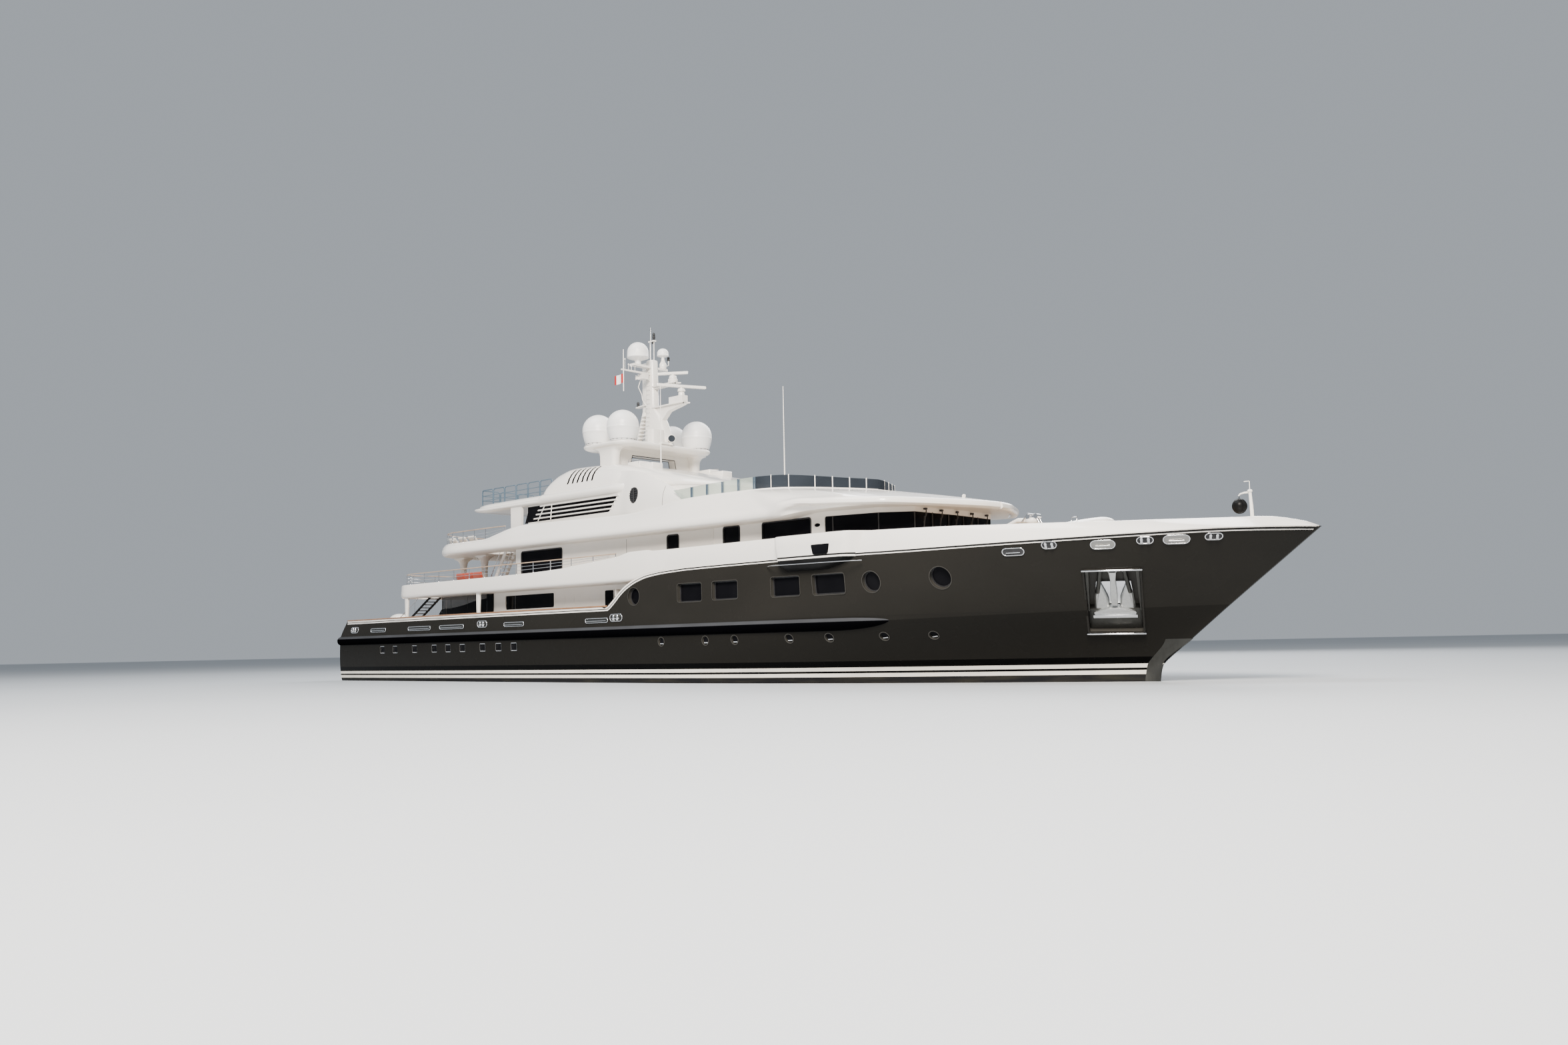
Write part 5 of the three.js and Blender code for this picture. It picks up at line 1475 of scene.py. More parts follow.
class YachtUpperDeck(YachtOperator):
    """Builds the upper deck with the band of bulwark round it"""

    bl_idname = "yacht.upper_deck"
    bl_label = "Upper Deck"

    def execute(self, context):
        decks = context.scene.yacht_decks
        stations = spread(-27.3, -26.4, 22) + spread(-26.2, -9, 40) + spread(-8.8, 2.0, 70)
        rows = []
        for x in stations:
            b, top = UPPER_HALF(x), UPPER_TOP(x)
            well = x > -27.3 + decks.coaming
            low = corner_arc((x, b - 0.24, UPPER_UNDER), (x, b, UPPER_UNDER), (x, b, UPPER_UNDER + 0.24), 5)
            rim = corner_arc((x, b - 0.05, top - 0.05), (x, b - 0.05, top), (x, b - 0.12, top), 3)
            inner = b - 0.05 - decks.coaming
            if well:
                inside = corner_arc((x, inner + 0.07, top), (x, inner, top), (x, inner, top - 0.05), 3)
                inside += [(x, inner, UPPER_DECK), (x, 0, UPPER_DECK)]
            else:
                inside = [(x, inner * (1 - 0.02 * k), top) for k in range(4)] + [(x, inner * 0.5, top),
                                                                                 (x, 0, top)]
            rows.append([(x, 0, UPPER_UNDER)] + low + rim + inside)
        part = loft([across(row) for row in rows])
        deck = mesh_object("upper_deck_band", Form().add(part, deck_faces(part, UPPER_DECK)),
                           use("white", "teak", "soffit"))
        self.paint_underside_shade(deck)
        x0, x1, y0, y1, z0, z1 = STAIRWELLS[0]
        holes = Form().add(plan_slab(softened([(x0, y0), (x1, y0), (x1, y1), (x0, y1)], 0.12), z0,
                                     z1)).both_sides()
        carved(deck, holes)
        fit(deck, nodes=("upper_deck",), sharp=40)
        self.add_lights(UPPER_UNDER, [(x, y) for x in (-25.5, -22.5, -19.5) for y in (1.5, 4.3)])
        return {"FINISHED"}

    @staticmethod
    def paint_underside_shade(deck):
        """Ceiling faces, those that look straight down, take the darker soffit finish: painted shade under
        the deck.
        """
        for face in deck.data.polygons:
            if face.normal.z < -0.95:
                face.material_index = 2

    @staticmethod
    def add_lights(level, spots):
        """Small round lamps let into the ceiling."""
        form = Form()
        for x, y in spots:
            form.add(lathe([(0.02, -0.03), (0.1, -0.03), (0.13, -0.012), (0.13, 0.01)], (x, y, level),
                           sides=20), 0)
            form.add(lathe([(0.01, -0.036), (0.08, -0.034), (0.08, -0.02)], (x, y, level), sides=20), 1)
        make("ceiling_lamps_" + str(int(level)), form.both_sides(), use("steel", "lamp"))


class YachtSaloon(YachtOperator):
    """Builds the saloon on the main deck with its windows and its sliding and side doors"""

    bl_idname = "yacht.saloon"
    bl_label = "Saloon"

    def execute(self, context):
        decks = context.scene.yacht_decks
        shell = mesh_object("saloon_walls", Form().add(walls(SALOON_HALF, WALL, MAIN_DECK, UPPER_UNDER)),
                            use("white"))
        cutter = Form().add(side_opening(*SALOON_WINDOW, decks.corner))
        cutter.add(block(-18.4, -17.2, -1.5, 1.5, 3, 5.6))
        for y in (-3.05, 3.05):
            cutter.add(placed(loft([[(u, v, w) for u, v in rounded_rect(1.9, 1.7, 0.12)] for w in (-1, 1)]),
                              Matrix.Translation((-18, y, 4.72)) @ Matrix.Rotation(math.pi / 2, 4, "Y")
                              @ Matrix.Rotation(math.pi / 2, 4, "Z")))
        carved(shell, cutter)
        fit(shell, nodes=("saloon",), sharp=40)
        glass, trim = Form(), Form()
        x0, x1, z0, z1 = SALOON_WINDOW
        y = 5.2 - decks.pane_inset
        glass.add(side_opening(x0 - 0.02, x1 + 0.02, z0 - 0.02, z1 + 0.02, decks.corner, y - 0.04, y))
        trim.add(side_frame(x0, x1, z0, z1, decks.corner, 5.14, 5.225, 0.04, 0.05), 0)
        trim.add(block(-14.92, -14.8, y - 0.02, y + 0.025, z0, z1), 1)
        glass.add(block(-18.0, -17.3, 5.2, 5.262, 3.7, 5.88))
        glass.add(side_opening(-5.42, -4.6, 3.8, 5.58, 0.08, 5.2, 5.262))
        trim.add(side_frame(-5.42, -4.6, 3.8, 5.58, 0.08, 5.2, 5.275, 0.0, 0.045), 0)
        glass.both_sides()
        trim.both_sides()
        for side in (-1, 1):
            pane = rounded_rect(1.94, 1.74, 0.12)
            glass.add(loft([[(x, side * 3.05 + u, 4.72 + v) for u, v in pane] for x in (-17.95, -17.9)]))
        make("saloon_window_glass", glass, use("glass"))
        make("saloon_window_trim", trim, use("white", "rubber"))
        self.add_sliding_doors("saloon", -17.74, 1.59, MAIN_DECK + 0.03, 5.68, 0.03)
        self.add_side_doors()
        panels = Form()
        for x in (-9.0, -6.4):
            panels.add(side_frame(x - 0.45, x + 0.45, 3.75, 5.45, 0.1, 5.195, 5.21, 0.0, 0.012))
        make("saloon_wall_hatches", panels.both_sides(), use("soffit"))
        return {"FINISHED"}

    @staticmethod
    def add_sliding_doors(house, x, width, z0, z1, y0):
        """A pair of framed glass leaves that slide apart."""
        for side, name in ((1, "port"), (-1, "starboard")):
            form = Form()
            mid_y, mid_z = side * (y0 + width / 2), (z0 + z1) / 2
            outer = rounded_rect(width, z1 - z0, 0.02, 2)
            rings = [(outer, -0.04), (outer, 0.04), (shrunk(outer, 0.09), 0.04), (shrunk(outer, 0.09), -0.04)]
            form.add(loft([[(x + w, mid_y + u, mid_z + v) for u, v in ring] for ring, w in rings],
                          looped=True), 0)
            pane = shrunk(outer, 0.08)
            form.add(loft([[(x + w, mid_y + u, mid_z + v) for u, v in pane] for w in (-0.012, 0.012)]), 1)
            pull_y = mid_y - side * (width / 2 - 0.14)
            pull = [(x + u, pull_y, mid_z + v) for u, v in ((-0.03, -0.4), (-0.055, -0.36), (-0.055, 0.36),
                                                            (-0.03, 0.4))]
            form.add(tube(pull, 0.014, 8), 0)
            make(f"{house}_sliding_door_{name}", form, use("steel", "glass"), body=f"{house}_leaf_{name}",
                 nodes=(f"{house}_door_{name}",))

    @staticmethod
    def add_side_doors():
        """Hinged doors at the fore ends of the side decks, with a tall window."""
        x0, x1, z0, z1 = -3.41, -3.32, MAIN_DECK + 0.1, 5.55
        for side, name in ((1, "port"), (-1, "starboard")):
            mid_y, mid_z = side * 5.775, (z0 + z1) / 2
            leaf = rounded_rect(0.75, z1 - z0, 0.06, 3)
            form = Form()
            form.add(loft([[(x, mid_y + u, mid_z + v) for u, v in leaf] for x in (x0, x1)]), 0)
            pane = rounded_rect(0.42, 0.95, 0.1)
            form.add(loft([[(x, mid_y + u, mid_z + 0.35 + v) for u, v in pane]
                           for x in (x0 - 0.012, x0 + 0.01)]), 1)
            frame_at = [(shrunk(pane, -0.04), x0 - 0.02), (shrunk(pane, -0.04), x0 + 0.01),
                        (shrunk(pane, 0.02), x0 + 0.01),
                        (shrunk(pane, 0.02), x0 - 0.02)]
            form.add(loft([[(x, mid_y + u, mid_z + 0.35 + v) for u, v in ring] for ring, x in frame_at],
                          looped=True), 2)
            form.add(tube([(x0, mid_y - side * 0.27, mid_z - 0.2), (x0 - 0.07, mid_y - side * 0.27,
                                                                    mid_z - 0.2),
                           (x0 - 0.07, mid_y - side * 0.13, mid_z - 0.2)], 0.016, 8), 2)
            make(f"side_deck_door_{name}", form, use("white", "glass", "steel"), body=f"side_leaf_{name}",
                 nodes=(f"side_door_{name}",))


class YachtUpperHouse(YachtOperator):
    """Builds the upper deckhouse with the bridge, its windows, doors and wipers"""

    bl_idname = "yacht.upper_house"
    bl_label = "Upper Deckhouse"

    def execute(self, context):
        decks = context.scene.yacht_decks
        shell = mesh_object("upper_house_walls", Form().add(walls(UPPER_HOUSE_HALF, WALL, UPPER_DECK, 8.93,
                                                                  0.1)),
                            use("white"))
        cutter = Form()
        for window in UPPER_WINDOWS:
            cutter.add(side_opening(*window, decks.corner))
        band = rounded_rect(7.55, BRIDGE_HEAD - BRIDGE_SILL, 0.1)
        middle = (BRIDGE_FROM + 7.55 / 2, (BRIDGE_SILL + BRIDGE_HEAD) / 2)
        cutter.add(side_slab([(middle[0] + u, middle[1] + v) for u, v in band], -8, 8))
        cutter.add(block(-16.1, -15.1, -1.4, 1.4, 6, 8.35))
        x, z, w, h = OVAL_PORT
        cutter.add(side_slab([(x + u, z + v) for u, v in oval(w, h, 20)], 4.8, 6))
        cutter.add(side_slab([(x + u, z + v) for u, v in oval(w, h, 20)], -6, -4.8))
        carved(shell, cutter)
        fit(shell, nodes=("upper_deckhouse",), sharp=40)
        self.add_windows(decks)
        self.add_bridge()
        YachtSaloon.add_sliding_doors("upper", -15.34, 1.49, UPPER_DECK + 0.03, 8.43, 0.03)
        return {"FINISHED"}

    @staticmethod
    def add_windows(decks):
        glass, trim = Form(), Form()
        y = 5.25 - decks.pane_inset
        for x0, x1, z0, z1 in UPPER_WINDOWS:
            glass.add(side_opening(x0 - 0.02, x1 + 0.02, z0 - 0.02, z1 + 0.02, decks.corner, y - 0.04, y))
            trim.add(side_frame(x0, x1, z0, z1, decks.corner, 5.19, 5.27, 0.03, 0.045))
        x, z, w, h = OVAL_PORT
        glass.add(side_slab([(x + u, z + v) for u, v in oval(w + 0.04, h + 0.04, 20)], 5.15, 5.2))
        for x in (-3.4, 2.75):
            trim.add(block(x, x + 0.02, 5.245, 5.256, 6.4, 8.6))
        trim.add(block(1.33, 4.2, 5.24, 5.27, 7.3, 8.69), 1)
        make("upper_window_glass", glass.both_sides(), use("glass"))
        make("upper_window_trim", trim.both_sides(), use("rubber", "soffit"))

    @staticmethod
    def add_bridge():
        """Bridge windows with their mullions, and the wipers over them."""
        outline = [(BRIDGE_FROM - 0.02, 5.25)] + UPPER_HOUSE_HALF[4:]
        pane = [(x, b - 0.06) for x, b in outline]
        pane[-2:] = [(16.94, 3.47), (17.09, 0.0)]
        inner = [(x - 0.06, max(b - 0.05, 0)) for x, b in pane]
        rings = []
        for z in (BRIDGE_SILL - 0.02, BRIDGE_HEAD + 0.02):
            port = [(x, b, z) for x, b in pane]
            rings.append(port + [(x, -b, z) for x, b in reversed(pane[:-1])]
                         + [(x, -b, z) for x, b in inner[:-1]] + [(x, b, z) for x, b in reversed(inner)])
        make("bridge_glass", Form().add(loft(rings)), use("glass"),
             nodes=("bridge_windows",))
        bars, wipers = Form(), Form()
        posts = [(15.5, 4.6, -25.0), (17.0, 3.5, -60.0), (17.12, 2.1, -87.0), (17.14, 0.7, -88.0),
                 (12.9, 5.17, 0.0)]
        for x, b, turn in posts:
            post = block(-0.03, 0.03, -0.07, -0.03, BRIDGE_SILL - 0.02, BRIDGE_HEAD + 0.02)
            bars.add(moved(turned(post, turn), x, b - 0.02))
        for b in (-2.85, -1.45, -0.05, 1.35, 2.75):
            foot = Vector((17.24, b, 8.8))
            tip = Vector((17.22, b - 0.16, 8.0))
            wipers.add(block(foot.x - 0.12, foot.x + 0.04, foot.y - 0.07, foot.y + 0.07, 8.76, 8.86))
            wipers.add(tube([foot, foot + Vector((0.04, -0.04, -0.12)), tip], 0.03, 6))
            wipers.add(tube([foot + Vector((0.0, 0.1, -0.2)), tip + Vector((0.0, -0.05, 0.1))], 0.016, 6))
            wipers.add(tube([tip + Vector((0.0, 0.03, 0.42)), tip + Vector((0.0, -0.03, -0.4))], 0.03, 6))
        make("bridge_mullions", bars.both_sides(), use("rubber"))
        make("bridge_wipers", wipers, use("rubber"))


class YachtSunDeck(YachtOperator):
    """Builds the sun deck, its leaning coaming and the brow over the bridge"""

    bl_idname = "yacht.sun_deck"
    bl_label = "Sun Deck"

    def execute(self, context):
        decks = context.scene.yacht_decks
        stations = spread(-24.3, -23.0, 22) + spread(-22.9, -18, 22)[:-1] + spread(-18, 6.5, 66)[:-1]
        stations += spread(6.5, 18.5, 60)[:-1] + spread(18.5, 19.95, 24)
        rows = [self.section(x, decks.lip) for x in stations]
        part = loft([across(row) for row in rows])
        deck = mesh_object("sun_deck_coaming", Form().add(part, deck_faces(part, SUN_DECK)),
                           use("white", "teak", "soffit"))
        YachtUpperDeck.paint_underside_shade(deck)
        x0, x1, y0, y1, z0, z1 = STAIRWELLS[1]
        holes = Form().add(plan_slab(softened([(x0, y0), (x1, y0), (x1, y1), (x0, y1)], 0.12), z0,
                                     z1)).both_sides()
        carved(deck, holes)
        fit(deck, nodes=("sun_deck",), sharp=40)
        self.add_brow_details()
        YachtUpperDeck.add_lights(SUN_UNDER, [(x, y) for x in (-22.5, -19.0, -16.7) for y in (1.2, 3.0)])
        return {"FINISHED"}

    @staticmethod
    def section(x, lip):
        top_x = SUN_LEAN(x)
        b, top_b = SUN_LOW_HALF(x), SUN_TOP_HALF(top_x)
        edge = SUN_EDGE_Z(x)
        visor = clamp((x - 10.0) / 2.4)
        visor *= visor * (3 - 2 * visor)
        under = mix(min(SUN_UNDER, edge - 0.12), 8.92, visor)
        low = corner_arc((x, max(b - 0.3, 0.05), under), (x, b, under), (x, b, edge), 5)
        foot = Vector((x, max(b - 0.03, 0.05), edge + lip))
        head = Vector((top_x, top_b, SUN_TOP_Z(top_x) - 0.06))
        plain = low + [tuple(foot.lerp(head, t)) for t in (0, 0.03, 0.08, 0.14)]
        # The roll is set off square to the plan of the brow's edge
        run = Vector((0.02, SUN_LOW_HALF(x) - SUN_LOW_HALF(x - 0.02))).normalized()
        scoop = 0.5 * clamp(1 - abs(x - 14.4) / 1.7)
        roll = ((0.66, under), (0.52, under), (0.44, edge + 0.03), (0.32, edge), (0.1, edge + 0.01),
                (0.0, edge + 0.1), (0.0, edge + 0.2),
                (0.035, edge + 0.31), (0.12, edge + 0.38), (0.27 + scoop, edge + 0.41 + 0.3 * scoop))
        edge_points = []
        for (px, py, pz), (inset, z) in zip(plain, roll):
            spot = Vector((x + run.y * inset, max(b - run.x * inset, 0.02), z))
            edge_points.append(tuple(Vector((px, py, pz)).lerp(spot, visor)))
        low, flank = edge_points[:6], edge_points[6:]
        foot = Vector(flank[-1])
        for t in (0.12, 0.3, 0.5, 0.7, 0.86, 1.0):
            spot = foot.lerp(head, t)
            spot.z += mix(0.12, 0.05, visor) * math.sin(math.pi * t) * clamp((x - 5) / 6)
            spot.y += 0.05 * math.sin(math.pi * t) * (1 - visor)
            flank.append(tuple(spot))
        top = SUN_TOP_Z(top_x)
        rim = corner_arc(flank[-1], (top_x, top_b, top), (top_x, max(top_b - 0.08, 0.02), top), 3)[1:]
        wall = top_b - 0.25
        if SUN_WELL[0] < top_x < SUN_WELL[1] and wall > 0.1:
            inside = [(top_x, wall + 0.05, top), (top_x, wall, top - 0.05), (top_x, wall, SUN_DECK),
                      (top_x, 0, SUN_DECK)]
        else:
            inside = [(top_x, max(wall, 0.01) * k, top) for k in (1.0, 0.9, 0.6)] + [(top_x, 0, top)]
        return [(low[0][0], 0, under)] + low + flank + rim + inside

    @staticmethod
    def add_brow_details():
        """The small mushroom vent on the brow's nose."""
        form = Form()
        form.add(lathe([(0.08, 0), (0.08, 0.3), (0.1, 0.34), (0.1, 0.44), (0.05, 0.5), (0.01, 0.51)],
                       (17.5, 0.2, 9.25), sides=20))
        make("brow_vent", form, use("white"))


def swept(start, pull, end, steps=6):
    """Points of a curve in the y and z plane, without its first point."""
    points = []
    for i in range(1, steps + 1):
        t = i / steps
        points.append(tuple((1 - t) ** 2 * a + 2 * t * (1 - t) * b + t * t * c for a, b,
                            c in zip(start, pull, end)))
    return points


def roof_section(x):
    """Half section of the hardtop: underside, big edge roll, hump side and crown."""
    b, under, crest = ROOF_HALF(x), ROOF_UNDER_Z(x), ROOF_CREST(x)
    shoulder = min(12.15, under + 0.45 * (crest - under))
    nose = clamp((x + 4.4) / 0.9)
    roll = math.sqrt(max(1 - nose * nose, 0.0))
    root = max(b - 0.42 * clamp(b / 2), 0.05)
    out = mix(root + 0.06, b, roll)
    yz = [(0.0, under), (max(root - 0.1, 0.03), under), (root, under + 0.005)]
    rise = shoulder - under
    for k in range(1, 9):
        a = math.pi * k / 9 - math.pi / 2
        yz.append((root + (out - root) * math.cos(a), under + rise * (0.5 + 0.5 * math.sin(a))))
    foot = (root + 0.01, shoulder)
    yz.append(foot)
    inner = max(b - 1.9, 0.03)
    yz += swept(foot, (root - 0.03, crest - 0.02), (min(inner, root - 0.02), crest), 7)
    yz.append((0.0, crest + 0.04 * clamp(b / 3)))
    return [(x, y, z) for y, z in yz]


# Cheeks that sweep from the hump down to the coaming: x, half breadth and height at foot and head
CHEEK_FOOT = Curve([(-5, 5.2), (-4, 5.26), (-3, 5.42), (-1, 5.6), (1, 5.68), (2.2, 5.7)])
CHEEK_HEAD = Curve([(-5, 4.72), (-4, 4.78), (-3, 4.92), (-1, 5.15), (1, 5.42), (2.2, 5.62)])
CHEEK_FOOT_Z = Curve([(-5, 9.98), (-3, 10.0), (0, 10.2), (2.2, 10.44)])
CHEEK_HEAD_Z = Curve([(-5, 12.98), (-3, 12.72), (-1, 12.08), (1, 11.2), (2.2, 10.6)])


def cheek_point(x, t):
    """A point on the cheek's face, with t from 0 at its foot to 1 at its head."""
    foot = (CHEEK_FOOT(x), CHEEK_FOOT_Z(x))
    head = (CHEEK_HEAD(x), CHEEK_HEAD_Z(x))
    pull = (foot[0] + 0.02, mix(foot[1], head[1], 0.62))
    y, z = (float((1 - t) ** 2 * a + 2 * t * (1 - t) * b + t * t * c) for a, b, c in zip(foot, pull, head))
    return (x, y, z)


class YachtHardtop(YachtOperator):
    """Builds the hardtop with its edge roll, its slotted hump and the cheeks that run down to the coaming"""

    bl_idname = "yacht.hardtop"
    bl_label = "Hardtop"

    def execute(self, context):
        stations = spread(-20.7, -19.4, 16) + spread(-19.2, -13.1, 16) + spread(-13.0, -9.5, 32)
        stations += spread(-9.2, -4.6, 22) + spread(-4.5, -3.4, 12) + spread(-3.2, 6.6, 44)
        roof = mesh_object("hardtop_shell", Form().add(loft([across(roof_section(x)) for x in stations])),
                           use("white", "trim_black"))
        slots = Form()
        for k in range(6):
            low, high = -9.45 + 0.49 * k, -9.23 + 0.456 * k
            slots.add(side_slab([(low - 0.08, 12.58), (low + 0.08, 12.58), (high + 0.08, 13.56),
                                 (high - 0.08, 13.56)], 2.4, 6), 1)
        carved(roof, slots.both_sides())
        fit(roof, nodes=("hardtop",), sharp=46)
        self.add_cheeks()
        self.add_roof_boxes()
        return {"FINISHED"}

    @staticmethod
    def add_cheeks():
        rings = []
        for x in spread(-5.0, 2.24, 48):
            face = [cheek_point(x, t) for t in spread(0, 1, 14)]
            head = face[-1]
            crown = corner_arc(head, (x, head[1] - 0.01, head[2] + 0.05),
                               (x, head[1] - 0.12, head[2] + 0.05), 3)[1:]
            inner = [(x, head[1] - 0.5, head[2] - 0.02), (x, face[0][1] - 0.55, face[0][2])]
            rings.append(face + crown + inner)
        form = Form().add(loft(rings)).both_sides()
        cheeks = mesh_object("hardtop_cheeks", form, use("white"))
        hole = Form()
        hole.add(side_slab([(-2.5 + u, 11.19 + v) for u, v in oval(0.84, 1.0, 36)], 5.36, 6), 0)
        hole.add(side_slab([(-5.6, 10.42), (-5.08, 10.42), (-4.2, 11.46), (-5.6, 11.46)], 4.4, 6), 0)
        carved(cheeks, hole.both_sides())
        fit(cheeks, sharp=40)
        vent = Form()
        vent.add(side_slab([(-2.5 + u, 11.19 + v) for u, v in oval(0.82, 0.98, 36)], 5.32, 5.38), 1)
        for k in range(7):
            z = 10.78 + 0.137 * k
            half = 0.4 * math.sqrt(max(1 - ((z - 11.19) / 0.48) ** 2, 0.02))
            vent.add(block(-2.5 - half, -2.5 + half, 5.37, 5.43, z - 0.025, z + 0.025), 1)
        vent.add(tube([(-2.5, 5.42, 10.72), (-2.5, 5.42, 11.66)], 0.03, 8), 1)
        make("cheek_vents", vent.both_sides(), use("trim_black", "rubber"))
        seams = Form()
        path = [Vector(cheek_point(0.33, t)) + Vector((0, 0.003, 0)) for t in spread(0.02, 0.97, 12)]
        seams.add(tube(path, 0.012, 6))
        make("cheek_seams", seams.both_sides(), use("trim_black"))

    @staticmethod
    def add_roof_boxes():
        """Low lockers and grab rails on the roof beside the arch."""
        boxes, rails = Form(), Form()
        for x0, x1, z in ((-5.3, -4.15, 13.5), (-4.05, -2.95, 13.28)):
            boxes.add(block(x0, x1, 2.6, 3.5, z - 0.6, z + 0.18))
        boxes.add(block(1.2, 3.0, -0.6, 0.6, 11.4, 11.98))
        rails.add(tube([(-5.2, 3.5, 13.65), (-5.2, 3.5, 13.82), (-4.2, 3.5, 13.76), (-4.2, 3.5, 13.5)],
                       0.018, 8))
        rails.both_sides()
        rails.add(tube([(1.2, -0.64, 11.9), (1.2, -0.64, 12.16), (3.0, -0.64, 12.04), (3.0, -0.64, 11.8)],
                       0.02, 8))
        make("roof_lockers", boxes.both_sides(), use("white"), edge=0.06, segments=3)
        make("roof_grab_rails", rails, use("steel"))
        whips = Form()
        for x, z0, z1 in ((7.2, 10.5, 16.76), (-3.25, 12.6, 18.4)):
            whips.add(tube([(x, -2.5, z0), (x, -2.5, z0 + 0.5), (x, -2.5, mix(z0, z1, 0.5)), (x, -2.5, z1)],
                           [0.05, 0.045, 0.03, 0.018], 10))
            whips.add(lathe([(0.09, 0), (0.07, 0.12), (0.05, 0.15)], (x, -2.5, z0), sides=14))
        make("whip_aerials", whips, use("white"))


class YachtSunHouse(YachtOperator):
    """Builds the house on the sun deck with its louvred side openings"""

    bl_idname = "yacht.sun_house"
    bl_label = "Sun Deck House"

    def execute(self, context):
        stations = spread(-13.7, -13.5, 5) + spread(-13.2, 3.0, 26) + spread(3.4, 6.4, 14)
        outer = both([(x, SUN_HOUSE_HALF(x)) for x in stations])
        inner = shrunk(outer, WALL)
        sections = []
        for ring, low in ((outer, True), (outer, False), (inner, False), (inner, True)):
            sections.append([(x, y, SUN_DECK + 0.002 if low else ROOF_UNDER_Z(x) + 0.01) for x, y in ring])
        shell = mesh_object("sun_house_walls", Form().add(loft(sections, looped=True)), use("white"))
        opening = softened([(-14.2, 10.42), (-5.08, 10.42), (-4.2, 11.46), (-14.2, 11.46)], 0.1)
        cutter = Form()
        cutter.add(side_slab(opening, 4.2, 6))
        cutter.both_sides()
        cutter.add(block(-14.5, -13.1, -1.5, 1.5, 9, 11.2))
        carved(shell, cutter)
        fit(shell, nodes=("sun_deck_house",), sharp=40)
        glass, bars = Form(), Form()
        glass.add(side_slab([(-13.95, 10.39), (-5.05, 10.39), (-4.15, 11.49), (-13.45, 11.49)], 5.0, 5.04))
        glass.add(block(-13.68, -13.64, 4.1, 5.0, 10.39, 11.49))
        ends = ((-12.72, -4.8, 10.6), (-12.48, -4.56, 10.86), (-12.27, -4.32, 11.12), (-12.03, -4.1, 11.38))
        for x0, x1, z in ends:
            bars.add(tube([(x0, 5.2, z), (x0 + 0.1, 5.24, z), (x1 - 0.5, 5.25, z), (x1, 5.22, z)], 0.052, 10))
        for low, high in ((-12.2, -11.45), (-10.85, -10.72)):
            bars.add(tube([(low, 5.28, 10.42), (high, 5.28, 11.42)], 0.028, 8))
        pillar = softened([(-15.15, 9.7), (-14.05, 9.9), (-14.0, 11.62), (-15.2, 11.62)], 0.05)
        bars.add(side_slab(pillar, 5.12, 5.3))
        make("louvre_glass", glass.both_sides(), use("glass"))
        make("louvre_bars", bars.both_sides(), use("white"))
        return {"FINISHED"}


class YachtWindbreak(YachtOperator):
    """Builds the glass windbreak round the sun deck's fore end, with its posts"""

    bl_idname = "yacht.windbreak"
    bl_label = "Windbreak"

    PAIRED = (2.92, 4.12, 5.3, 6.5, 7.61)
    SINGLE = (8.62, 9.44, 10.37, 10.87, 11.33, 11.76)

    def execute(self, context):
        clear, dark, posts = Form(), Form(), Form()
        tall = Curve([(2.1, 0.6), (5, 0.66), (9, 0.7), (11.8, 0.56), (12, 0.56)])

        def spot(x, inset=0.0):
            return max(SUN_TOP_HALF(x) - 0.08 - inset, 0.0), SUN_TOP_Z(x) - 0.02

        def panel(stations, lean):
            rings = []
            for x in stations:
                (b, z), (inner, _) = spot(x), spot(x, 0.03)
                back = lean if x == stations[0] else 0.0
                rings.append([(x, b, z), (x - back, b, z + tall(x)), (x - back, inner, z + tall(x)),
                              (x, inner, z)])
            return loft(rings)

        joints = (2.12,) + self.PAIRED
        for first, second in zip(joints, joints[1:]):
            gap = 0.07 if first != joints[0] else 0.0
            clear.add(panel(spread(first + gap, second - 0.07, 8), 0.72 if first == joints[0] else 0.0))
        joints = (self.PAIRED[-1],) + self.SINGLE
        for first, second in zip(joints, joints[1:]):
            dark.add(panel(spread(first + 0.03, second - 0.02, 8), 0.0))
        for x in self.PAIRED:
            b, z = spot(x, 0.02)
            for shift in (-0.07, 0.07):
                posts.add(block(x + shift - 0.022, x + shift + 0.022, b - 0.06, b + 0.03, z - 0.04,
                                z + tall(x)), 0)
        for x in self.SINGLE:
            b, z = spot(x, 0.02)
            posts.add(tube([(x, b, z - 0.05), (x, b, z + tall(x) + 0.04)], 0.027, 8), 1)
        make("windbreak_clear_glass", clear.both_sides(), use("pale_glass"),
             nodes=("windbreak",))
        dark.both_sides()
        last, z = spot(11.78)
        edge = [(11.8, last), (12.0, 0.0), (11.8, -last)]
        ring = [(x, y, z) for x, y in edge] + [(x - 0.03, y, z) for x, y in reversed(edge)]
        dark.add(loft([ring, [(x, y, zz + 0.56) for x, y, zz in ring]]))
        make("windbreak_dark_glass", dark, use("dark_pane"))
        make("windbreak_posts", posts.both_sides(), use("rail_blue", "white"))
        return {"FINISHED"}


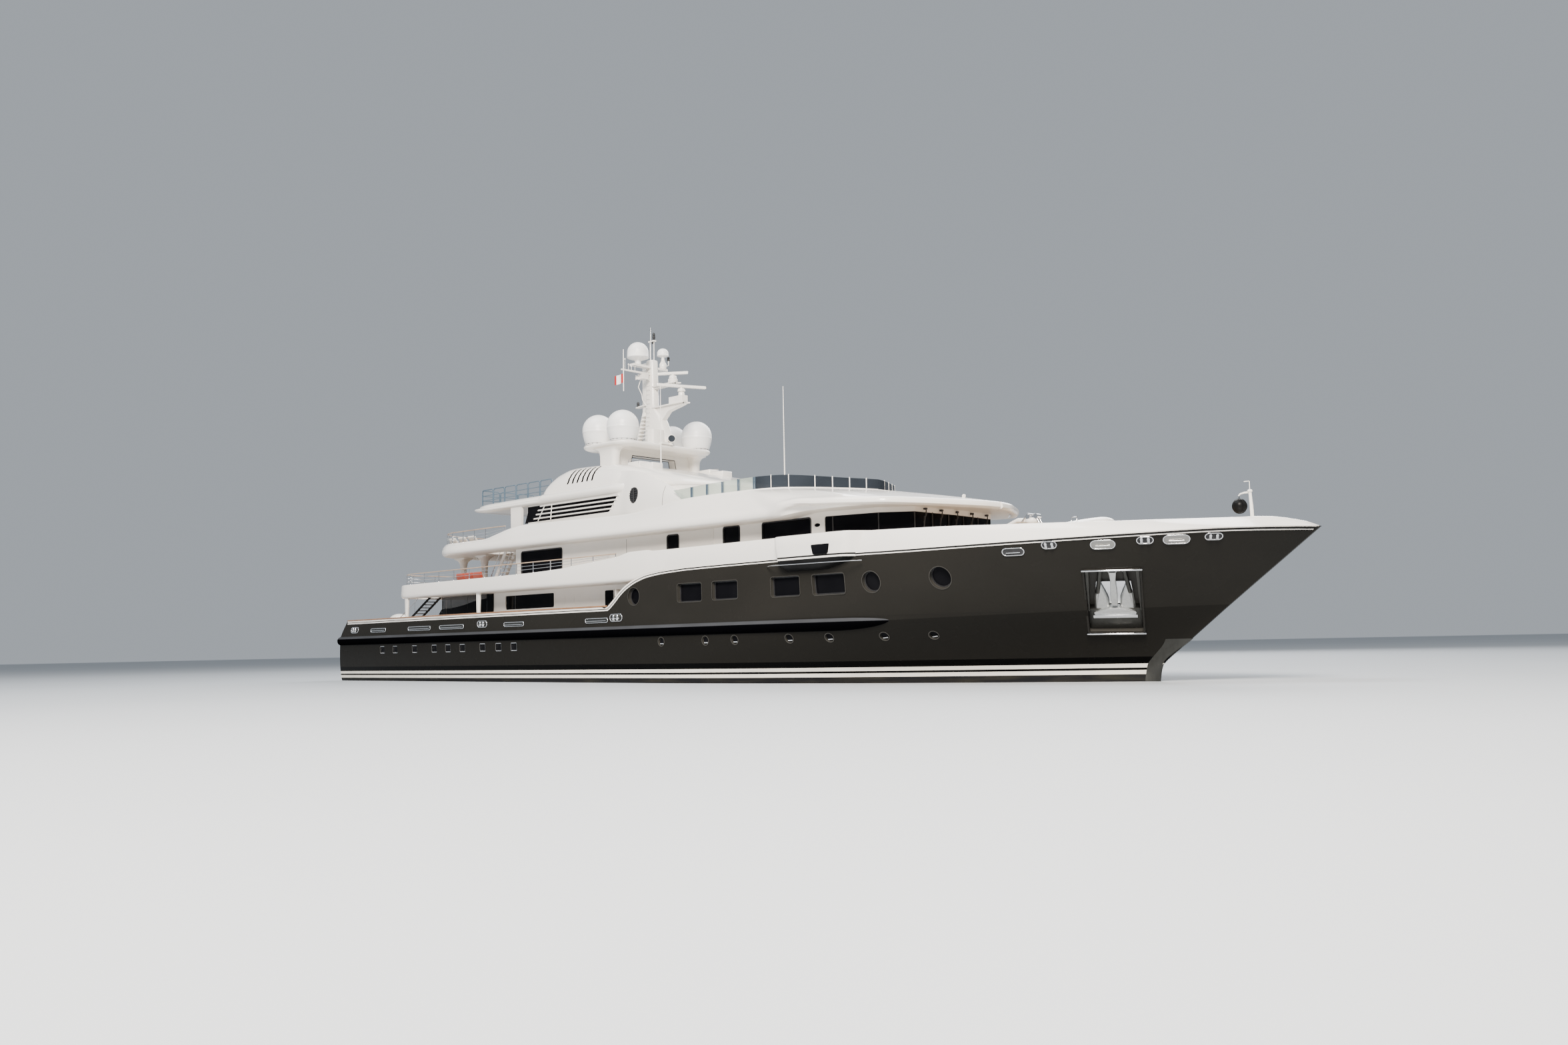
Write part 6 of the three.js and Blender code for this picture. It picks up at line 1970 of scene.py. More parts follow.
class YachtArch(YachtOperator):
    """Builds the arch with its saucer platform, the four domes, the lockers and the searchlight"""

    bl_idname = "yacht.arch"
    bl_label = "Arch And Domes"

    def execute(self, context):
        plan = [(-9.6, 0.0), (-9.6, 3.3), (-9.3, 3.85), (-8.8, 4.1), (-5.8, 4.1), (-5.3, 3.85), (-5.0, 3.3),
                (-5.0, 0.0)]
        outline = softened([(x, -b) for x, b in plan[1:-1]] + [(x, b) for x, b in reversed(plan[1:-1])], 0.6,
                           5)
        levels = ((0.62, 14.76), (0.36, 14.79), (0.16, 14.86), (0.04, 14.94), (0.0, 15.02), (0.03, 15.09),
                  (0.09, 15.12))
        form = Form().add(loft([[(x, y, z) for x, y in shrunk(outline, inset)] for inset, z in levels]))
        for side in (-1, 1):
            rings = []
            for z, grow in ((12.9, 1.04), (13.4, 1.0), (13.9, 1.0), (14.3, 1.02), (14.5, 1.08), (14.65, 1.2),
                            (14.74, 1.4), (14.8, 1.7)):
                plate = rounded_rect(1.55 * grow, 0.64 * grow, 0.28 * grow, 6)
                rings.append([(-7 + u, side * 3.5 + v, z) for u, v in plate])
            form.add(loft(rings))
        portal = [(-3.4, 13.0), (-3.4, 14.8), (3.4, 14.8), (3.4, 13.0), (2.2, 13.0), (1.84, 14.45),
                  (-1.84, 14.45), (-2.2, 13.0)]
        form.add(loft([[(x, u, v) for u, v in portal] for x in (-7.35, -6.75)]))
        make("arch_platform", form, use("white"), nodes=("radar_arch",), sharp=50)
        trim = Form()
        for x in (-7.36, -6.74):
            trim.add(tube([(x, -2.2, 13.0), (x, -1.84, 14.45), (x, 1.84, 14.45), (x, 2.2, 13.0)], 0.028, 6))
        rim = [(x, y, 15.125) for x, y in shrunk(outline, 0.16)]
        trim.add(tube(rim, 0.014, 6, looped=True))
        make("arch_trim", trim, use("rubber"))
        self.add_domes()
        self.add_lockers()
        return {"FINISHED"}

    @staticmethod
    def add_domes():
        profile = [(0.8, 0.0), (0.86, 0.02), (0.86, 0.06), (0.76, 0.07), (0.76, 0.12), (0.84, 0.13),
                   (0.87, 0.2), (0.94, 0.42),
                   (0.995, 0.66), (1.02, 0.84), (1.032, 0.86), (1.032, 0.9), (1.022, 0.92)]
        for k in range(1, 17):
            a = math.radians(-5 + 95 * k / 16)
            profile.append((1.03 * math.cos(a), 1.02 + 1.03 * math.sin(a)))
        for end, x in (("fore", -6.03), ("aft", -8.47)):
            for name, side in (("port", 1), ("starboard", -1)):
                form = Form()
                form.add(lathe(profile, (x, side * 3.23, PLATFORM_TOP), sides=56), 0)
                for k in range(16):
                    a = 2 * math.pi * k / 16
                    form.add(lathe([(0.028, 0), (0.028, 0.05), (0.015, 0.06)],
                                   (x + 0.82 * math.cos(a), side * 3.23 + 0.82 * math.sin(a),
                                    PLATFORM_TOP + 0.05), sides=8), 1)
                make(f"satellite_dome_{end}_{name}", form, use("gelcoat", "rubber"),
                     nodes=(f"dome_{end}_{name}",), sharp=50)

    @staticmethod
    def add_lockers():
        form = Form()
        form.add(plan_slab(softened([(-5.75, -1.5), (-5.1, -1.5), (-5.1, -0.5), (-5.75, -0.5)], 0.12), 15.1,
                           16.05), 0)
        form.add(block(-5.1, -4.9, -0.9, -0.3, 15.1, 15.25), 0)
        form.add(lathe([(0.16, 0), (0.14, 0.05), (0.12, 0.16)], (-4.98, -0.1, 15.1), sides=18), 0)
        form.add(lathe([(0.2, -0.22), (0.25, -0.16), (0.26, 0.1), (0.24, 0.12)], (-4.86, -0.12, 15.5),
                       (0.78, -0.62, 0.0), 26), 0)
        form.add(lathe([(0.02, 0.125), (0.225, 0.125), (0.225, 0.1)], (-4.86, -0.12, 15.5),
                       (0.78, -0.62, 0.0), 26), 1)
        make("platform_locker_and_searchlight", form, use("white", "dark_pane"),
             sharp=40)


# Flag: the height of its foot, and its height
FLAG_FOOT, FLAG_DROP = 19.12, 0.6


class YachtMast(YachtOperator):
    """Builds the mast with its yard, lights, ladder and aerials, the radar bars and the flag"""

    bl_idname = "yacht.mast"
    bl_label = "Mast"

    def execute(self, context):
        form = Form()
        # The column's sections: z, aft edge, fore edge, half width
        column = (
            (15.12, -7.2, -5.05, 0.42), (15.9, -7.2, -5.3, 0.41), (16.6, -7.2, -5.55, 0.38),
            (17.1, -7.2, -5.8, 0.35), (17.5, -7.2, -6.15, 0.32), (18.0, -7.2, -6.42, 0.31),
            (19.5, -7.18, -6.45, 0.3), (20.95, -7.15, -6.5, 0.29), (21.0, -7.1, -6.55, 0.26),
        )
        rings = []
        for z, aft, fore, half in column:
            plate = rounded_rect(fore - aft, 2 * half, min(0.16, half * 0.7), 5)
            rings.append([((aft + fore) / 2 + u, v, z) for u, v in plate])
        form.add(loft(rings), 0)
        form.add(tube([(-8.35, 0, 15.12), (-8.05, 0, 16.1), (-7.4, 0, 17.95)], 0.19, 16), 0)
        form.add(plan_slab(softened([(-7.66, -0.16), (-7.1, -0.2), (-7.1, 0.2), (-7.66, 0.16)], 0.08), 17.6,
                           20.9, 0.03), 0)
        for k in range(9):
            z = 15.35 + 0.24 * k
            form.add(block(mix(-8.2, -7.4, k / 10), -7.15, -0.3, 0.3, z, z + 0.06), 0)
        for k in range(18):
            z = 15.4 + 0.3 * k
            out = 0.44 if z < 16.5 else 0.36 if z < 18 else 0.31
            for side in (-1, 1):
                rung = [(-6.95, side * (out - 0.06), z), (-6.95, side * (out + 0.07), z),
                        (-6.7, side * (out + 0.07), z),
                        (-6.7, side * (out - 0.06), z)]
                form.add(tube(rung, 0.018, 6), 0)
        self.add_brackets(form)
        self.add_top(form)
        make("mast_column", form, use("white", "rubber", "gelcoat"), nodes=("mast",),
             sharp=45)
        self.add_scanners()
        self.add_flag()
        return {"FINISHED"}

    @staticmethod
    def add_brackets(form):
        """Arms for the radar bars, the aft light bracket and the yard."""
        upper = [(-6.62, 19.0), (-5.9, 19.02), (-4.55, 19.09), (-4.4, 19.12), (-4.4, 19.2), (-6.6, 19.2)]
        lower = [
            (-6.3, 16.4), (-5.6, 16.9), (-5.1, 17.35), (-3.75, 17.62), (-3.6, 17.68), (-3.6, 17.78),
            (-6.5, 17.78),
        ]
        for outline, half, tip in ((upper, 0.3, -4.4), (lower, 0.34, -3.6)):
            top = outline[-1][1]
            form.add(side_slab(softened(outline, 0.04, 2), -half * 0.55, half * 0.55), 0)
            plate = softened([(-6.6, -half), (tip + 0.1, -half), (tip, -half * 0.5), (tip, half * 0.5),
                              (tip + 0.1, half), (-6.6, half)], 0.15)
            form.add(plan_slab(plate, top - 0.07, top), 0)
            form.add(lathe([(0.05, 0), (0.05, 0.06), (0.02, 0.09)], (tip - 0.02, -half * 0.5, top - 0.12),
                           sides=10), 1)
        form.add(lathe([(0.3, 0), (0.32, 0.04), (0.32, 0.22), (0.26, 0.275)], (-4.8, 0, 19.19), sides=24), 0)
        form.add(block(-4.95, -3.68, -0.24, 0.24, 17.76, 18.22), 0)
        form.add(lathe([(0.2, 0), (0.2, 0.2), (0.16, 0.3)], (-4.0, 0, 18.18), sides=24), 0)
        shelf = softened([(-8.4, -0.12), (-7.1, -0.34), (-7.1, 0.34), (-8.4, 0.12)], 0.06)
        form.add(plan_slab(shelf, 17.98, 18.08, 0.02), 0)
        form.add(lathe([(0.08, 0), (0.1, 0.05), (0.1, 0.12), (0.07, 0.14), (0.09, 0.18), (0.09, 0.3),
                        (0.04, 0.36)], (-8.25, 0, 18.07), sides=16), 1)
        form.add(tube([(-6.7, 0.2, 20.02), (-6.7, -1.5, 20.02), (-6.7, -2.75, 20.0)], [0.08, 0.065, 0.05],
                      12), 0)
        form.add(tube([(-6.55, -2.7, 18.55), (-6.55, -2.7, 19.98), (-6.55, -2.7, 21.29)],
                      [0.03, 0.035, 0.022], 10), 0)
        for y, tall in ((-2.45, 0.75), (-2.15, 0.45), (-1.9, 0.35), (-1.6, 0.5)):
            form.add(tube([(-6.7, y, 20.02), (-6.7, y, 20.02 + tall)], 0.016, 6), 0)
            form.add(lathe([(0.03, 0), (0.045, 0.03), (0.03, 0.09), (0.01, 0.1)],
                           (-6.7, y, 20.02 + tall - 0.1), sides=12), 0)
        horn = [(0.05, 0), (0.07, 0.12), (0.13, 0.3), (0.16, 0.36), (0.14, 0.36), (0.03, 0.1)]
        form.add(lathe(horn, (-6.9, -0.9, 19.72), (-0.7, -0.7, 0.05), 20), 0)
        form.add(block(-7.05, -6.55, -1.05, -0.55, 19.62, 19.95), 0)
        form.add(tube([(-7.0, -0.85, 19.65), (-7.3, -0.8, 19.2), (-7.25, -0.55, 18.7), (-7.35, -0.4, 18.4),
                       (-7.15, -0.3, 18.0)],
                      0.03, 8), 0)

    @staticmethod
    def add_top(form):
        form.add(block(-7.05, -6.6, -1.75, 1.2, 20.42, 20.56), 0)
        shell = [(0.05, 0.0), (0.2, 0.02), (0.2, 0.32), (0.48, 0.42), (0.7, 0.5), (0.725, 0.53),
                 (0.725, 0.56), (0.71, 0.58)]
        for k in range(1, 13):
            a = math.radians(90 * k / 12)
            shell.append((0.71 * math.cos(a), 0.84 + 0.71 * math.sin(a)))
        form.add(lathe(shell, (-6.85, -1.2, 20.5), sides=44), 2)
        small = [(r * 0.54, h * 0.5) for r, h in shell]
        form.add(lathe(small, (-6.8, 0.95, 21.2), sides=36), 2)
        form.add(lathe([(0.2, 0), (0.24, 0.05), (0.24, 0.4), (0.18, 0.5), (0.12, 0.66), (0.12, 0.76)],
                       (-6.8, 0.95, 20.5), sides=24), 0)
        form.add(lathe([(0.06, 0), (0.1, 0.03), (0.1, 0.1), (0.06, 0.14), (0.09, 0.18), (0.09, 0.24),
                        (0.02, 0.28)], (-6.8, 1.45, 21.2), sides=16), 1)
        form.add(tube([(-6.8, 1.12, 20.75), (-6.8, 1.45, 20.9), (-6.8, 1.45, 21.22)], 0.03, 8), 0)
        for x in (-6.98, -6.62):
            form.add(tube([(x, 0, 20.9), (x, 0, 22.3)], 0.035, 8), 0)
        form.add(block(-7.08, -6.5, -0.1, 0.1, 22.26, 22.34), 0)
        form.add(lathe([(0.09, 0), (0.09, 0.1), (0.07, 0.12), (0.1, 0.16), (0.1, 0.3), (0.07, 0.32),
                        (0.09, 0.36), (0.09, 0.48),
                        (0.04, 0.54)], (-6.62, 0, 22.32), sides=18), 1)
        form.add(lathe([(0.07, 0), (0.1, 0.06), (0.1, 0.14), (0.03, 0.2)], (-6.7, 0, 22.12), sides=14), 1)
        form.add(tube([(-6.95, 0, 22.3), (-6.95, 0, 22.9), (-6.95, 0, 23.28)], [0.02, 0.015, 0.01], 8), 0)
        form.add(tube([(-7.05, 0, 23.12), (-6.85, 0, 23.12)], 0.01, 6), 1)

    @staticmethod
    def add_scanners():
        rest_angles = (("upper", -4.8, 19.47, 2.0, -55), ("lower", -4.0, 18.49, 3.35, -24))
        for name, x, z, span, rest in rest_angles:
            form = Form()
            drum = [(0.2, 0.0), (0.25, 0.02), (0.25, 0.1), (0.23, 0.12), (0.23, 0.17), (0.19, 0.2),
                    (0.1, 0.22), (0.1, 0.27)]
            form.add(lathe(drum, (0, 0, 0), sides=32), 0)
            section = [(0.1, 0.265), (0.12, 0.3), (0.1, 0.42), (0.03, 0.46), (-0.05, 0.455), (-0.09, 0.4),
                       (-0.1, 0.3), (-0.08, 0.265)]
            rings = []
            for y, grow in ((-span / 2, 0.82), (-span / 2 + 0.04, 1.0), (-span / 2 + 0.06, 1.0),
                            (span / 2 - 0.06, 1.0),
                            (span / 2 - 0.04, 1.0), (span / 2, 0.82)):
                rings.append([(u * grow, y, 0.36 + (v - 0.36) * grow) for u, v in section])
            form.add(loft(rings), 0)
            form.add(block(-0.11, -0.08, -0.2, 0.2, 0.3, 0.42), 1)
            turn = Matrix.Translation((x, 0, z)) @ Matrix.Rotation(math.radians(rest), 4, "Z")
            form.points = [tuple(turn @ Vector(p)) for p in form.points]
            make(f"radar_bar_{name}", form, use("white", "rubber"), body=f"scanner_{name}",
                 nodes=(f"radar_scanner_{name}",), sharp=45)

    @staticmethod
    def add_flag():
        """A plain striped flag that hangs from the rod at the yard's end and curls aft in a light wind."""
        length, drop, columns, rows = 0.96, FLAG_DROP, 40, 20
        spots = [Vector((0.0, 0.0))]
        for i in range(columns):
            t = i / columns
            heading = 0.75 * math.sin(7.5 * t) * t + 0.1
            spots.append(spots[-1] + Vector((-math.cos(heading), math.sin(heading))) * (length / columns))
        points, faces = [], []
        for layer in (0, 1):
            for i, spot in enumerate(spots):
                for j in range(rows + 1):
                    sag = 0.07 * (i / columns) ** 1.5
                    y = -2.7 + spot.y + 0.002 * layer
                    points.append((-6.59 + spot.x, y, FLAG_FOOT + drop * j / rows - sag))
        count = (columns + 1) * (rows + 1)
        for layer in (0, 1):
            for i in range(columns):
                for j in range(rows):
                    a = layer * count + i * (rows + 1) + j
                    faces.append((a, a + rows + 1, a + rows + 2, a + 1))
        edge = [i * (rows + 1) for i in range(columns + 1)] + [columns * (rows + 1) + j
                                                               for j in range(1, rows + 1)]
        edge += [i * (rows + 1) + rows for i in range(columns - 1, -1, -1)] + list(range(rows - 1, 0, -1))
        for k, a in enumerate(edge):
            b = edge[(k + 1) % len(edge)]
            faces.append((a, b, b + count, a + count))
        form = Form().add((points, faces))
        flag = mesh_object("flag_cloth", form, use("flag"))
        layer = flag.data.uv_layers.new(name="along_the_fly")
        for loop in flag.data.loops:
            column = (loop.vertex_index % count) // (rows + 1)
            layer.data[loop.index].uv = (column / columns, (loop.vertex_index % (rows + 1)) / rows)
        fit(flag)


class YachtGearSizes(bpy.types.PropertyGroup):
    """Sizes of the rails, stairs and furniture, in metres of the ship."""

    cap: FloatProperty(name="Rail cap", description="Half width of a rail's wooden cap", unit="LENGTH",
                       default=0.055,
                       min=0.02, max=0.06)
    post: FloatProperty(name="Rail post", description="Radius of a rail's posts", unit="LENGTH", default=0.03,
                        min=0.01, max=0.05)
    wire: FloatProperty(name="Rail wire", description="Radius of a rail's wires", unit="LENGTH",
                        default=0.014,
                        min=0.004, max=0.03)
    tread: FloatProperty(name="Stair tread", description="Thickness of a stair's treads", unit="LENGTH",
                         default=0.05,
                         min=0.02, max=0.06)


class YachtWings(YachtOperator):
    """Builds the wing stations that stand out from the bulwark beside the bridge"""

    bl_idname = "yacht.wings"
    bl_label = "Wing Stations"

    # Bands of the shell from its foot up: the slot, then z, aft end, fore end and half breadth of each level
    BANDS = (
        # The tray at the foot, hull-coloured on the ship, takes the blacker line paint: painted shade under
        # the station
        (1, ((5.76, 11.25, 14.65, 7.02), (5.8, 11.15, 14.8, 7.12), (6.08, 10.92, 15.7, 7.42),
             (6.32, 10.85, 16.2, 7.47))),
        (0, ((6.32, 10.84, 16.25, 7.5), (6.41, 10.84, 16.25, 7.505))),
        (1, ((6.41, 10.84, 16.25, 7.49), (6.49, 10.82, 16.3, 7.495))),
        (0, ((6.49, 10.8, 16.32, 7.51), (7.0, 10.74, 16.45, 7.545), (7.48, 10.72, 16.55, 7.55),
             (7.56, 10.76, 16.5, 7.51), (7.585, 10.84, 16.4, 7.42))),
    )

    def execute(self, context):
        form = Form()
        for slot, levels in self.BANDS:
            rings = []
            for z, x0, x1, y in levels:
                plan = [
                    (x0, 6.3), (x0 + 0.12, y - 0.03), (x0 + 1.2, y), (x1 - 1.35, y), (x1 - 0.75, y - 0.1),
                    (x1, 6.4),
                    (x1, 6.3),
                ]
                rings.append([(u, v, z) for u, v in softened(plan, 0.3, 4)])
            form.add(loft(rings), slot)
        pane = softened([(13.5, 7.0), (13.62, 6.53), (14.53, 6.53), (14.65, 7.0)], 0.08)
        form.add(side_slab(shrunk(pane, -0.04), 7.4, 7.545), 1)
        form.add(side_slab(pane, 7.4, 7.56), 2)
        foot = [
            (9.95, 7.02, 6.12), (10.3, 7.2, 6.115), (10.8, 7.46, 6.11), (11.2, 7.53, 6.1), (14.8, 7.56, 6.07),
            (15.6, 7.45, 6.07), (16.4, 7.12, 6.07),
        ]
        form.add(tube(foot, 0.025, 8), 3)
        for name, shell in (("port", form), ("starboard", form.starboard())):
            make(f"wing_station_shell_{name}", shell, use("white", "trim_black", "glass", "steel"),
                 nodes=(f"wing_station_{name}",), sharp=40)
        return {"FINISHED"}


def rail_line(path, step):
    """Points along a path of x, half breadth and height, step metres apart, with each leg's ends kept."""
    spots = []
    for a, b in zip(path, path[1:]):
        a, b = Vector(a), Vector(b)
        count = max(1, round((b - a).length / step))
        spots += [a.lerp(b, k / count) for k in range(count)]
    return spots + [Vector(path[-1])]


class YachtRails(YachtOperator):
    """Builds the deck rails with wooden caps and wires, and the hooped rail on the roof"""

    bl_idname = "yacht.rails"
    bl_label = "Rails"

    PATHS = {
        "upper_deck_rail": ([(-2.6, 6.75), (-9, 6.7), (-18, 6.65), (-25.6, 6.56), (-26.6, 6.2),
                             (-27.05, 5.4), (-27.05, 0.04)],
                            7.6, UPPER_TOP, 1.9, (0.36, 0.68)),
        "sun_deck_rail": ([(-14.9, 5.95), (-17, 6.05), (-21.1, 6.0), (-22.25, 5.65), (-23.05, 4.95),
                           (-23.75, 3.7), (-24, 2), (-24, 0.04)],
                          10.27, SUN_TOP_Z, 1.5, (0.3, 0.6)),
    }

    def execute(self, context):
        sizes = context.scene.yacht_gear
        for name, (plan, top, base, spacing, wires) in self.PATHS.items():
            form = Form()
            path = [(x, y, top) for x, y in plan]
            form.add(tube(path, sizes.cap, 12, flat=0.6), 0)
            for spot in rail_line(path, spacing):
                foot = min(base(spot.x), top - 0.06)
                form.add(tube([(spot.x, spot.y, foot), (spot.x, spot.y, top)], sizes.post, 8), 1)
                form.add(lathe([(0.06, 0), (0.055, 0.03), (0.03, 0.045)], (spot.x, spot.y, foot - 0.01),
                               sides=12), 1)
            for share in wires:
                line = []
                for spot in rail_line(path, 0.6):
                    foot = base(spot.x)
                    z = foot + (top - foot) * share
                    if top - foot > 0.22:
                        line.append((spot.x, spot.y, z))
                form.add(tube(line, sizes.wire, 6), 1)
            self.pair(name, form, ("timber_cap", "steel"))
        self.add_roof_rail()
        return {"FINISHED"}

    @staticmethod
    def pair(name, form, finishes):
        for side, half in (("port", form), ("starboard", form.starboard())):
            make(f"{name}_tubes_{side}", half, use(*finishes), nodes=(f"{name}_{side}",))

    def add_roof_rail(self):
        form = Form()
        ends = [(-19.7, 4.5), (-11.55, 4.6)]
        count = 6

        def hoop(a, b, low, top):
            run = (b - a).normalized()
            a, b = a + run * 0.035, b - run * 0.035
            up = Vector((0, 0, 1))
            path = [a + up * low(a), a + up * (top - 0.16), a + up * (top - 0.04) + run * 0.04,
                    a + up * top + run * 0.16,
                    b + up * top - run * 0.16, b + up * (top - 0.04) - run * 0.04, b + up * (top - 0.16),
                    b + up * low(b)]
            form.add(tube(path, 0.04, 8), 0)
            for share in (0.3, 0.62):
                form.add(tube([p + up * mix(low(p), top, share) for p in (a, b)], 0.028, 8), 0)

        def deck(spot):
            return 12.16 if abs(spot.y) > 3.6 else max(12.16, ROOF_CREST(spot.x) - 0.03)

        start, end = (Vector((x, y, 0)) for x, y in ends)
        for k in range(count):
            hoop(start.lerp(end, k / count), start.lerp(end, (k + 1) / count), deck, 13.2)
        for k in range(3):
            hoop(Vector((-19.7, 4.5 - 1.5 * k, 0)), Vector((-19.7, 3.02 - 1.5 * k, 0)), deck, 13.2)
        self.pair("roof_rail", form, ("rail_blue",))


class YachtSupports(YachtOperator):
    """Builds the flared columns and the tapered pillars under the after decks, and the glass screens"""

    bl_idname = "yacht.supports"
    bl_label = "Columns And Pillars"

    def execute(self, context):
        profile = ((0.0, 0.27, 0.27), (0.06, 0.27, 0.27), (0.08, 0.24, 0.24), (0.6, 0.225, 0.225),
                   (1.3, 0.22, 0.22),
                   (1.75, 0.235, 0.23), (2.05, 0.27, 0.24), (2.22, 0.34, 0.24), (2.32, 0.46, 0.22),
                   (2.36, 0.62, 0.16),
                   (2.448, 0.64, 0.12))
        for side, name in ((1, "port"), (-1, "starboard")):
            for x, y, place in ((-23.35, 3.6, "aft"), (-20.2, 3.95, "fore")):
                rings = []
                for z, half, corner in profile:
                    plan = rounded_rect(2 * half, 2 * min(half, 0.42), min(corner, half, 0.42) - 0.002, 6)
                    rings.append([(x + u, side * y + v, UPPER_DECK + 0.002 + z) for u, v in plan])
                make(f"waisted_column_{place}_{name}", Form().add(loft(rings)), use("white"),
                     nodes=(f"column_{place}_{name}",), sharp=40)
            for x, place in ((-26.15, "aft"), (-17.2, "fore")):
                rings = []
                for z, half in ((4.56, 0.12), (5.0, 0.14), (5.5, 0.165), (5.898, 0.185)):
                    plan = rounded_rect(2 * half, 0.2, 0.06)
                    rings.append([(x + u, side * 6.45 + v, z) for u, v in plan])
                form = Form().add(loft(rings), 0)
                form.add(plan_slab([(x + u, side * 6.45 + v) for u, v in rounded_rect(0.34, 0.26, 0.08)],
                                   4.55, 4.58), 1)
                make(f"tapered_pillar_{place}_{name}", form, use("white", "steel"),
                     nodes=(f"pillar_{place}_{name}",))
        self.add_screens()
        return {"FINISHED"}

    @staticmethod
    def add_screens():
        """Curved wind screens beside the aft deck: clear above and black below a rising line."""
        rise = Curve([(-24.4, 4.75), (-23.8, 5.05), (-22.4, 5.08), (-20.8, 5.22), (-19.4, 5.45),
                      (-18.0, 5.6)])
        plan = Curve([(-24.4, 4.9), (-23.0, 5.2), (-20, 5.3), (-18.0, 5.25)])
        form = Form()
        for slot, low, high in ((0, rise, lambda x: 5.88), (1, lambda x: MAIN_DECK + 0.01, rise)):
            rings = []
            for x in spread(-23.8 if slot == 0 else -24.4, -18.02, 24):
                b = plan(x)
                rings.append([(x, b, low(x)), (x, b + 0.03, low(x)), (x, b + 0.03, high(x)), (x, b, high(x))])
            form.add(loft(rings), slot)
        for x in (-23.8, -22.4, -20.2):
            form.add(tube([(x, plan(x) + 0.015, 5.0), (x, plan(x) + 0.015, 5.9)], 0.02, 6), 2)
        make("aft_deck_screens", form.both_sides(), use("smoked", "glass", "rubber"))


class YachtStairs(YachtOperator):
    """Builds the open stairs from the main deck to the sun deck, with dark strings and handrails"""

    bl_idname = "yacht.stairs"
    bl_label = "Stairs"

    FLIGHTS = (
        ("aft_stair", -29.3, -24.2, 4.6, 5.5, MAIN_DECK, UPPER_DECK, 13, "trim_black"),
        ("sun_stair", -18.4, -16.4, 3.9, 4.75, UPPER_DECK, SUN_DECK, 9, "white"),
    )

    def execute(self, context):
        thick = context.scene.yacht_gear.tread
        for name, x0, x1, y0, y1, z0, z1, steps, paint in self.FLIGHTS:
            form = Form()
            string = softened([(x0, z0 + 0.002), (x0 + 0.3, z0 + 0.002), (x1 + 0.18, z1 - 0.01),
                               (x1 - 0.12, z1 - 0.01)], 0.04)
            for y in (y0 + 0.03, y1 - 0.03):
                form.add(side_slab(string, y - 0.03, y + 0.03), 0)
            for i in range(1, steps + 1):
                z = z0 + (z1 - z0) * i / (steps + 1)
                x = x0 + 0.1 + (x1 - x0) * i / (steps + 1)
                form.add(block(x - 0.1, x + 0.2, y0 + 0.05, y1 - 0.05, z - thick, z - 0.012), 1)
                form.add(block(x - 0.09, x + 0.19, y0 + 0.07, y1 - 0.07, z - 0.014, z), 2)
            for y in (y0 - 0.01, y1 + 0.01):
                line = [(x0 + 0.1, y, z0 + 0.75), (x0 + 0.2, y, z0 + 0.9), (x1 - 0.1, y, z1 + 0.72),
                        (x1 + 0.15, y, z1 + 0.75)]
                form.add(tube(line, 0.024, 8), 3)
                for t in (0.08, 0.5, 0.94):
                    x, z = mix(x0 + 0.15, x1, t), mix(z0, z1, t)
                    form.add(tube([(x, y, z + 0.02), (x, y, z + 0.82)], 0.02, 8), 3)
            for side, half in (("port", form), ("starboard", form.starboard())):
                make(f"{name}_flight_{side}", half, use(paint, paint, "timber", "steel"),
                     nodes=(f"{name}_{side}",))
        return {"FINISHED"}


def pad(length, width, thick, crown=0.35, sides=9, rows=12):
    """Stuffed pad about the origin, resting on z 0, with crowned faces, sides drawn in and a piped seam."""
    rings = []
    corner = 0.16 * min(length, width)
    base = rounded_rect(length, width, corner, sides)
    for k in range(rows + 1):
        a = math.pi * k / rows - math.pi / 2
        scale = max(math.cos(a), 0.001) ** 0.32
        ring = []
        for u, v in base:
            along = 1 - abs(abs(u) / (length / 2) - abs(v) / (width / 2))
            pinch = 1 - 0.035 * (1 - clamp(along)) * math.cos(a)
            lift = thick * crown * (1 - scale) * (1 if a > 0 else 0.15)
            ring.append((u * scale * pinch, v * scale * pinch, thick / 2 + thick / 2 * math.sin(a) + lift))
        rings.append(ring)
    seam = [(u * 0.999, v * 0.999, thick / 2) for u, v, _ in rings[rows // 2]]
    return [loft(rings), tube(seam, 0.012, 6, looped=True)]


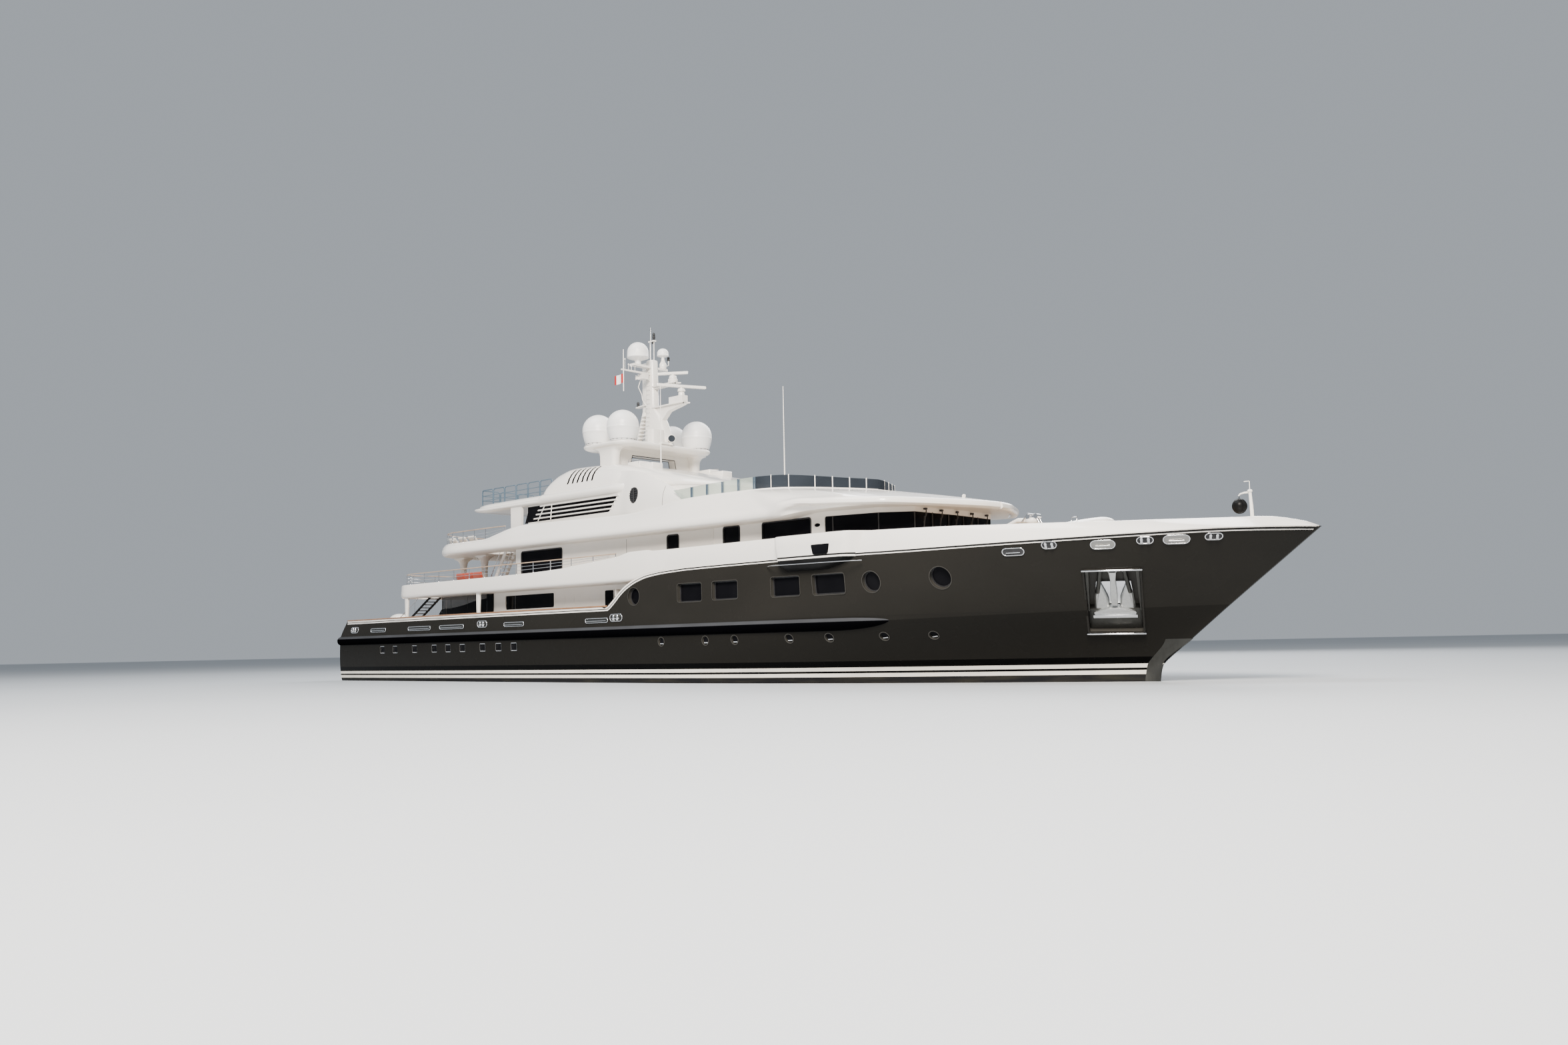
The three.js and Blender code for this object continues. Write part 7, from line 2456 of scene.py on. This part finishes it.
class YachtFurniture(YachtOperator):
    """Sets out the settees, tables, chairs, sunbeds and their pads on the open decks"""

    bl_idname = "yacht.furniture"
    bl_label = "Deck Furniture"

    def execute(self, context):
        timber, sofas, seats, pads = Form(), Form(), Form(), Form()

        def lay(form, parts, x, y, z, degrees=0.0, lean=0.0):
            place = (Matrix.Translation((x, y, z)) @ Matrix.Rotation(math.radians(degrees), 4, "Z")
                     @ Matrix.Rotation(math.radians(lean), 4, "X"))
            for part in parts:
                form.add(placed(part, place))

        for side in (-1, 1):
            for k in range(3):
                x = -20.1 + 1.02 * k
                lay(sofas, pad(1.0, 0.95, 0.2), x, side * 5.5, UPPER_DECK + 0.34)
                lay(sofas, pad(1.0, 0.62, 0.2), x, side * 6.02, UPPER_DECK + 0.8, 0, side * 78)
            timber.add(block(-20.7, -17.5, min(side * 4.95, side * 6.2), max(side * 4.95, side * 6.2),
                             UPPER_DECK + 0.12, UPPER_DECK + 0.32))
            for x in (-22.7, -21.5, -20.3):
                timber.add(block(x - 0.35, x + 0.65, side * 4.2 - 0.95, side * 4.2 + 0.95, SUN_DECK + 0.2,
                                 SUN_DECK + 0.28))
                for dx in (-0.25, 0.55):
                    for dy in (-0.85, 0.85):
                        timber.add(block(x + dx - 0.03, x + dx + 0.03, side * 4.2 + dy - 0.03,
                                         side * 4.2 + dy + 0.03, SUN_DECK + 0.004,
                                         SUN_DECK + 0.22))
                lay(pads, pad(1.25, 0.92, 0.13, 0.2), x + 0.15, side * 4.2 - side * 0.25, SUN_DECK + 0.28, 90)
                lay(pads, pad(0.92, 0.8, 0.13, 0.2), x + 0.15, side * 4.2 + side * 0.72, SUN_DECK + 0.62, 0,
                    side * 52)
        table = [(-24.2 + u, v) for u, v in oval(1.9, 3.6, 48)]
        timber.add(plan_slab(table, UPPER_DECK + 0.7, UPPER_DECK + 0.76, 0.015))
        table_foot = [(0.5, 0.004), (0.48, 0.05), (0.12, 0.12), (0.1, 0.6), (0.3, 0.7)]
        timber.add(lathe(table_foot, (-24.2, 0.0, UPPER_DECK)))
        ring = [(-24.2 + 1.45 * math.cos(a), 2.3 * math.sin(a),
                 math.degrees(math.atan2(math.sin(a) * 1.4, math.cos(a))))
                for a in (math.radians(36 * k + 18) for k in range(10))]
        chairs = [(x, y, UPPER_DECK, turn) for x, y, turn in ring]
        chairs += [(-31.0, -1.2, MAIN_DECK, 180), (-31.0, 0.0, MAIN_DECK, 180), (-31.0, 1.2, MAIN_DECK, 180)]
        for x, y, z, turn in chairs:
            self.add_chair(timber, x, y, z, turn)
            lay(seats, pad(0.5, 0.5, 0.09, 0.3), x, y, z + 0.43, turn)
        timber.add(plan_slab([(-32.0 + u, v) for u, v in rounded_rect(0.9, 3.2, 0.25)], MAIN_DECK + 0.68,
                             MAIN_DECK + 0.74, 0.015))
        for y in (-1.0, 1.0):
            timber.add(lathe([(0.25, 0.004), (0.24, 0.04), (0.06, 0.08), (0.06, 0.68)],
                             (-32.0, y, MAIN_DECK), sides=20))
        timber.add(block(-33.7, -32.9, -2.4, 2.4, MAIN_DECK + 0.004, MAIN_DECK + 0.34))
        for k in range(4):
            lay(sofas, pad(1.15, 0.8, 0.18), -33.3, -1.75 + 1.17 * k, MAIN_DECK + 0.34, 90)
        make("furniture_frames", timber, use("timber"), edge=0.012)
        for name, form, finish in (("settee_cushions", sofas, "sofa"), ("chair_cushions", seats, "seat"),
                                   ("sunbed_pads", pads, "pad")):
            make(name, form, use(finish), sharp=60)
        covers = Form()
        dome = [(0.76 * math.cos(a), 1.05 + 0.5 * math.sin(a)) for a in spread(0, math.pi / 2, 9)]
        covers.add(lathe([(0.8, 0.004), (0.79, 0.5)] + dome, (-32.0, 3.6, MAIN_DECK), sides=36))
        make("capstan_covers", covers.both_sides(), use("white"))
        return {"FINISHED"}

    @staticmethod
    def add_chair(form, x, y, z, turn):
        """Teak armchair whose back stands on its +X side before it is turned."""
        place = Matrix.Translation((x, y, z)) @ Matrix.Rotation(math.radians(turn), 4, "Z")
        bars = []
        for u in (-0.24, 0.24):
            for v in (-0.26, 0.26):
                tall = 0.62 if u < 0 else 0.92
                bars.append([(u, v, 0.004), (u + (0.0 if u < 0 else 0.03), v, tall)])
        for v in (-0.26, 0.26):
            bars.append([(-0.27, v, 0.63), (0.28, v, 0.65)])
        bars += [[(0.27, -0.26, h), (0.31, 0.0, h), (0.27, 0.26, h)] for h in (0.9, 0.78, 0.66)]
        for path in bars:
            form.add(placed(tube(path, 0.024, 6), place))
        form.add(placed(block(-0.26, 0.26, -0.27, 0.27, 0.4, 0.43), place))


class YachtStage(YachtOperator):
    """Sets the camera, the floor at the waterline and the soft studio lights"""

    bl_idname = "yacht.stage"
    bl_label = "Stage"

    def execute(self, context):
        stage = context.scene.yacht_stage
        self.add_camera(context, stage)
        floor = Form().add(plan_slab(oval(1600, 1600, 96), -0.02, 0))
        ground = mesh_object("floor", floor, use("floor"))
        world = bpy.data.worlds.new("pale_studio")
        context.scene.world = world
        world.use_nodes = True
        backdrop = world.node_tree.nodes["Background"]
        backdrop.inputs["Color"].default_value = (*stage.backdrop, 1.0)
        backdrop.inputs["Strength"].default_value = stage.backdrop_light
        lights = (
            ("key_light", (60, -70, 60), 36, stage.key_light, (1.0, 0.93, 0.85)),
            ("fill_light", (-15, -35, 110), 70, stage.key_light * 0.4, (0.9, 0.95, 1.0)),
            ("rim_light", (-20, 80, 70), 80, stage.key_light * 0.4, (1.0, 1.0, 1.0)),
        )
        for name, spot, size, power, colour in lights:
            self.add_light(context, name, Vector(spot) * SCALE, size * SCALE, power, colour)
        return {"FINISHED"}

    @staticmethod
    def add_camera(context, stage):
        data = bpy.data.cameras.new("photograph_camera")
        data.sensor_width = 36.0
        data.sensor_fit = "HORIZONTAL"
        data.lens = stage.lens
        data.clip_end = 2000.0
        camera = bpy.data.objects.new("photograph_camera", data)
        yaw, pitch, roll = (math.radians(v) for v in (stage.yaw, stage.pitch, stage.roll))
        ahead = Vector((-math.sin(yaw) * math.cos(pitch), math.cos(yaw) * math.cos(pitch), math.sin(pitch)))
        level = Vector((math.cos(yaw), math.sin(yaw), 0))
        upright = level.cross(ahead)
        right = math.cos(roll) * level + math.sin(roll) * upright
        up = -math.sin(roll) * level + math.cos(roll) * upright
        turn = Matrix((right, up, -ahead)).transposed().to_4x4()
        camera.matrix_world = Matrix.Translation(Vector(stage.camera_at) * SCALE) @ turn
        context.scene.collection.objects.link(camera)
        context.scene.camera = camera

    @staticmethod
    def add_light(context, name, spot, size, power, colour):
        data = bpy.data.lights.new(name, "AREA")
        data.shape = "DISK"
        data.size = size
        data.energy = power
        data.color = colour
        lamp = bpy.data.objects.new(name, data)
        lamp.location = spot
        lamp.rotation_euler = (Vector((0, 0, 3)) - spot).to_track_quat("-Z", "Y").to_euler()
        context.scene.collection.objects.link(lamp)


class YachtStageSettings(bpy.types.PropertyGroup):
    """Camera, floor and lights. Places are in metres of the ship."""

    camera_at: FloatVectorProperty(
        name="Camera", description="Where the camera stands", subtype="XYZ", default=(55.218, -55.073, 1.988),
    )
    yaw: FloatProperty(name="Yaw", description="Camera's turn from straight across, in degrees",
                       default=42.483)
    pitch: FloatProperty(name="Pitch", description="Camera's tilt upwards, in degrees", default=5.568)
    roll: FloatProperty(name="Roll", description="Camera's lean, in degrees", default=-1.1335)
    lens: FloatProperty(
        name="Lens", description="Focal length in millimetres on a 36 mm sensor", subtype="DISTANCE_CAMERA",
        default=29.0121,
    )
    backdrop: FloatVectorProperty(
        name="Backdrop", description="Colour of the studio round the yacht", subtype="COLOR",
        default=(0.78, 0.85, 0.93), min=0.0, max=1.0,
    )
    backdrop_light: FloatProperty(name="Backdrop light", description="Strength of the backdrop", default=0.5,
                                  min=0.0)
    key_light: FloatProperty(
        name="Key light", description="Power of the main light", subtype="POWER", default=64000.0, min=0.0,
    )


OPERATORS = [
    YachtFinishes, YachtStage, YachtHull, YachtHullFittings, YachtAnchors, YachtBowBulwark, YachtUpperDeck,
    YachtSaloon,
    YachtUpperHouse, YachtSunDeck, YachtHardtop, YachtSunHouse, YachtWindbreak, YachtArch, YachtMast,
    YachtWings, YachtRails, YachtSupports, YachtStairs, YachtFurniture,
]
SETTINGS = [
    ("yacht_colours", YachtColours), ("yacht_hull", YachtHullSizes), ("yacht_decks", YachtDeckSizes),
    ("yacht_gear", YachtGearSizes),
    ("yacht_stage", YachtStageSettings),
]


class YachtPanel(bpy.types.Panel):
    """Lists the yacht's settings and the operators that build it"""

    bl_idname = "VIEW3D_PT_yacht"
    bl_label = "Yacht"
    bl_space_type = "VIEW_3D"
    bl_region_type = "UI"
    bl_category = "Yacht"

    def draw(self, context):
        layout = self.layout
        for name, group in SETTINGS:
            box = layout.box()
            box.label(text=group.__doc__.split(".")[0])
            for field in group.__annotations__:
                box.prop(getattr(context.scene, name), field)
        for operator in OPERATORS:
            layout.operator(operator.bl_idname)


def register():
    for _, group in SETTINGS:
        bpy.utils.register_class(group)
    for operator in OPERATORS:
        bpy.utils.register_class(operator)
    bpy.utils.register_class(YachtPanel)
    for name, group in SETTINGS:
        setattr(bpy.types.Scene, name, PointerProperty(type=group))


def unregister():
    for name, _ in SETTINGS:
        delattr(bpy.types.Scene, name)
    bpy.utils.unregister_class(YachtPanel)
    for operator in reversed(OPERATORS):
        bpy.utils.unregister_class(operator)
    for _, group in reversed(SETTINGS):
        bpy.utils.unregister_class(group)


def main():
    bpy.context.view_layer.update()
    register()
    for operator in OPERATORS:
        group, name = operator.bl_idname.split(".")
        getattr(getattr(bpy.ops, group), name)()


if __name__ == "__main__":
    main()
